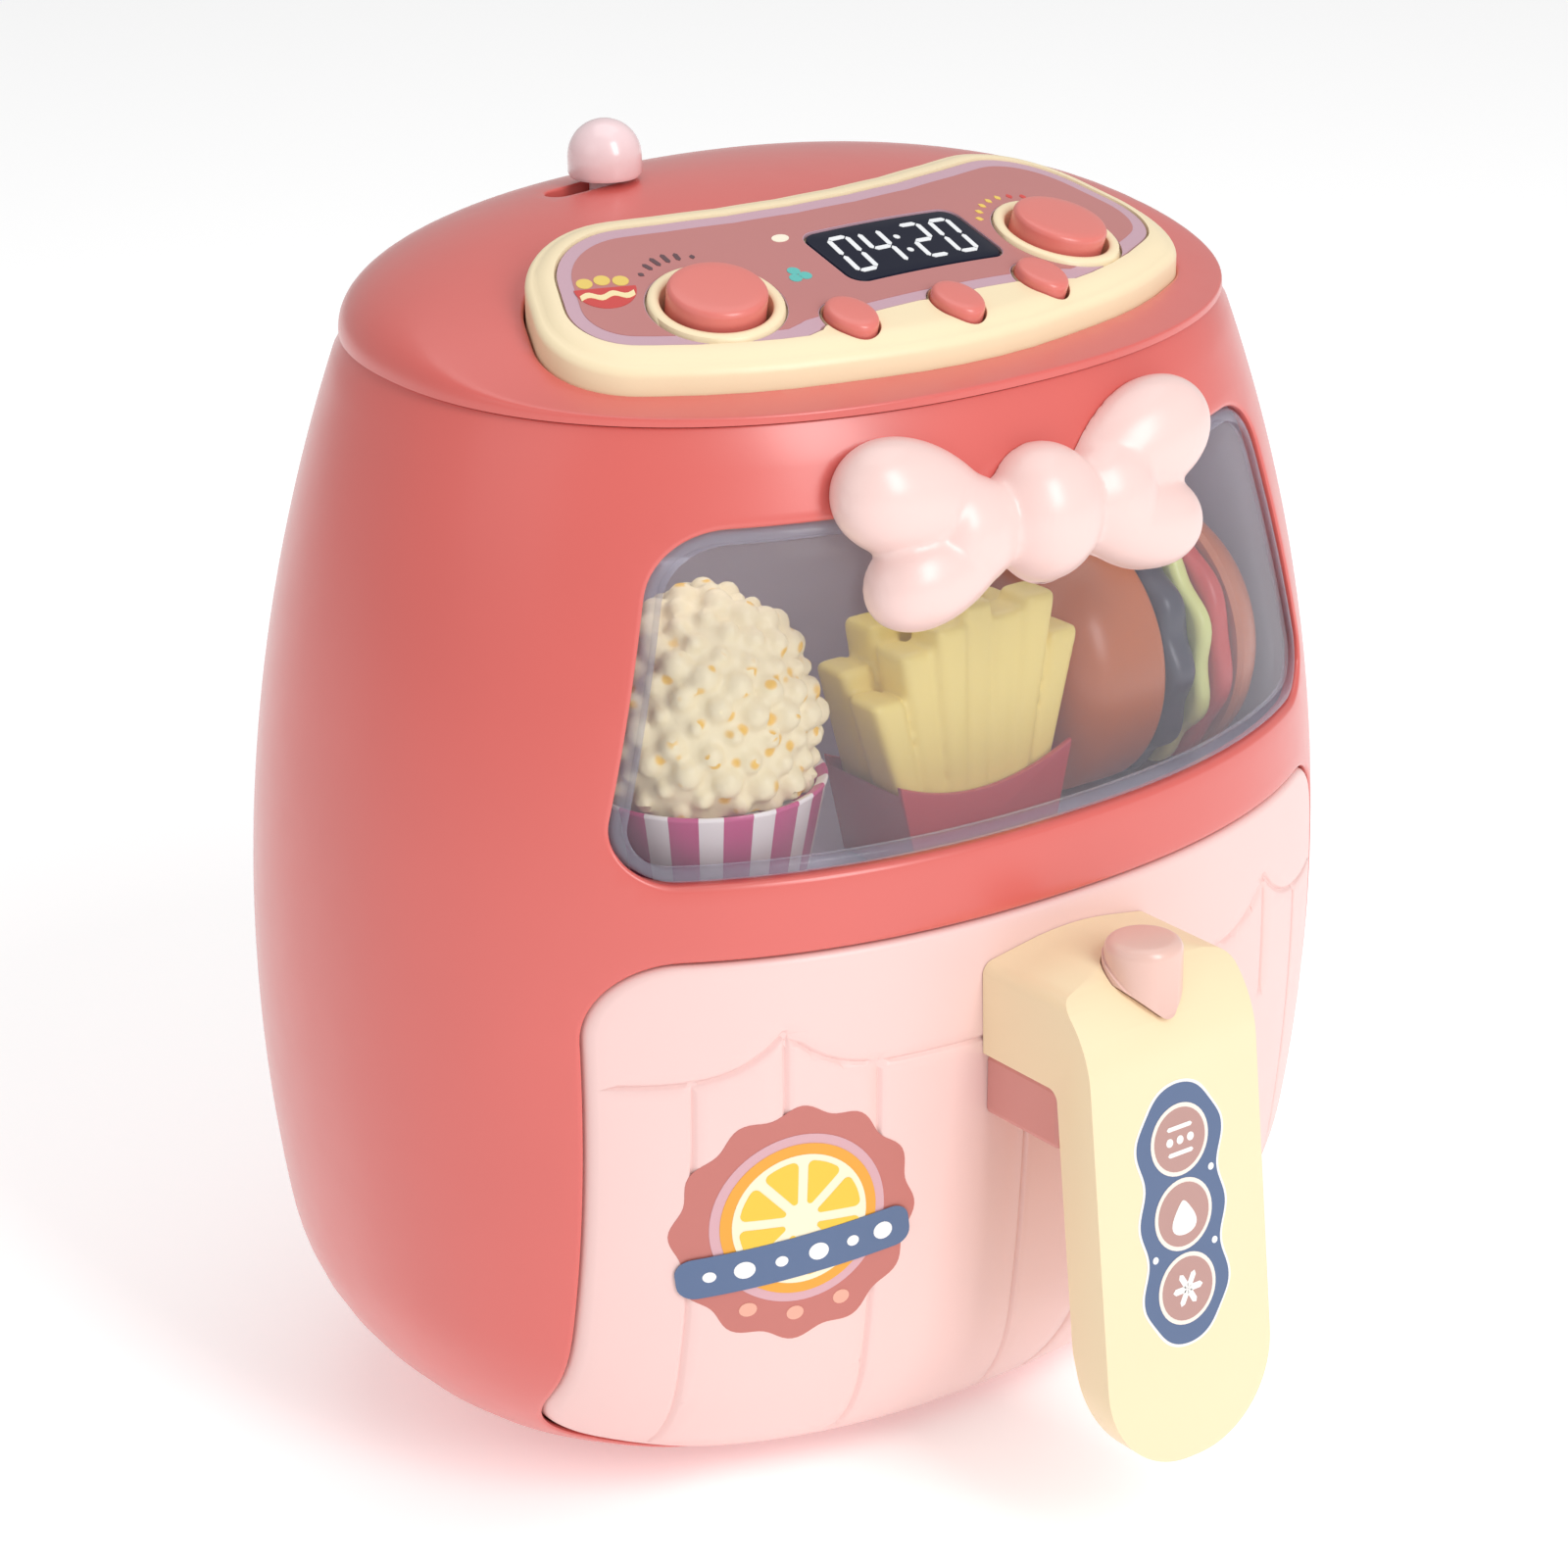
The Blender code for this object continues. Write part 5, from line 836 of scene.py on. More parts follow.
def sheet_outline(inset):
    """The printed sheet's outline: the panel's, drawn in by its rim and led round the small buttons."""
    outer = grown(PANEL_OUTLINE, -PANEL_RIM - inset)
    reach = ISLAND_HALF_WIDTH + inset
    rear = ISLAND_REAR + inset
    kept = [point for point in outer if not (abs(point.x) < reach + ISLAND_MARGIN and point.y < rear)]
    start = next(n for n, p in enumerate(kept) if (kept[n - 1] - p).length > reach)
    kept = kept[start:] + kept[:start]
    side = 1 if kept[-1].x > 0 else -1
    low = kept[0].y
    reach *= side
    ends = [(reach, low, 0), (reach, rear, ISLAND_ROUND), (-reach, rear, ISLAND_ROUND), (-reach, low, 0)]
    return spaced(kept + [point for point in rounded(ends) if point.y > low + ISLAND_LIFT], PANEL_STEP)


def sheet(outline, holes, field, place, top, thickness):
    """A thin sheet over a place: it fills the outline, less the holes, which may cross it."""
    flat, links = linked([outline, *holes])
    clear = within([outline], field, SHEET_MARGIN) if field else []
    flat += [spot for spot, kept in zip(field, clear) if kept]
    spots, _, triangles, _, _, _ = delaunay_2d_cdt(flat, links, [], 0, ONE_POINT)
    centres = middles(triangles, spots)
    inside = within([outline], centres)
    for hole in holes:
        inside &= ~within([hole], centres)
    bm = bmesh.new()
    upper = [bm.verts.new(place(*spot, top)) for spot in spots]
    lower = [bm.verts.new(place(*spot, top + thickness)) for spot in spots]
    sides = {}
    for triangle, kept in zip(triangles, inside):
        if kept:
            bm.faces.new([upper[n] for n in triangle])
            bm.faces.new([lower[n] for n in reversed(triangle)])
            for n, m in zip(triangle, triangle[1:] + triangle[:1]):
                if (m, n) in sides:
                    sides.pop((m, n))
                else:
                    sides[n, m] = True
    for n, m in sides:
        bm.faces.new((upper[m], upper[n], lower[n], lower[m]))
    bmesh.ops.delete(bm, geom=[vert for vert in bm.verts if not vert.link_faces], context="VERTS")
    return made_of(bm)


panel_lattice = lattice(*PANEL_FIELD, PANEL_FIELD_STEP)
display_outline = spaced(plate_outline(DISPLAY_LOW, DISPLAY_HIGH, DISPLAY_ROUND))
cream = plastic("cream_plastic", (0.91, 0.76, 0.50), roughness=0.42, coat=0.15, drift=0.03)
sheet_line = sheet_outline(-GAP)


def panel_relief(x, y, depth):
    """A point of the panel: its face falls softly to its edge, down to the sheet and up in the collars."""
    reach, fall = PANEL_SOFTNESS
    away = max(0, line_distance([PANEL_OUTLINE], [(x, y)])[0] - PANEL_EDGE)
    near = max(0, 1 - away / (reach - PANEL_EDGE))
    if depth < PANEL_DEPTH / 2:
        depth += fall * near**2
    if depth < PRINT:
        spot = Vector((x, y, panel_height(x, y)))
        far = min((panel_frame(*place).inverted() @ spot).to_2d().length for place in BIG_PLACES)
        if far < COLLAR_RADIUS:
            over = (2 * far - COLLAR_RADIUS - WELL_RADIUS) / (COLLAR_RADIUS - WELL_RADIUS)
            foot = RECESS if far > COLLAR_RADIUS - COLLAR_FOOT else 0
            depth = foot - COLLAR_RISE * math.sqrt(max(0, 1 - over**2))
        elif within([sheet_line], [(x, y)])[0]:
            depth = RECESS
    return Vector((x, y, panel_height(x, y) - depth))


panel_steps = [grown(sheet_line, STEP_HALF), grown(sheet_line, -STEP_HALF)]
panel_steps += [grown(PANEL_OUTLINE, -PANEL_EDGE - n * PANEL_SLOPE_STEP) for n in range(1, 6)]
panel_steps += [disc(place, COLLAR_RADIUS - inset) for place in BIG_PLACES for inset in COLLAR_STEPS]
panel_rim = moulding(
    [(outline_rim(PANEL_OUTLINE), -1)]
    + [(outline_rim(disc(place, WELL_RADIUS)), 1, WELL_EDGE_SHARE) for place in BIG_PLACES]
    + [(outline_rim(oval(place, SMALL_HALF, GAP)), 1, OVAL_EDGE_SHARE) for place in SMALL_PLACES],
    panel_lattice,
    panel_relief,
    PANEL_DEPTH,
    round_over(PANEL_EDGE, 7),
    margin=PRINT,
    creases=panel_steps,
)
finished(panel_rim, "panel_rim", cream, "housing", "cream_plastic", "control_panel")

# Printed sheet: a dusty-rose sheet with a mauve border in the panel's recess, printed with tick marks round
# the big buttons and a few small motifs, and cut out for the display and the buttons.
BORDER_WIDTH = 0.0019
FIELD_CLEARANCE = 0.0001
PRINT_STEP = 0.0015
BOWL_PLACE = Vector((-0.0391, -0.0124))
BOWL_FIELD = ((-0.050, -0.030), (-0.030, -0.004))
BOWL_FIELD_STEP = 0.0022
BOWL_TURN = Matrix.Rotation(math.radians(-22), 2)
BOWL_HALF = (0.0041, 0.0045)
BOWL_BAND_HALF = 0.0036
BOWL_BAND_DROP = 0.0012
BOWL_BAND_HEIGHT = 0.0011
BOWL_WAVE = (0.0004, 1900)
BALL_PLACES = ((-0.0024, 0.0013), (0, 0.0017), (0.0024, 0.0013))
BALL_RADIUS = 0.00108
TICK_RADIUS = 0.0107
TICK_WIDTH = 0.0007
TICKS = ((70, 0.0010), (80, 0.0018), (88, 0.0022), (96, 0.0022), (104, 0.0018), (114, 0.0010))
DOT_RADII = (0.0100, 0.0112)
DOT_WIDTH = 0.0009
DOT_TURNS = range(52, 150, 12)
RED_DOTS = 4
LEAF_PLACES = ((-0.0147, -0.0205), (-0.0155, -0.0220), (-0.0139, -0.0220))
LEAF_HALF = (0.0009, 0.0009)
SPOT_PLACE = (-0.0113, -0.0131)
SPOT_HALF = (0.0013, 0.0009)


def print_ink(name, colour):
    return plastic(name, colour, roughness=0.45, coat=0.3, grain=0.2)


mauve = print_ink("sheet_border", (0.56, 0.35, 0.42))
rose = print_ink("sheet_field", (0.50, 0.185, 0.175))
sheet_face = RECESS - GAP - SHEET_THICKNESS
display_line = grown(display_outline, GAP)
sheet_holes = [disc(place, COLLAR_RADIUS, GAP) for place in BIG_PLACES]
sheet_holes += [oval(place, SMALL_HALF, 2 * GAP) for place in SMALL_PLACES] + [display_line]
border = sheet(sheet_outline(0), sheet_holes, panel_lattice, panel_place, sheet_face, SHEET_THICKNESS)
finished(border, "panel_sheet_border", mauve, "housing", "printed_sheet", "panel_overlay")
field_holes = [grown(hole, FIELD_CLEARANCE) for hole in sheet_holes]
field = sheet(
    sheet_outline(BORDER_WIDTH), field_holes, panel_lattice, panel_place, sheet_face - PRINT, PRINT
)
finished(field, "panel_sheet_field", rose, "housing", "printed_sheet")


def merged(parts):
    """Several objects joined into one."""
    bpy.ops.object.select_all(action="DESELECT")
    for part in parts:
        part.select_set(True)
    bpy.context.view_layer.objects.active = parts[0]
    bpy.ops.object.join()
    return parts[0]


def bar(start, end, width):
    """A straight bar with pointed ends between two places."""
    start, end = Vector(start), Vector(end)
    run = (end - start).normalized() * width / 2
    side = Vector((-run.y, run.x))
    return [start, start + run + side, end - run + side, end, end - run - side, start + run - side]


def printed(outlines, colour, level, place, field, name, body, slot="printed_sheet"):
    """Flat printed shapes of one colour on a surface. A higher level lies over a lower one."""
    parts = [sheet(spaced(line, PRINT_STEP), [], field, place, -level * PRINT, PRINT) for line in outlines]
    return finished(merged(parts), name, print_ink(name, colour), body, slot)


def spoke(middle, angle, near, far, width):
    """A tick that points away from a middle."""
    way = Vector((math.cos(angle), math.sin(angle)))
    return bar(Vector(middle) + way * near, Vector(middle) + way * far, width)


def print_place(x, y, depth):
    return panel_place(x, y, sheet_face - PRINT + depth)


left_button, right_button = BIG_PLACES
bowl_lattice = lattice(*BOWL_FIELD, BOWL_FIELD_STEP)


def on_bowl(points):
    return [BOWL_TURN @ Vector(point) + BOWL_PLACE for point in points]


half_turn = [math.pi * n / 24 for n in range(25)]
bowl = [(BOWL_HALF[0] * math.cos(t), -BOWL_HALF[1] * math.sin(t)) for t in half_turn]
swing, pace = BOWL_WAVE
across = [BOWL_BAND_HALF * (n / 8 - 1) for n in range(17)]
band = [(x, swing * math.sin(pace * x) - BOWL_BAND_DROP) for x in across]
band += [(x, y - BOWL_BAND_HEIGHT) for x, y in reversed(band)]
balls = [on_bowl(circle(*middle, BALL_RADIUS, 24)) for middle in BALL_PLACES]
ticks = []
for turn, length in TICKS:
    ticks.append(spoke(left_button, math.radians(turn), TICK_RADIUS, TICK_RADIUS + length, TICK_WIDTH))
dots = [spoke(right_button, math.radians(turn), *DOT_RADII, DOT_WIDTH) for turn in DOT_TURNS]
leaves = [oval(middle, LEAF_HALF, 0, 16) for middle in LEAF_PLACES]
for name, outlines, colour, level, field in (
    ("sheet_bowl", [on_bowl(bowl)], (0.60, 0.04, 0.035), 1, bowl_lattice),
    ("sheet_bowl_band", [on_bowl(band)], (0.90, 0.76, 0.42), 2, []),
    ("sheet_bowl_balls", balls, (0.80, 0.58, 0.12), 1, []),
    ("sheet_ticks", ticks, (0.10, 0.04, 0.05), 1, []),
    ("sheet_yellow_ticks", dots[RED_DOTS:], (0.85, 0.60, 0.10), 1, []),
    ("sheet_red_ticks", dots[:RED_DOTS], (0.66, 0.05, 0.04), 1, []),
    ("sheet_leaves", leaves, (0.10, 0.50, 0.46), 1, []),
    ("sheet_dot", [oval(SPOT_PLACE, SPOT_HALF, 0, 20)], (0.93, 0.85, 0.68), 1, []),
):
    printed(outlines, colour, level, print_place, field, name, "housing")

# Display: a dark blue plastic lens with a lightly rounded edge, set in an opening of the printed sheet. Its
# slanted figures are made of plain white bars, printed on its face.
DIGIT_HEIGHT = 0.0080
DIGIT_WIDTH = 0.0030
BAR_WIDTH = 0.00080
BAR_GAP = 0.00012
COLON_RISE = 0.0017
COLON_RADIUS = 0.00048
LENS_THICKNESS = 0.0013
LENS_EDGE = 0.0003
DIGIT_SLANT = 0.10
DIGIT_PLACES = (-0.0086, -0.0035, 0.0034, 0.0085)
DISPLAY_MIDDLE = (0.00425, -0.01975)
SHOWN = {"0": "abcdef", "2": "abged", "4": "fgbc"}
navy = plastic("display_lens_plastic", (0.003, 0.005, 0.020), roughness=0.35, coat=0.0, grain=0.05)
wired(navy.node_tree.nodes["Principled BSDF"], Specular_IOR_Level=0.2)
lens = moulding(
    [(outline_rim(display_outline), -1)],
    panel_lattice,
    lambda x, y, depth: panel_place(x, y, depth + DISPLAY_SINK),
    LENS_THICKNESS,
    round_over(LENS_EDGE, 3),
)
finished(lens, "display_panel", navy, "housing", "display_plastic", "display_lens")
white = plastic("display_figure_print", (0.86, 0.88, 0.90), roughness=0.4, coat=0, grain=0.1)


def figure_bars(figure, middle):
    """The slanted bars of one figure. Bars a to f run round it, and g crosses its middle."""
    w, h = DIGIT_WIDTH / 2, DIGIT_HEIGHT / 2
    spots = {
        "a": ((-w, h), (w, h)),
        "b": ((w, h), (w, 0)),
        "c": ((w, 0), (w, -h)),
        "d": ((-w, -h), (w, -h)),
        "e": ((-w, 0), (-w, -h)),
        "f": ((-w, h), (-w, 0)),
        "g": ((-w, 0), (w, 0)),
    }
    bars = []
    for name in SHOWN[figure]:
        start, end = (Vector(spot) for spot in spots[name])
        gap = (end - start).normalized() * BAR_GAP
        outline = bar(start + gap, end - gap, BAR_WIDTH)
        bars.append([Vector((p.x + DIGIT_SLANT * p.y, p.y)) + Vector((middle, 0)) for p in outline])
    return bars


marks = [line for figure, middle in zip("0420", DIGIT_PLACES) for line in figure_bars(figure, middle)]
for rise in (-COLON_RISE, COLON_RISE):
    marks.append([p + Vector((DIGIT_SLANT * rise, rise)) for p in circle(0, 0, COLON_RADIUS, 12)])
parts = []
for line in marks:
    moved = [p + Vector(DISPLAY_MIDDLE) for p in line]
    parts.append(sheet(moved, [], [], panel_place, DISPLAY_SINK - PRINT, PRINT))
finished(merged(parts), "display_figures", white, "housing", "display_plastic")

# Push buttons: five moulded caps of coral plastic with soft domes and rounded shoulders. Two round ones
# stand in the panel's collars and three oval ones in its island, each square to the panel's face there.
BUTTON_DEPTH = 0.0045
BUTTON_SHOULDER = 0.0008
BUTTON_DOME = 0.0002
BUTTON_STEPS = 48
button_coral = plastic("button_plastic", (0.74, 0.19, 0.16), roughness=0.34, coat=0.3)


def button(place, half, rise, name):
    """A cap spun from its half profile: dome, rounded shoulder, straight skirt and foot."""
    radius = half[1]
    profile = [(radius * n / 8, rise - BUTTON_DOME * (n / 8) ** 2) for n in range(1, 7)]
    for inward, drop in round_over(BUTTON_SHOULDER, 6)[1:]:
        profile.append((radius - inward, rise - BUTTON_DOME - drop))
    profile += [(radius, -BUTTON_DEPTH), (radius / 2, -BUTTON_DEPTH)]
    turns = [2 * math.pi * n / BUTTON_STEPS for n in range(BUTTON_STEPS)]
    bm = bmesh.new()
    rings = [[bm.verts.new((r * math.cos(t), r * math.sin(t), z)) for t in turns] for r, z in profile]
    banded(bm, rings)
    bm.faces.new(rings[0])
    bm.faces.new(rings[-1])
    bm.transform(panel_frame(*place) @ Matrix.Diagonal((half[0] / half[1], 1, 1, 1)))
    finished(made_of(bm), name + "_cap", button_coral, name, "button_plastic", name)


for side, place in zip(("left", "right"), BIG_PLACES):
    button(place, (BIG_RADIUS, BIG_RADIUS), BIG_RISE, f"big_button_{side}")
for side, place in zip(("left", "middle", "right"), SMALL_PLACES):
    button(place, SMALL_HALF, SMALL_RISE, f"small_button_{side}")

# Slide knob: a glossy pale pink ball on a short straight skirt, standing clear of the lid. It is one
# plastic moulding with its stem, which runs down through the lid's slot.
KNOB_RADIUS = 0.00515
KNOB_SKIRT = 0.0028
KNOB_FLOOR = 0.171254
KNOB_LIP = 0.0006
KNOB_LIP_SHARE = 0.93
STEM_DEPTH = 0.0055
STEM_TOP = 0.0004
knob_middle = (*KNOB_PLACE, KNOB_FLOOR + KNOB_SKIRT)
knob_pink = plastic("knob_plastic", (0.91, 0.68, 0.70), roughness=0.20, coat=0.6, grain=0.15)
bpy.ops.object.select_all(action="DESELECT")
bpy.ops.mesh.primitive_uv_sphere_add(segments=48, ring_count=24, radius=KNOB_RADIUS, location=knob_middle)
knob = bpy.context.active_object
bpy.ops.object.mode_set(mode="EDIT")
bpy.ops.mesh.select_all(action="SELECT")
bpy.ops.mesh.bisect(plane_co=knob_middle, plane_no=(0, 0, 1), clear_inner=True, use_fill=True)
bpy.ops.mesh.extrude_region_move(TRANSFORM_OT_translate={"value": (0, 0, KNOB_LIP - KNOB_SKIRT)})
bpy.ops.mesh.extrude_region_move(TRANSFORM_OT_translate={"value": (0, 0, -KNOB_LIP)})
bpy.ops.transform.resize(value=(KNOB_LIP_SHARE, KNOB_LIP_SHARE, 1))
bpy.ops.object.mode_set(mode="OBJECT")


def settled(obj):
    """Puts an object's place, turn and scale into its mesh."""
    alone(obj)
    bpy.ops.object.transform_apply(location=True, rotation=True, scale=True)
    return obj


bm = bmesh.new()
bm.from_mesh(settled(knob).data)
stem = oblong(*KNOB_PLACE, *STEM_HALF)
levels = (KNOB_FLOOR - STEM_DEPTH, KNOB_FLOOR + STEM_TOP)
rings = [[bm.verts.new((p.x, p.y, z)) for p in stem] for z in levels]
banded(bm, rings)
bm.faces.new(rings[0])
bm.faces.new(rings[1])
bpy.data.objects.remove(knob)
finished(made_of(bm), "knob_ball", knob_pink, "slide_knob", "knob_plastic", "slide_knob")

# Window: a clear tinted plastic pane, fixed slightly back in the shell's opening. Its border stands a step
# in front of the pane and is tinted darker.
WINDOW_SINK = 0.0005
BORDER = 0.0017
BORDER_STEP = 0.0007
BORDER_EDGE = 0.0006
PANE_EDGE = 0.0002
PANE_FIELD = ((-0.061, 0.098), (0.061, 0.142))
PANE_FIELD_STEP = 0.0025
FINE_MARGIN = 0.0003
PANE_CLEARANCE = 0.0001


def front_place(x, z, depth):
    return Vector((x, -depth_at(x, z, depth, -1), z))


def pane_place(x, z, depth):
    """A point of the pane, a step behind its border."""
    return front_place(x, z, min(depth + WINDOW_SINK + BORDER_STEP, WALL))


def tinted(name, colour, veil, roughness):
    """Clear plastic: a tinted see-through layer under a coloured, glossy one that covers more at a slant."""
    made, shader, place = shaded(name)
    tree = made.node_tree
    smear = place.noise(0.02) * 0.05 + roughness
    wired(shader, Base_Color=colour, Roughness=smear, Specular_IOR_Level=0.5)
    slant = place.node("LayerWeight", {}, {"Blend": 0.5}, out=1)
    cover = slant.maths("POWER", slant, 4) * 0.5 + place.noise(0.05) * 0.04 + veil
    clear = tree.nodes.new("ShaderNodeBsdfTransparent")
    clear.inputs["Color"].default_value = (0.97, 0.97, 0.98, 1)
    blend = tree.nodes.new("ShaderNodeMixShader")
    tree.links.new(cover.socket, blend.inputs[0])
    tree.links.new(clear.outputs[0], blend.inputs[1])
    tree.links.new(shader.outputs[0], blend.inputs[2])
    tree.links.new(blend.outputs[0], tree.nodes["Material Output"].inputs["Surface"])
    return made


pane_line = grown(WINDOW_OUTLINE, -BORDER)
pane_rows = lattice(*PANE_FIELD, PANE_FIELD_STEP)
pane_edge = outline_rim(grown(pane_line, -PANE_CLEARANCE))
pane = moulding([(pane_edge, -1)], pane_rows, pane_place, WALL - WINDOW_SINK, round_over(PANE_EDGE, 2))
smoky = tinted("window_plastic", (0.64, 0.65, 0.72), 0.05, 0.05)
finished(pane, "window_pane_moulding", smoky, "housing", "clear_plastic", "window_pane")
border_piece = moulding(
    [(outline_rim(WINDOW_OUTLINE), -1), (outline_rim(pane_line), 1)],
    pane_rows,
    lambda x, z, depth: front_place(x, z, depth + WINDOW_SINK),
    WALL - WINDOW_SINK,
    round_over(BORDER_EDGE),
    margin=FINE_MARGIN,
)
smokier = tinted("window_border_plastic", (0.46, 0.47, 0.57), 0.20, 0.08)
finished(border_piece, "window_border", smokier, "housing", "clear_plastic")

# Drawer front: a pale pink plastic cover, moulded to the same barrel curve as the shell around it. A
# scalloped apron line and pleat lines are pressed into its face, and its edge is rounded.
GROOVE_WIDTH = 0.0007
GROOVE_DEPTH = 0.0005
SCALLOP_HALF_PITCH = 0.0210
SCALLOP_CUSP = 0.0770
SCALLOP_SAG = 0.0064
SCALLOP_POWER = 4
PLEAT_X = (0.0068, 0.0297, 0.0530)
PLEAT_HEIGHTS = (0.0710, 0.0300, 0.0105)
PLEAT_LEAN = 0.0025
PLEAT_CURVE = 1.6
CUSP_PLEAT = (0.0760, 0.0600)
GROOVE_OFFSETS = (-0.0006, -0.00035, -0.00018, 0, 0.00018, 0.00035, 0.0006)
GROOVE_CLEAR = 0.0009
GROOVE_HALF = GROOVE_WIDTH * 0.6
DRAWER_FIELD = ((-0.0638, 0.004), (0.0638, 0.0872))
DRAWER_STEP = 0.0021
FACE_DEPTH = 0.0003
pale = plastic("drawer_front_plastic", (0.87, 0.60, 0.57), roughness=0.40, coat=0.15, drift=0.03)


def scallop(middle, start, end, steps=24):
    """One arc of the apron's edge, hanging between two cusps."""
    arc = []
    for n in range(steps + 1):
        share = start + (end - start) * n / steps
        height = SCALLOP_CUSP - SCALLOP_SAG * (1 - share**SCALLOP_POWER)
        arc.append(Vector((middle + SCALLOP_HALF_PITCH * share, height)))
    return arc


def fall(high, low, steps, count, x):
    """A line that runs down from one height towards another. x gives its place across for each share."""
    return [Vector((x(n / steps), high - (high - low) * n / steps)) for n in range(count)]


arcs = ((-3, 0.1, 1), (-1, -1, 1), (1, -1, 1), (3, -1, -0.1))
grooves = [scallop(place * SCALLOP_HALF_PITCH, start, end) for place, start, end in arcs]
top, bend, low = PLEAT_HEIGHTS
for side in (-1, 1):
    for x in PLEAT_X:
        pleat = fall(top, bend, 30, 30, lambda share: side * x)
        lower = fall(bend, low, 16, 17, lambda share: side * (x - PLEAT_LEAN * share**PLEAT_CURVE))
        grooves.append(pleat + lower)
    grooves.append(fall(*CUSP_PLEAT, 12, 13, lambda share: side * 2 * SCALLOP_HALF_PITCH))
open_lines = [line + line[-2:0:-1] for line in grooves]
drawer_field = lattice(*DRAWER_FIELD, DRAWER_STEP)
clear_of = line_distance(open_lines, drawer_field)
drawer_field = [spot for spot, gap in zip(drawer_field, clear_of) if gap > GROOVE_CLEAR]
for line in grooves:
    for n, here in enumerate(line):
        ahead = line[min(n + 1, len(line) - 1)] - line[max(n - 1, 0)]
        normal = Vector((-ahead.y, ahead.x)).normalized()
        drawer_field += [here + normal * offset for offset in GROOVE_OFFSETS]


def drawer_place(x, z, depth):
    """A point of the drawer's front, sunk along the pressed lines."""
    if depth < FACE_DEPTH:
        near = line_distance(open_lines, [(x, z)])[0]
        depth += GROOVE_DEPTH * max(0, 1 - (near / GROOVE_HALF) ** 2)
    return front_place(x, z, depth)


drawer_rims = [(outline_rim(DRAWER_OUTLINE), -1)]
drawer_edge = round_over(OPENING_EDGE)
drawer = moulding(drawer_rims, drawer_field, drawer_place, WALL, drawer_edge, margin=FINE_MARGIN)
finished(drawer, "drawer_front_moulding", pale, "drawer", "pale_pink_plastic", "drawer_front")

# Front sticker: a printed badge on the drawer's front, with a slice of citrus above a plain tilted band. It
# is a thin film laid over the pressed lines.
BADGE_PLACE = (-0.0400, 0.0485)
BADGE_HALF = (0.0152, 0.0172)
BADGE_FIELD = ((-0.060, 0.028), (-0.022, 0.070))
BADGE_SCALLOPS = 12
BADGE_WAVE = 0.035
SLICE_MIDDLE = (0, 0.0010)
SLICE_RADIUS = 0.0078
WEDGE_COUNT = 8
WEDGE_HALF_TURN = 0.31
WEDGE_TIP = (0.0016, 0.0004)
WEDGE_ROUND = 0.0007
BAND_MIDDLE = (0, -0.0046)
BAND_HALF = (0.0150, 0.0031)
BAND_ROUND = 0.0022
BAND_TURN = Matrix.Rotation(math.radians(9), 2)
BAND_DOTS = (
    (-0.0112, 0.0008),
    (-0.0070, 0.0013),
    (-0.0024, 0.0008),
    (0.0024, 0.0013),
    (0.0070, 0.0008),
    (0.0112, 0.0013),
)
PETAL_PLACES = ((-0.0060, -0.0122), (0, -0.0136), (0.0060, -0.0122))
PETAL_RADIUS = 0.0011
BADGE_STRETCH = BADGE_HALF[1] / BADGE_HALF[0]
badge_field = lattice(*BADGE_FIELD, DRAWER_STEP)


def on_badge(points, turn=Matrix.Identity(2), middle=(0, 0)):
    return [turn @ Vector(point) + Vector(BADGE_PLACE) + Vector(middle) for point in points]


def ring_of(radius, middle=SLICE_MIDDLE, count=72, wave=0):
    """A ring as tall for its width as the badge, with scallops where asked."""
    turns = [2 * math.pi * n / count for n in range(count)]
    reach = [radius * (1 + wave * math.cos(BADGE_SCALLOPS * t)) for t in turns]
    ring = [(r * math.cos(t), r * BADGE_STRETCH * math.sin(t)) for r, t in zip(reach, turns)]
    return on_badge(ring, middle=middle)


def polar(radius, turn):
    """A place at a distance and a turn from a middle."""
    return radius * math.cos(turn), radius * math.sin(turn)


def wedge(middle_turn):
    """One wedge of the slice: a small round tip and an arc with rounded corners."""
    turns = (-WEDGE_HALF_TURN, -0.2, -0.1, 0, 0.1, 0.2, WEDGE_HALF_TURN)
    first, *arc, last = [polar(SLICE_RADIUS, middle_turn + turn) for turn in turns]
    corners = [(*polar(WEDGE_TIP[0], middle_turn), WEDGE_TIP[1]), (*first, WEDGE_ROUND)]
    corners += [(*spot, 0) for spot in arc] + [(*last, WEDGE_ROUND)]
    return on_badge([(x, z * BADGE_STRETCH) for x, z in rounded(corners, 20)], middle=SLICE_MIDDLE)


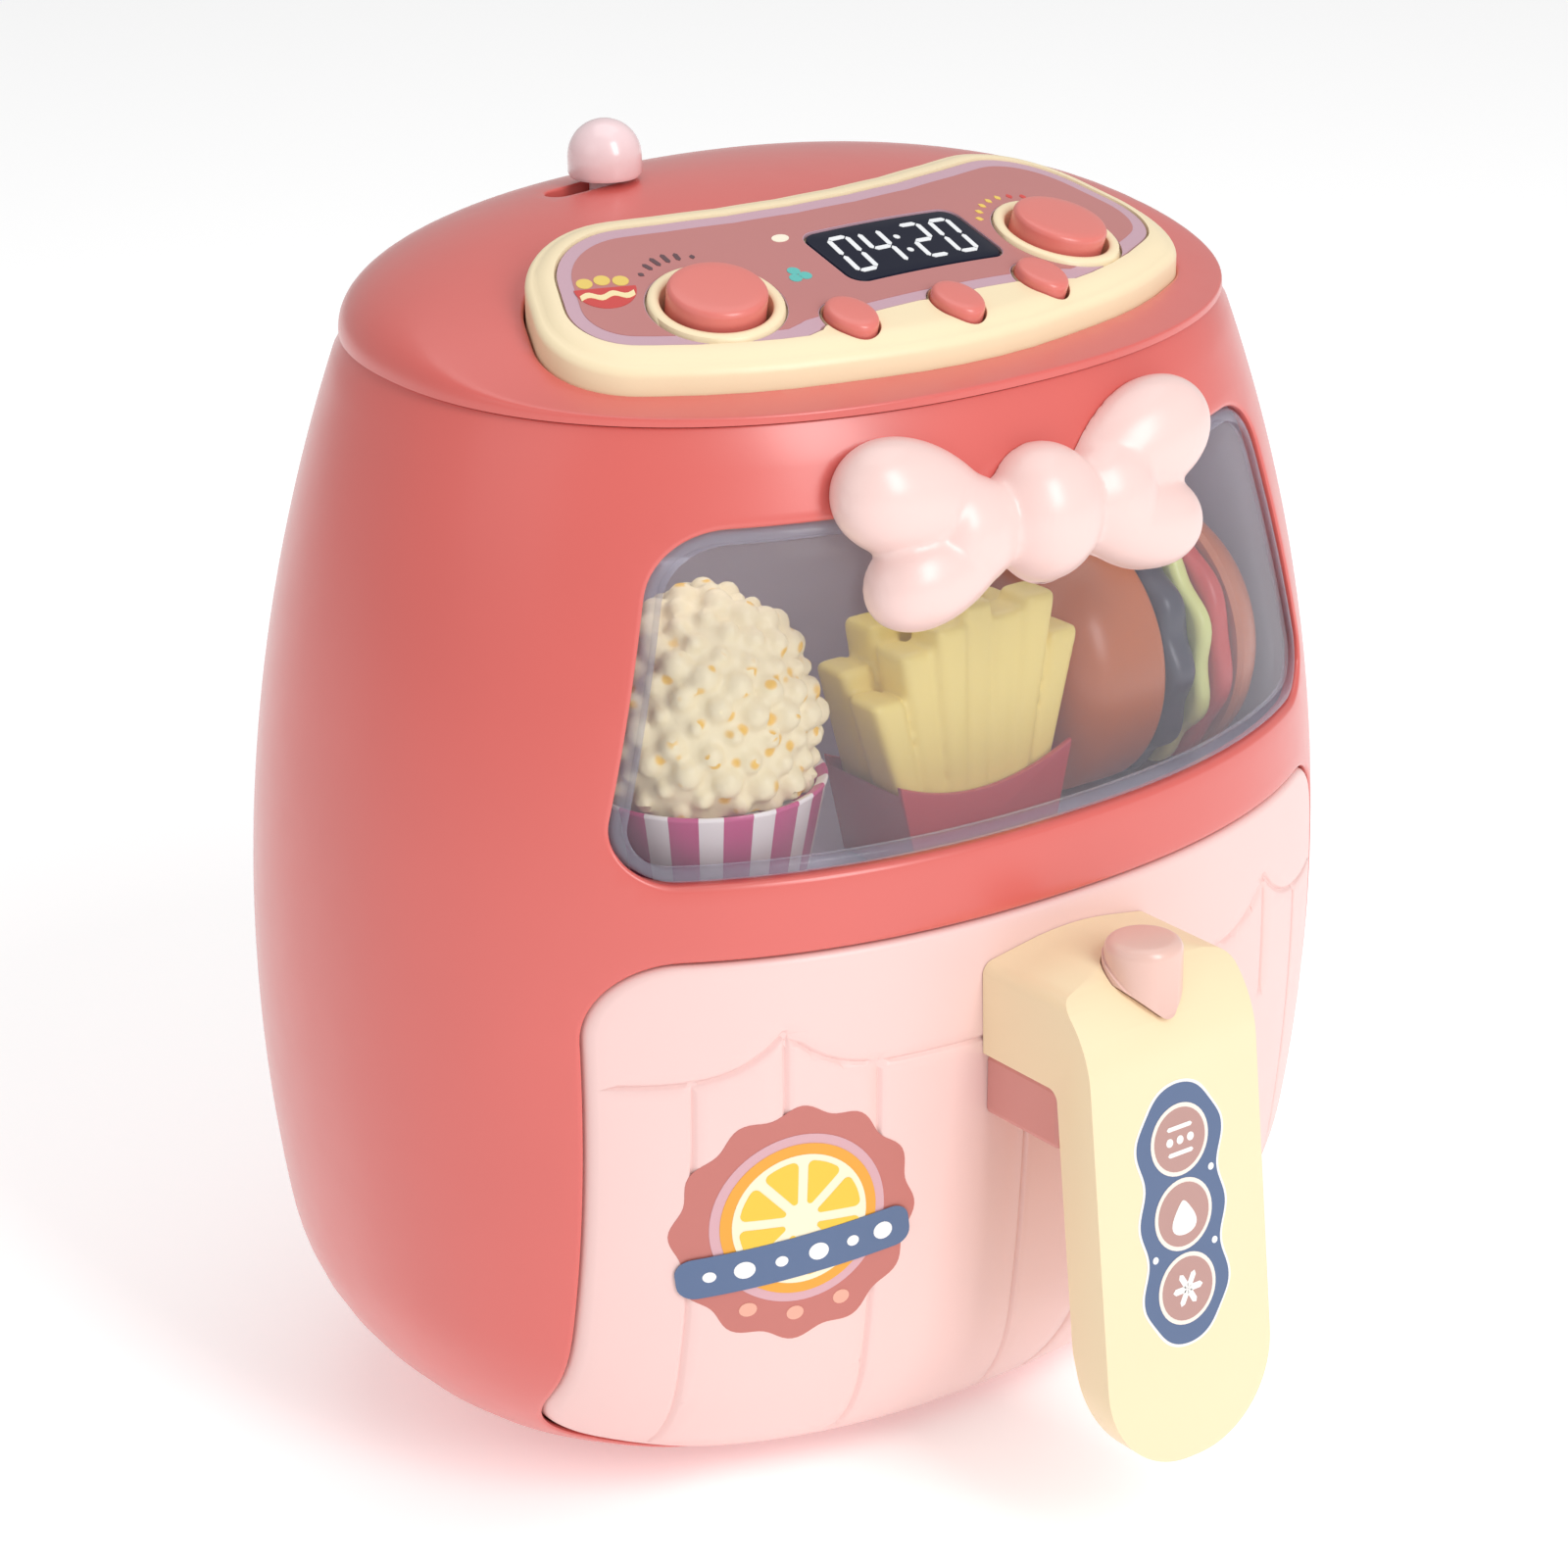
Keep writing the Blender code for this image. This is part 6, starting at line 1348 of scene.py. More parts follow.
ground = ring_of(BADGE_HALF[0], (0, 0), 144, BADGE_WAVE)
wedges = [wedge(2 * math.pi / WEDGE_COUNT * (n + 0.5)) for n in range(WEDGE_COUNT)]
ribbon = plate_outline([-half for half in BAND_HALF], BAND_HALF, BAND_ROUND, 15)
dots = [on_badge(circle(x, 0, radius, 20), BAND_TURN, BAND_MIDDLE) for x, radius in BAND_DOTS]
petals = [on_badge(circle(*middle, PETAL_RADIUS, 16)) for middle in PETAL_PLACES]
for name, outlines, colour, level, field in (
    ("badge_ground", [ground], (0.53, 0.165, 0.14), 1, badge_field),
    ("badge_ring", [ring_of(0.0112)], (0.66, 0.38, 0.42), 2, badge_field),
    ("citrus_peel", [ring_of(0.0100)], (0.82, 0.36, 0.03), 3, badge_field),
    ("citrus_pith", [ring_of(0.0086)], (0.92, 0.82, 0.60), 4, badge_field),
    ("citrus_wedges", wedges, (0.86, 0.55, 0.04), 5, badge_field),
    ("badge_band", [on_badge(ribbon, BAND_TURN, BAND_MIDDLE)], (0.085, 0.14, 0.27), 6, badge_field),
    ("badge_dots", dots, (0.90, 0.90, 0.90), 7, []),
    ("badge_petals", petals, (0.80, 0.40, 0.30), 2, []),
):
    printed(outlines, colour, level, front_place, field, name, "drawer")

# Handle: an arm out of the drawer's front that turns down into a broad grip with a round end, one cream
# moulding with soft edges and a drop-shaped well for the release button in its top.
HANDLE_HALF_WIDTH = 0.0144
HANDLE_CROWN = 0.0842
HANDLE_SHOULDER = 0.0813
HANDLE_FOOT = 0.0152
HANDLE_REAR = -0.05
ARM_BOTTOM = 0.0685
GRIP_TOP_Y = -0.0802
GRIP_FOOT_Y = -0.0878
GRIP_THICKNESS = 0.0070
GRIP_FOOT_THICKNESS = 0.0030
GRIP_TAPER = 0.0320
GRIP_BEND = 0.015
GRIP_BACK_BEND = 0.010
ARM_BEND = 0.0018
FOOT_OVERLAP = 0.002
ARM_ROOT_Y = -0.0595
HANDLE_EDGE = 0.0010
RELEASE_Y = -0.0752
RELEASE_RADIUS = 0.0055
RELEASE_TIP_Y = -0.0832
RELEASE_TIP_ROUND = 0.0022
RELEASE_STAND_OUT = 0.0024
RELEASE_DEPTH = 0.0080
RELEASE_LIP = 0.0008
RELEASE_ROOT = 0.002
SHIELD_MARGIN = 0.0020
SHIELD_DROP = 0.0010
SHIELD_TOP = 0.13
SHIELD_ROUND = 0.001
SHIELD_TIP_ROUND = 0.0018
SIDE_TO_SIDE = (-0.03, 0.03)
FRONT_TO_BACK = (-0.11, -0.045)
OVER_THE_TOP = 0.12


def grip_y(height, back=0):
    """Where the grip's face, or its back, lies at a height: it leans out towards its foot."""
    share = (HANDLE_CROWN - height) / (HANDLE_CROWN - HANDLE_FOOT)
    return GRIP_TOP_Y + (GRIP_FOOT_Y - GRIP_TOP_Y) * share + back


def handle_side(outset):
    """The handle's side outline as (y, z) points, grown by an outset on its outer side."""
    foot = HANDLE_FOOT - FOOT_OVERLAP
    corners = [
        (HANDLE_REAR, HANDLE_CROWN + outset, 0),
        (GRIP_TOP_Y - outset, HANDLE_CROWN + outset, GRIP_BEND + outset),
        (grip_y(foot) - outset, foot, 0),
        (grip_y(foot, GRIP_FOOT_THICKNESS), foot, 0),
        (grip_y(GRIP_TAPER, GRIP_THICKNESS), GRIP_TAPER, GRIP_BACK_BEND),
        (grip_y(ARM_BOTTOM, GRIP_THICKNESS), ARM_BOTTOM, ARM_BEND),
        (HANDLE_REAR, ARM_BOTTOM, 0),
    ]
    return rounded(corners, 4)


def prism(points, axis, low, high):
    """A straight block with this outline, drawn out along an axis between two levels."""
    order = {"x": (2, 0, 1), "y": (0, 2, 1), "z": (0, 1, 2)}[axis]
    bm = bmesh.new()
    rings = []
    for level in (low, high):
        spots = [(*point, level) for point in points]
        rings.append([bm.verts.new([spot[n] for n in order]) for spot in spots])
    banded(bm, rings)
    bm.faces.new(rings[0])
    bm.faces.new(rings[1][::-1])
    return made_of(bm)


def release_outline(clearance):
    """The drop seen from above: a round end towards the drawer and a small round tip towards the player."""
    reach = RELEASE_RADIUS + clearance
    centre = Vector((0, RELEASE_Y))
    tip = Vector((0, RELEASE_TIP_Y + RELEASE_TIP_ROUND))
    small = RELEASE_TIP_ROUND + clearance
    lean = math.acos((reach - small) / (centre - tip).length)
    turns = [lean - math.pi / 2 + (2 * math.pi - 2 * lean) * n / 40 for n in range(41)]
    points = [centre + reach * Vector((math.cos(t), math.sin(t))) for t in turns]
    turns = [turns[-1] + 2 * lean * n / 16 for n in range(17)]
    return points + [tip + small * Vector((math.cos(t), math.sin(t))) for t in turns]


handle_face = rounded(
    both_sides(
        [
            (0, HANDLE_CROWN, 0.040),
            (HANDLE_HALF_WIDTH, HANDLE_SHOULDER, 0.0020),
            (HANDLE_HALF_WIDTH, HANDLE_FOOT, 0.0136),
        ]
    ),
    4,
)
handle = prism(handle_side(0), "x", *SIDE_TO_SIDE)
handle = carved(handle, prism(handle_face, "y", *FRONT_TO_BACK), "INTERSECT")


def shield(clearance):
    """The release button's front outline: straight sides that draw in to a point on the grip's face."""
    wide = RELEASE_RADIUS + clearance + SHIELD_MARGIN
    tip = HANDLE_CROWN - RELEASE_DEPTH - clearance
    bend = HANDLE_CROWN - SHIELD_DROP
    side = [(wide, SHIELD_TOP, 0), (wide, bend, SHIELD_ROUND), (0, tip, SHIELD_TIP_ROUND)]
    return prism(rounded(both_sides(side)), "y", *FRONT_TO_BACK)


core_low = HANDLE_CROWN - RELEASE_DEPTH - RELEASE_ROOT
well = prism(release_outline(GAP / 2), "z", core_low, OVER_THE_TOP)
handle = carved(handle, carved(well, shield(GAP / 3), "INTERSECT"), "DIFFERENCE")
handle = softened(handle, HANDLE_EDGE)
bm = bmesh.new()
bm.from_mesh(handle.data)
bmesh.ops.remove_doubles(bm, verts=bm.verts, dist=10 * WELD)
for vert in bm.verts:
    if vert.co.y > ARM_ROOT_Y:
        vert.co.y = -depth_at(vert.co.x, vert.co.z, 0, -1) - GAP / 2
bm.to_mesh(handle.data)
bm.free()
handle_cream = plastic("handle_plastic", (0.90, 0.73, 0.47), roughness=0.40, coat=0.2, drift=0.03)
finished(handle, "handle_moulding", handle_cream, "drawer", "cream_plastic", "handle")

# Handle sticker: a navy film with a pale wavy edge, laid on the grip's face. It is printed with three mauve
# discs in pale rings, each with a plain mark on it: dots between two dashes, a drop and a star.
STRIP_LOW = 0.0312
STRIP_HIGH = 0.0685
STRIP_HALF = 0.0072
STRIP_EDGE = 0.0004
STRIP_WAVE = 0.0006
STRIP_STEPS = 96
DISC_PITCH = 0.0105
DISC_RADIUS = 0.0044
DISC_RING = 0.0006
PIP_PLACES = (-0.0018, 0, 0.0018)
PIP_RADIUS = 0.0006
DASH_RISE = 0.0018
DASH_HALF = 0.0022
DASH_WIDTH = 0.0006
DROP_HALF = (0.0019, 0.0024)
DROP_SINK = 0.0004
DROP_DRAW = 0.55
RAY_LENGTH = 0.0026
RAY_WIDTH = 0.0009
SPECK_PLACES = ((0.0052, 0.0052), (0.0052, -0.0052), (-0.0052, -0.0050))
SPECK_RADIUS = 0.0005


def grip_place(x, z, depth):
    return Vector((x, grip_y(z, depth), z))


strip_middle = (STRIP_LOW + STRIP_HIGH) / 2
strip_reach = (STRIP_HIGH - STRIP_LOW) / 2


def strip_outline(inset):
    """The strip's outline: round ends, and sides that wave once for each disc."""
    edge = []
    for n in range(STRIP_STEPS + 1):
        rise = (strip_reach - inset) * math.sin(math.pi * (n / STRIP_STEPS - 0.5))
        over = max(0, abs(rise) - (strip_reach - STRIP_HALF)) / (STRIP_HALF - inset)
        half = STRIP_HALF - inset + STRIP_WAVE * math.cos(2 * math.pi * rise / DISC_PITCH)
        edge.append(Vector((half * math.sqrt(max(0, 1 - over**2)), strip_middle + rise)))
    return edge + [Vector((-p.x, p.y)) for p in reversed(edge[1:-1])]


disc_heights = [strip_middle + DISC_PITCH * n for n in (1, 0, -1)]
high, middle, low = disc_heights
strip_rings = [circle(0, z, DISC_RADIUS + DISC_RING, 40) for z in disc_heights]
strip_discs = [circle(0, z, DISC_RADIUS, 40) for z in disc_heights]
marks = [circle(x, high, PIP_RADIUS, 12) for x in PIP_PLACES]
marks += [bar((-DASH_HALF, high + z), (DASH_HALF, high + z), DASH_WIDTH) for z in (-DASH_RISE, DASH_RISE)]
drop = []
for turn in (2 * math.pi * n / 32 for n in range(32)):
    across = DROP_HALF[0] * math.sin(turn) * (1 - DROP_DRAW * math.cos(turn))
    drop.append(Vector((across, middle - DROP_SINK + DROP_HALF[1] * math.cos(turn))))
marks.append(drop)
marks += [spoke((0, low), math.pi / 3 * n, 0, RAY_LENGTH, RAY_WIDTH) for n in range(6)]
specks = [circle(x, middle + rise, SPECK_RADIUS, 12) for x, rise in SPECK_PLACES]
for name, outlines, colour, level in (
    ("strip_edge", [strip_outline(0)], (0.93, 0.90, 0.86), 1),
    ("strip_ground", [strip_outline(STRIP_EDGE)], (0.085, 0.135, 0.26), 2),
    ("strip_rings", strip_rings, (0.90, 0.80, 0.72), 3),
    ("strip_discs", strip_discs, (0.48, 0.27, 0.24), 4),
    ("strip_marks", marks, (0.93, 0.90, 0.87), 5),
    ("strip_specks", specks, (0.90, 0.90, 0.92), 3),
):
    printed(outlines, colour, level, grip_place, [], name, "drawer")

# Release button: a dusty pink drop-shaped cap of glossy plastic in the well of the handle's top, its tip
# following the bend. The round head moulded on it stands out of the handle.
LIP_EDGE = 0.0006
HEAD_EDGE = 0.0015
HEAD_LIFT = 0.0002
HEAD_RADIUS = RELEASE_RADIUS - 0.0003
release_pink = plastic("release_plastic", (0.79, 0.51, 0.44), roughness=0.30, coat=0.4)
lip = prism(release_outline(0), "z", core_low, OVER_THE_TOP)
lip = carved(lip, prism(handle_side(RELEASE_LIP), "x", *SIDE_TO_SIDE), "INTERSECT")
lip = softened(lip, LIP_EDGE, 3)
head_low, head_high = core_low + HEAD_LIFT, HANDLE_CROWN + RELEASE_STAND_OUT
head_place = (0, RELEASE_Y, (head_low + head_high) / 2)
bpy.ops.mesh.primitive_cylinder_add(
    vertices=64, radius=HEAD_RADIUS, depth=head_high - head_low, location=head_place
)
head = softened(settled(bpy.context.active_object), HEAD_EDGE, 6)
release = carved(carved(lip, head, "UNION"), shield(0), "INTERSECT")
finished(release, "release_cap", release_pink, "release_button", "release_plastic", "release_button")

# Bow: four puffed loops round a knot, fused into one softly rounded pale pink moulding. It lies on the
# shell over the window's top edge, and its back follows the wall's curve.
BOW_HEIGHT = 0.1390
KNOT_RADII = (0.0086, 0.0080, 0.0093)
KNOT_SHIFT = (0.0008, -0.0003)
BOW_PUFFS = (
    ((0.0180, 0.0044), (0.0130, 0.0080, 0.0092), -20),
    ((0.0164, -0.0046), (0.0112, 0.0074, 0.0078), 12),
    ((0.0108, -0.0006), (0.0082, 0.0076, 0.0094), 0),
)
VOXEL = 0.0005
BOW_SINK = -0.0003
LOOP_SINK = -0.0005
LOOP_TAPER = 0.35
bow_pink = plastic("bow_plastic", (0.87, 0.62, 0.58), roughness=0.34, coat=0.35, drift=0.03)


def puff(side, place, radii, turn_deg):
    """One puffed loop, narrower towards the knot."""
    bpy.ops.mesh.primitive_uv_sphere_add(segments=48, ring_count=24, radius=1, rotation=(0, math.pi / 2, 0))
    obj = settled(bpy.context.active_object)
    across, height = side * place[0] if side else KNOT_SHIFT[0], BOW_HEIGHT + place[1]
    turn = Matrix.Rotation(math.radians(side * turn_deg), 4, "Y")
    for vert in obj.data.vertices:
        narrow = 1 + LOOP_TAPER * (side * vert.co.x - 1) / 2 if side else 1
        spot = Vector((vert.co.x * radii[0], vert.co.y * narrow * radii[1], vert.co.z * narrow * radii[2]))
        sink = LOOP_SINK if side else BOW_SINK
        vert.co = turn @ spot + Vector((across, sink - depth_at(across, height, 0, -1), height))
    return obj


def fused(parts, rounds):
    """Overlapping solids made into one, with the joins smoothed over."""
    whole = applied(merged(parts), "REMESH", mode="VOXEL", voxel_size=VOXEL)
    return applied(whole, "SMOOTH", iterations=rounds)


puffs = [puff(0, (0, KNOT_SHIFT[1]), KNOT_RADII, 0)]
puffs += [puff(side, *shape) for side in (-1, 1) for shape in BOW_PUFFS]
bow = fused(puffs, 10)
for vert in bow.data.vertices:
    limit = -depth_at(vert.co.x, vert.co.z, 0, -1) - GAP / 2
    vert.co.y = min(vert.co.y, limit)
finished(bow, "bow_moulding", bow_pink, "housing", "bow_plastic", "bow")

# Popcorn tub: the first of three play foods on the chamber's floor, a turned plastic tub with printed
# stripes. The popcorn on it is one cream moulding with a lumpy skin and a spot of amber on some of its
# lumps.
FOOD_FLOOR = 0.0862
TUB_PLACE = (-0.0385, -0.0315)
TUB_RADII = (0.0125, 0.0160)
TUB_HEIGHT = 0.0190
TUB_WALL = 0.0012
TUB_STRIPES = 14
STRIPE_SHARE = 0.45
TUB_RIM = (0.0003, 0.0004)
TUB_LIP = 0.0002
TUB_FOOT = 0.0006
POPCORN_TOP = 0.1318
HEAP_HALF = (0.0150, 0.0138)
HEAP_RISE = 0.0065
HEAP_SKIN = 0.0018
HEAP_SEAT = 0.001
LUMP_COUNT = 210
LUMP_RADIUS = 0.0017
LUMP_RANGE = 0.0005
KERNELS_PER_METRE = 300
tub_frame = Matrix.Translation((*TUB_PLACE, FOOD_FLOOR))


def spun(profile, turn, count=72, ripple=None):
    """A turned solid from its (radius, height) half profile, moved by a frame. ripple may swell a point."""
    bm = bmesh.new()
    rings = []
    for radius, height in profile:
        if radius == 0:
            rings.append([bm.verts.new((0, 0, height))])
            continue
        ring = []
        for n in range(count):
            angle = 2 * math.pi * n / count
            r, z = ripple(angle, radius, height) if ripple else (radius, height)
            ring.append(bm.verts.new((r * math.cos(angle), r * math.sin(angle), z)))
        rings.append(ring)
    for ring, ahead in zip(rings, rings[1:]):
        for n in range(count):
            m = (n + 1) % count
            corners = [
                ring[n % len(ring)], ring[m % len(ring)], ahead[m % len(ahead)], ahead[n % len(ahead)]
            ]
            bm.faces.new(list(dict.fromkeys(corners)))
    bm.transform(turn)
    return made_of(bm)


low_radius, high_radius = TUB_RADII
rim_turns = (-1.2, -0.5, 0.3, 1.1, 1.9)
rim_out, rim_up = TUB_RIM
tub_inner, tub_floor = high_radius - TUB_WALL, TUB_HEIGHT - TUB_WALL
tub_profile = [(0, 0), (low_radius - TUB_FOOT, 0), (low_radius, TUB_FOOT)]
tub_profile += [(high_radius + rim_out * math.cos(t), TUB_HEIGHT + rim_up * math.sin(t)) for t in rim_turns]
tub_profile += [(tub_inner, TUB_HEIGHT - TUB_LIP), (tub_inner, tub_floor), (0, tub_floor)]
tub = spun(tub_profile, tub_frame)
made, shader, place = shaded("tub_plastic")
parts = place.node("SeparateXYZ", {}, {0: place})
east = parts - TUB_PLACE[0]
north = Value(place.tree, parts.socket.node.outputs[1]) - TUB_PLACE[1]
turn_share = north.maths("ARCTAN2", north, east) * (TUB_STRIPES / (2 * math.pi)) + TUB_STRIPES
stripe = turn_share.maths("FRACT", turn_share) > STRIPE_SHARE
wired(shader, Base_Color=stripe.mix((0.88, 0.80, 0.78), (0.56, 0.045, 0.20)), Roughness=0.35)
wired(shader, Normal=place.noise(0.0006).bump(0.3), Coat_Weight=0.2)
finished(tub, "tub_moulding", made, "housing", "tub_plastic", "popcorn_tub")


def scatter(count):
    """Even directions over a ball, spiralling from its top to its foot."""
    golden = math.pi * (3 - math.sqrt(5))
    for n in range(count):
        z = 1 - 2 * (n + 0.5) / count
        reach = math.sqrt(1 - z * z)
        yield Vector((math.cos(golden * n) * reach, math.sin(golden * n) * reach, z))


tub_top = FOOD_FLOOR + TUB_HEIGHT
heap_middle = Vector((*TUB_PLACE, tub_top + HEAP_RISE))
heap_radii = Vector((*HEAP_HALF, POPCORN_TOP - heap_middle.z - HEAP_SKIN))
bpy.ops.mesh.primitive_uv_sphere_add(
    segments=24, ring_count=16, radius=1, location=heap_middle, scale=heap_radii
)
lumps = [settled(bpy.context.active_object)]
for n, way in enumerate(scatter(LUMP_COUNT)):
    spot = heap_middle + Vector(a * b for a, b in zip(way, heap_radii))
    if spot.z < tub_top - HEAP_SEAT:
        continue
    size = LUMP_RADIUS + LUMP_RANGE * math.sin(7.1 * n)
    bpy.ops.mesh.primitive_uv_sphere_add(segments=10, ring_count=6, radius=size, location=spot)
    lumps.append(settled(bpy.context.active_object))
heap = fused(lumps, 3)
tub_inside = high_radius - TUB_WALL - GAP
for vert in heap.data.vertices:
    off = vert.co.to_2d() - Vector(TUB_PLACE)
    if vert.co.z < tub_top + HEAP_SEAT and off.length > tub_inside:
        off *= tub_inside / off.length
    vert.co = (TUB_PLACE[0] + off.x, TUB_PLACE[1] + off.y, max(vert.co.z, tub_top - TUB_WALL + GAP))
made, shader, place = shaded("popcorn_plastic")
kernel = place.node("TexVoronoi", {}, {"Vector": place, "Scale": KERNELS_PER_METRE})
fading = {0: kernel, 1: 0.16, 2: 0.34, 3: 1, 4: 0}
spot = kernel.node("MapRange", {"interpolation_type": "SMOOTHSTEP"}, fading)
patchy = place.noise(0.004) > 0.42
wired(shader, Base_Color=(spot * patchy).mix((0.90, 0.78, 0.50), (0.88, 0.52, 0.05)), Roughness=0.42)
wired(shader, Normal=place.noise(0.0012).bump(0.5, 0.0002))
finished(heap, "popcorn_heap", made, "housing", "popcorn_plastic", "popcorn")

# Fries: two rows of yellow plastic sticks, moulded as one piece and standing fanned out in an open red box.
# The box's sides slope outwards to its top edge, which dips in the middle.
FRIES_PLACE = (-0.0002, -0.0350)
FRIES_BOX = (0.0150, 0.0115, 0.0085, 0.0150)
FRY_COUNT = 7
FRY_WIDTH = 0.0046
FRY_HEIGHT = 0.0360
FRY_THICKNESS = 0.0066
FRY_EDGE = 0.0010
FRY_SWAY = 0.0006
FRY_FLARE = (0.66, 0.50)
FOOT_SPREAD = 0.62
FRY_SPREAD = 1.12
FRY_FRONT = (0.70, 0.86, 0.94, 1.0, 0.93, 0.98, 0.80)
FRY_BACK = (0.78, 0.92, 1.0, 0.95, 1.0, 0.90, 0.72)
FRY_ROWS = ((FRY_FRONT, -0.0036), (FRY_BACK, 0.0038))
BOX_WALL = 0.0010
BOX_DIP = 0.0035
BOX_EDGE = 0.0003
fries_yellow = plastic("fries_plastic", (0.92, 0.74, 0.22), roughness=0.42, coat=0.2, drift=0.08)
box_red = plastic("box_plastic", (0.50, 0.045, 0.06), roughness=0.32, coat=0.4)
sticks = []
top_half, low_half, half_deep, box_height = FRIES_BOX
for row, (tops, y) in enumerate(FRY_ROWS):
    for n, share in enumerate(tops):
        middle = FRY_WIDTH * (n + 0.5 - FRY_COUNT / 2)
        bpy.ops.mesh.primitive_cube_add(size=1, location=(0, 0, 0.5))
        stick = settled(bpy.context.active_object)
        sway = FRY_SWAY * math.sin(2.3 * n + 4 * row)
        for vert in stick.data.vertices:
            spread = FOOT_SPREAD + (FRY_SPREAD - FOOT_SPREAD) * vert.co.z
            width = FRY_WIDTH * (FRY_FLARE[0] + FRY_FLARE[1] * vert.co.z)
            vert.co.x = FRIES_PLACE[0] + middle * spread + vert.co.x * width
            vert.co.y = FRIES_PLACE[1] + y + vert.co.y * FRY_THICKNESS + sway * vert.co.z
            vert.co.z = FOOD_FLOOR + BOX_WALL + GAP + vert.co.z * FRY_HEIGHT * share
        sticks.append(softened(stick, FRY_EDGE, 3))
fries = fused(sticks, 5)
finished(fries, "fries_sticks", fries_yellow, "housing", "fries_plastic", "fries")


def box_outline(inset):
    """The fries box's front outline: sloping sides and a dipping top edge."""
    top = FOOD_FLOOR + box_height
    points = [Vector((top_half - inset, top - inset)), Vector((low_half - inset, FOOD_FLOOR + inset))]
    points += [Vector((-low_half + inset, FOOD_FLOOR + inset)), Vector((-top_half + inset, top - inset))]
    for n in range(1, 24):
        share = -1 + n / 12
        points.append(Vector((share * (top_half - inset), top - inset - BOX_DIP * (1 - share**2))))
    return [p + Vector((FRIES_PLACE[0], 0)) for p in points]


box_front, box_back = FRIES_PLACE[1] - half_deep, FRIES_PLACE[1] + half_deep
box = prism(box_outline(0), "y", box_front, box_back)
inner_half = low_half - BOX_WALL
inner_corners = ((inner_half, BOX_WALL), (0.030, 0.060), (-0.030, 0.060), (-inner_half, BOX_WALL))
slopes = [Vector((FRIES_PLACE[0] + x, FOOD_FLOOR + z)) for x, z in inner_corners]
hollow = prism(slopes, "y", box_front + BOX_WALL, box_back - BOX_WALL)
box = softened(carved(box, hollow, "DIFFERENCE"), BOX_EDGE, 2, 50)
finished(box, "fries_box_moulding", box_red, "housing", "box_plastic", "fries_box")

# Burger: it lies on its side, with its bun's lower half towards the fries. Its bun, patty, lettuce, tomato
# and bun top are five turned plastic layers with a small gap between them, and the three in the middle have
# rippled edges.
BURGER_RADIUS = 0.0190
BURGER_Y = -0.0243
LAYERS = (
    ("burger_bun_bottom", 0.0162, 0.0070, 0.0018, (0.50, 0.125, 0.025), "bun_plastic", 0, 0),
    ("burger_patty", 0.0056, 0.0022, 0.0022, (0.038, 0.036, 0.055), "patty_plastic", 11, 0.0007),
    ("burger_lettuce", 0.0028, 0.0012, 0.0012, (0.66, 0.70, 0.25), "lettuce_plastic", 9, 0.0008),
    ("burger_tomato", 0.0034, 0.0014, 0.0014, (0.56, 0.045, 0.03), "tomato_plastic", 8, 0.0005),
    ("burger_bun_top", 0.0105, 0.0012, 0, (0.50, 0.125, 0.025), "bun_plastic", 0, 0),
)
BUN_REACHES = (0.97, 0.995, 0.985, 0.94, 0.86, 0.74, 0.58, 0.40, 0.20, 0)
BUN_RISES = (0, 0.08, 0.20, 0.36, 0.52, 0.67, 0.80, 0.90, 0.975, 1)
layer_x = 0.0165
lying = Matrix.Rotation(math.pi / 2, 4, "Y")
for name, thickness, low_round, high_round, colour, slot, waves, wave in LAYERS:
    radius = BURGER_RADIUS - wave
    if high_round:
        profile = [(0, 0)] + [(radius - inward, depth) for inward, depth in round_over(low_round, 8)]
        profile += [(radius - depth, thickness - inward) for inward, depth in round_over(high_round, 8)]
        profile.append((0, thickness))
    else:
        dome = zip(BUN_REACHES, BUN_RISES)
        profile = [(0, 0)] + [(radius * reach, thickness * rise) for reach, rise in dome]
    finish = plastic(name + "_finish", colour, roughness=0.38, coat=0.25, grain=0.6, drift=0.12)

    def ripple(angle, r, z, wave=wave, waves=waves, radius=radius):
        return r + wave * math.sin(waves * angle) * (r / radius) ** 4, z

    frame_turn = Matrix.Translation((layer_x, BURGER_Y, FOOD_FLOOR + BURGER_RADIUS)) @ lying
    layer = spun(profile, frame_turn, 96, ripple if wave else None)
    finished(layer, name + "_layer", finish, "housing", slot, name)
    layer_x += thickness + GAP

# Parts that carry over from the frame as they are: the chamber's liner and lamp, the drawer's bay, pan and
# crisper plate, and the works behind the rear cover. Each takes the finish of its own plastic or metal.
def dressed(material, *names):
    for name in names:
        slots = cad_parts[name].data.materials
        slots.clear()
        slots.append(material)


for name, colour, roughness, coat, drift, nodes in (
    ("liner_plastic", (0.67, 0.61, 0.71), 0.45, 0.1, 0.05, ["chamber_liner"]),
    ("inner_plastic", (0.42, 0.36, 0.36), 0.50, 0.1, 0.05, ["drawer_bay", "battery_box", "knob_retainer"]),
    ("pan_plastic", (0.62, 0.50, 0.48), 0.42, 0.2, 0.05, ["drawer_pan", "crisper_plate"]),
    ("black_plastic", (0.02, 0.02, 0.022), 0.40, 0.2, 0.05, ["speaker", "switch_body", "power_switch"]),
    ("circuit_board", (0.03, 0.16, 0.07), 0.35, 0.5, 0.2, ["control_board"]),
    ("cell_wrap", (0.03, 0.10, 0.30), 0.30, 0.5, 0.05, ["battery_cell_upper", "battery_cell_lower"]),
    ("bracket_plastic", (0.66, 0.27, 0.24), 0.36, 0.25, 0.05, ["handle_bracket"]),
):
    dressed(plastic(name, colour, roughness, coat, drift=drift), *nodes)
dressed(coral, "base_plate")
amber, shader, place = shaded("lamp_plastic")
wired(shader, Base_Color=(0.95, 0.80, 0.50), Roughness=0.3 + place.noise(0.002) * 0.1, Alpha=1.0)
dressed(amber, "chamber_lamp")
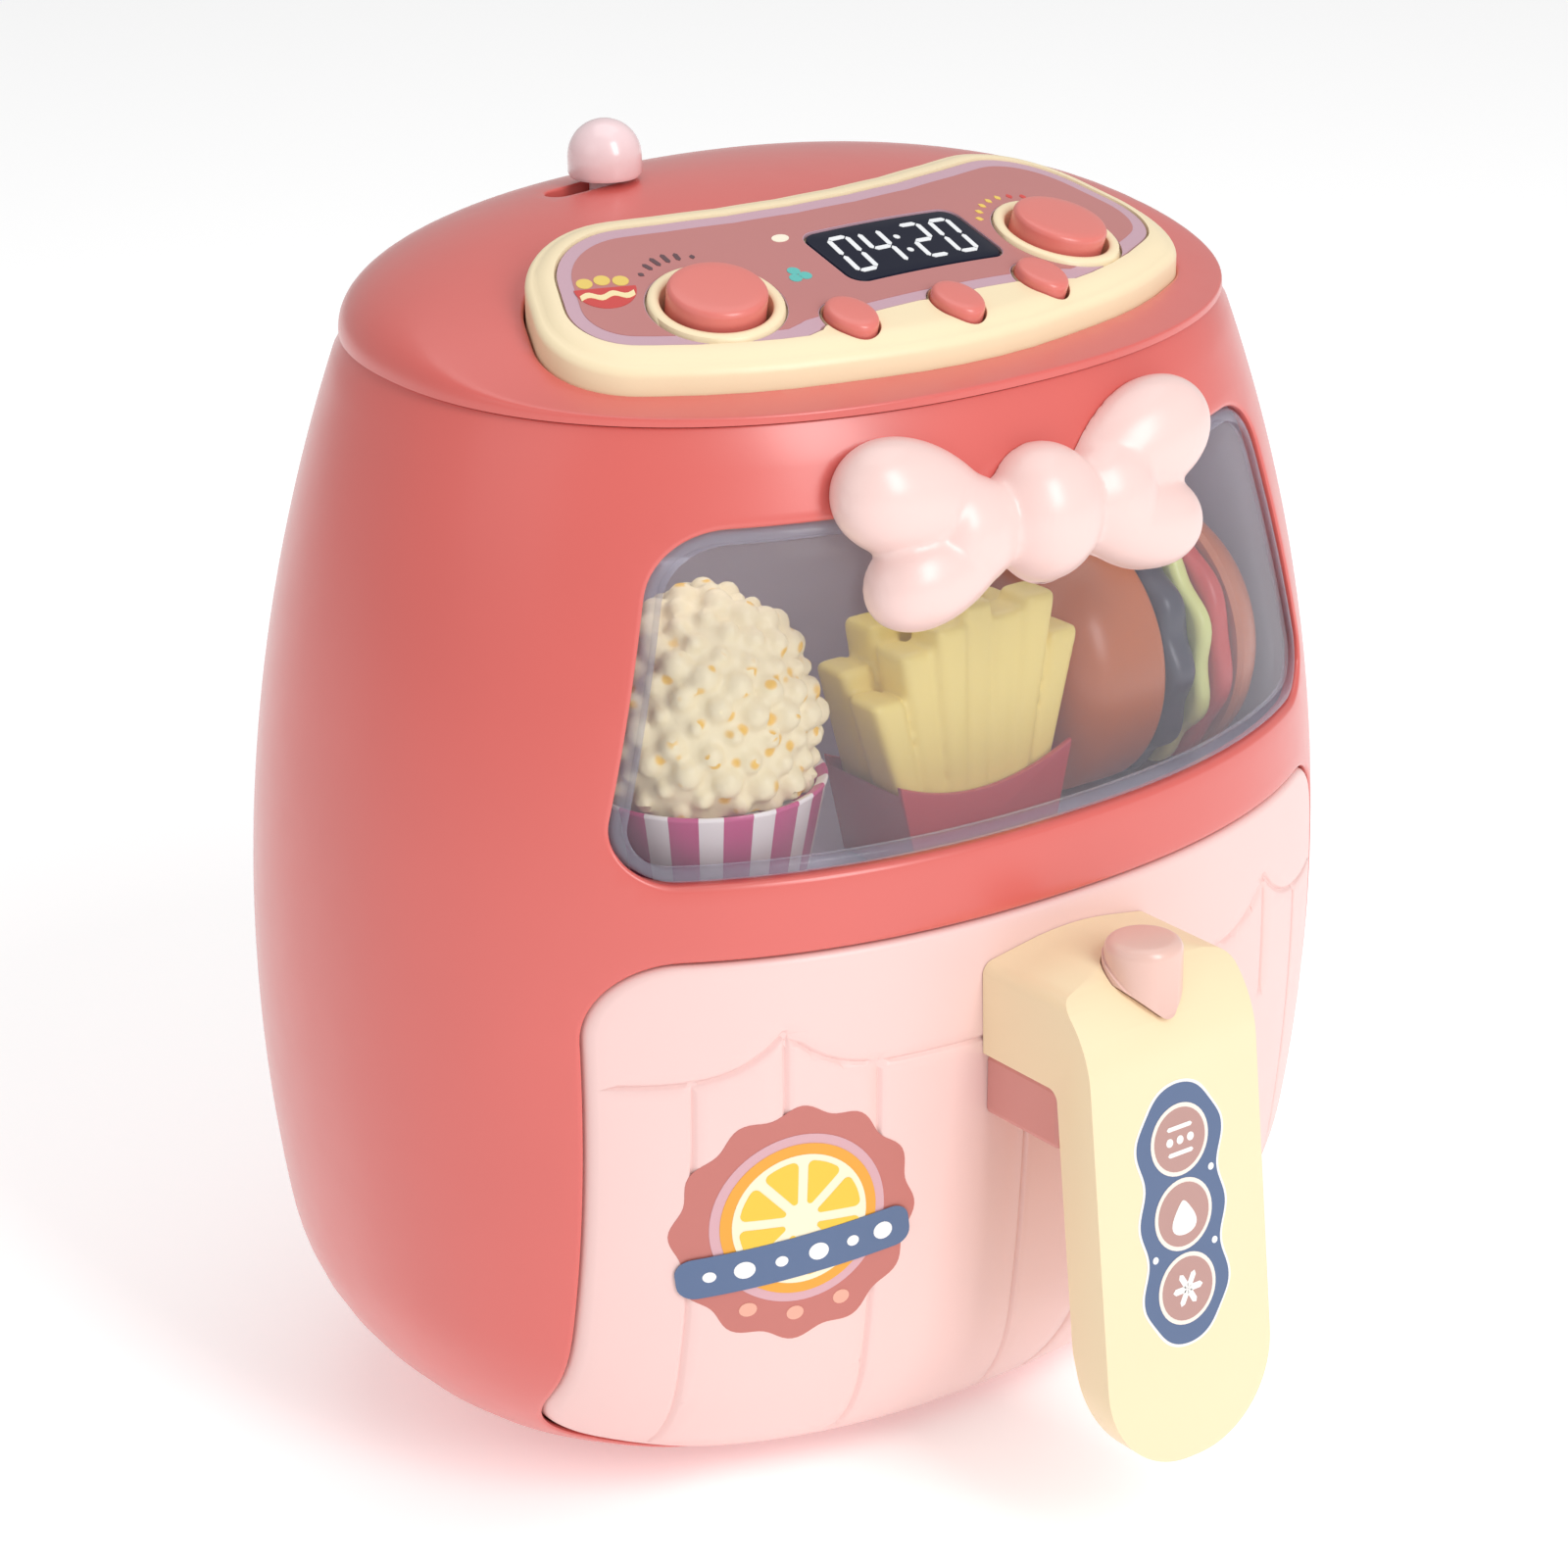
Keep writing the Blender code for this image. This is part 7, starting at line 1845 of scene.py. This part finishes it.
metal, shader, place = shaded("contact_metal")
wired(shader, Base_Color=(0.80, 0.79, 0.77), Metallic=1.0, Roughness=0.25 + place.noise(0.002) * 0.15)
dressed(metal, "battery_contact_bridge", "battery_contact_lower", "battery_contact_upper")

# Studio: a pale paper floor just under the foot, soft light from panels in front, above and at the left,
# and a small glow in the chamber. The camera stands where the photograph's did, as fitted to the housing's
# outline.
FLOOR_DROP = 0.0002
PHOTO_SIZE = 1600
PHOTO_MIDDLE = (810.8, 791.9)
CAMERA_PLACE = (-0.3374, -0.4492, 0.3084)
CAMERA_TURN_DEG = -36.908
CAMERA_RISE_DEG = 21.616
CAMERA_ROLL = -0.010745
CAMERA_LENS = 96.816
bpy.ops.object.select_all(action="DESELECT")
bpy.ops.mesh.primitive_plane_add(size=6, location=(0, 0, -FLOOR_DROP))
floor = bpy.context.active_object
floor.name = "studio_floor"
made, shader, place = shaded("studio_floor_paper")
wired(
    shader, Base_Color=(0.92, 0.92, 0.92), Roughness=0.75 + place.noise(0.5) * 0.1, Specular_IOR_Level=0.2
)
wired(shader, Emission_Color=(1.0, 1.0, 1.0), Emission_Strength=0.34)
floor.data.materials.append(made)

world = bpy.data.worlds.new("studio")
bpy.context.scene.world = world
world.use_nodes = True
sky = world.node_tree.nodes["Background"]
wired(sky, Color=(1, 1, 1), Strength=0.50)


def softbox(name, place, target, size, energy):
    """A rectangular lamp that faces a target."""
    bpy.ops.object.light_add(type="AREA", location=place)
    lamp = bpy.context.active_object
    lamp.name = name
    lamp.data.shape = "RECTANGLE"
    lamp.data.size, lamp.data.size_y = size
    lamp.data.energy = energy
    lamp.rotation_euler = (Vector(target) - Vector(place)).to_track_quat("-Z", "Y").to_euler()
    return lamp


softbox("key_front", (0.05, -1.0, 0.75), (0, 0, 0.09), (0.35, 0.8), 7)
softbox("top", (0.1, 0.1, 1.1), (0, 0, 0.1), (0.9, 0.9), 2.6)
softbox("left_fill", (-0.9, -0.1, 0.6), (0, 0, 0.08), (0.6, 0.6), 0.6)
softbox("chamber_glow", (0, -0.030, 0.138), (0, -0.034, 0.098), (0.100, 0.020), 0.006)

azimuth, elevation = math.radians(CAMERA_TURN_DEG), math.radians(CAMERA_RISE_DEG)
level = math.cos(elevation)
back = Vector((math.sin(azimuth) * level, -math.cos(azimuth) * level, math.sin(elevation)))
right = Vector((math.cos(azimuth), math.sin(azimuth), 0))
up = back.cross(right)
turned_right = right * math.cos(CAMERA_ROLL) + up * math.sin(CAMERA_ROLL)
turned_up = up * math.cos(CAMERA_ROLL) - right * math.sin(CAMERA_ROLL)
bpy.ops.object.camera_add(location=CAMERA_PLACE)
camera = bpy.context.active_object
camera.rotation_euler = Matrix((turned_right, turned_up, back)).transposed().to_euler()
camera.data.lens = CAMERA_LENS
camera.data.sensor_width = 36
camera.data.shift_x = (PHOTO_SIZE / 2 - PHOTO_MIDDLE[0]) / PHOTO_SIZE
camera.data.shift_y = (PHOTO_MIDDLE[1] - PHOTO_SIZE / 2) / PHOTO_SIZE
camera.data.clip_start = 0.01
bpy.context.scene.camera = camera
bpy.context.scene.view_settings.view_transform = "Standard"
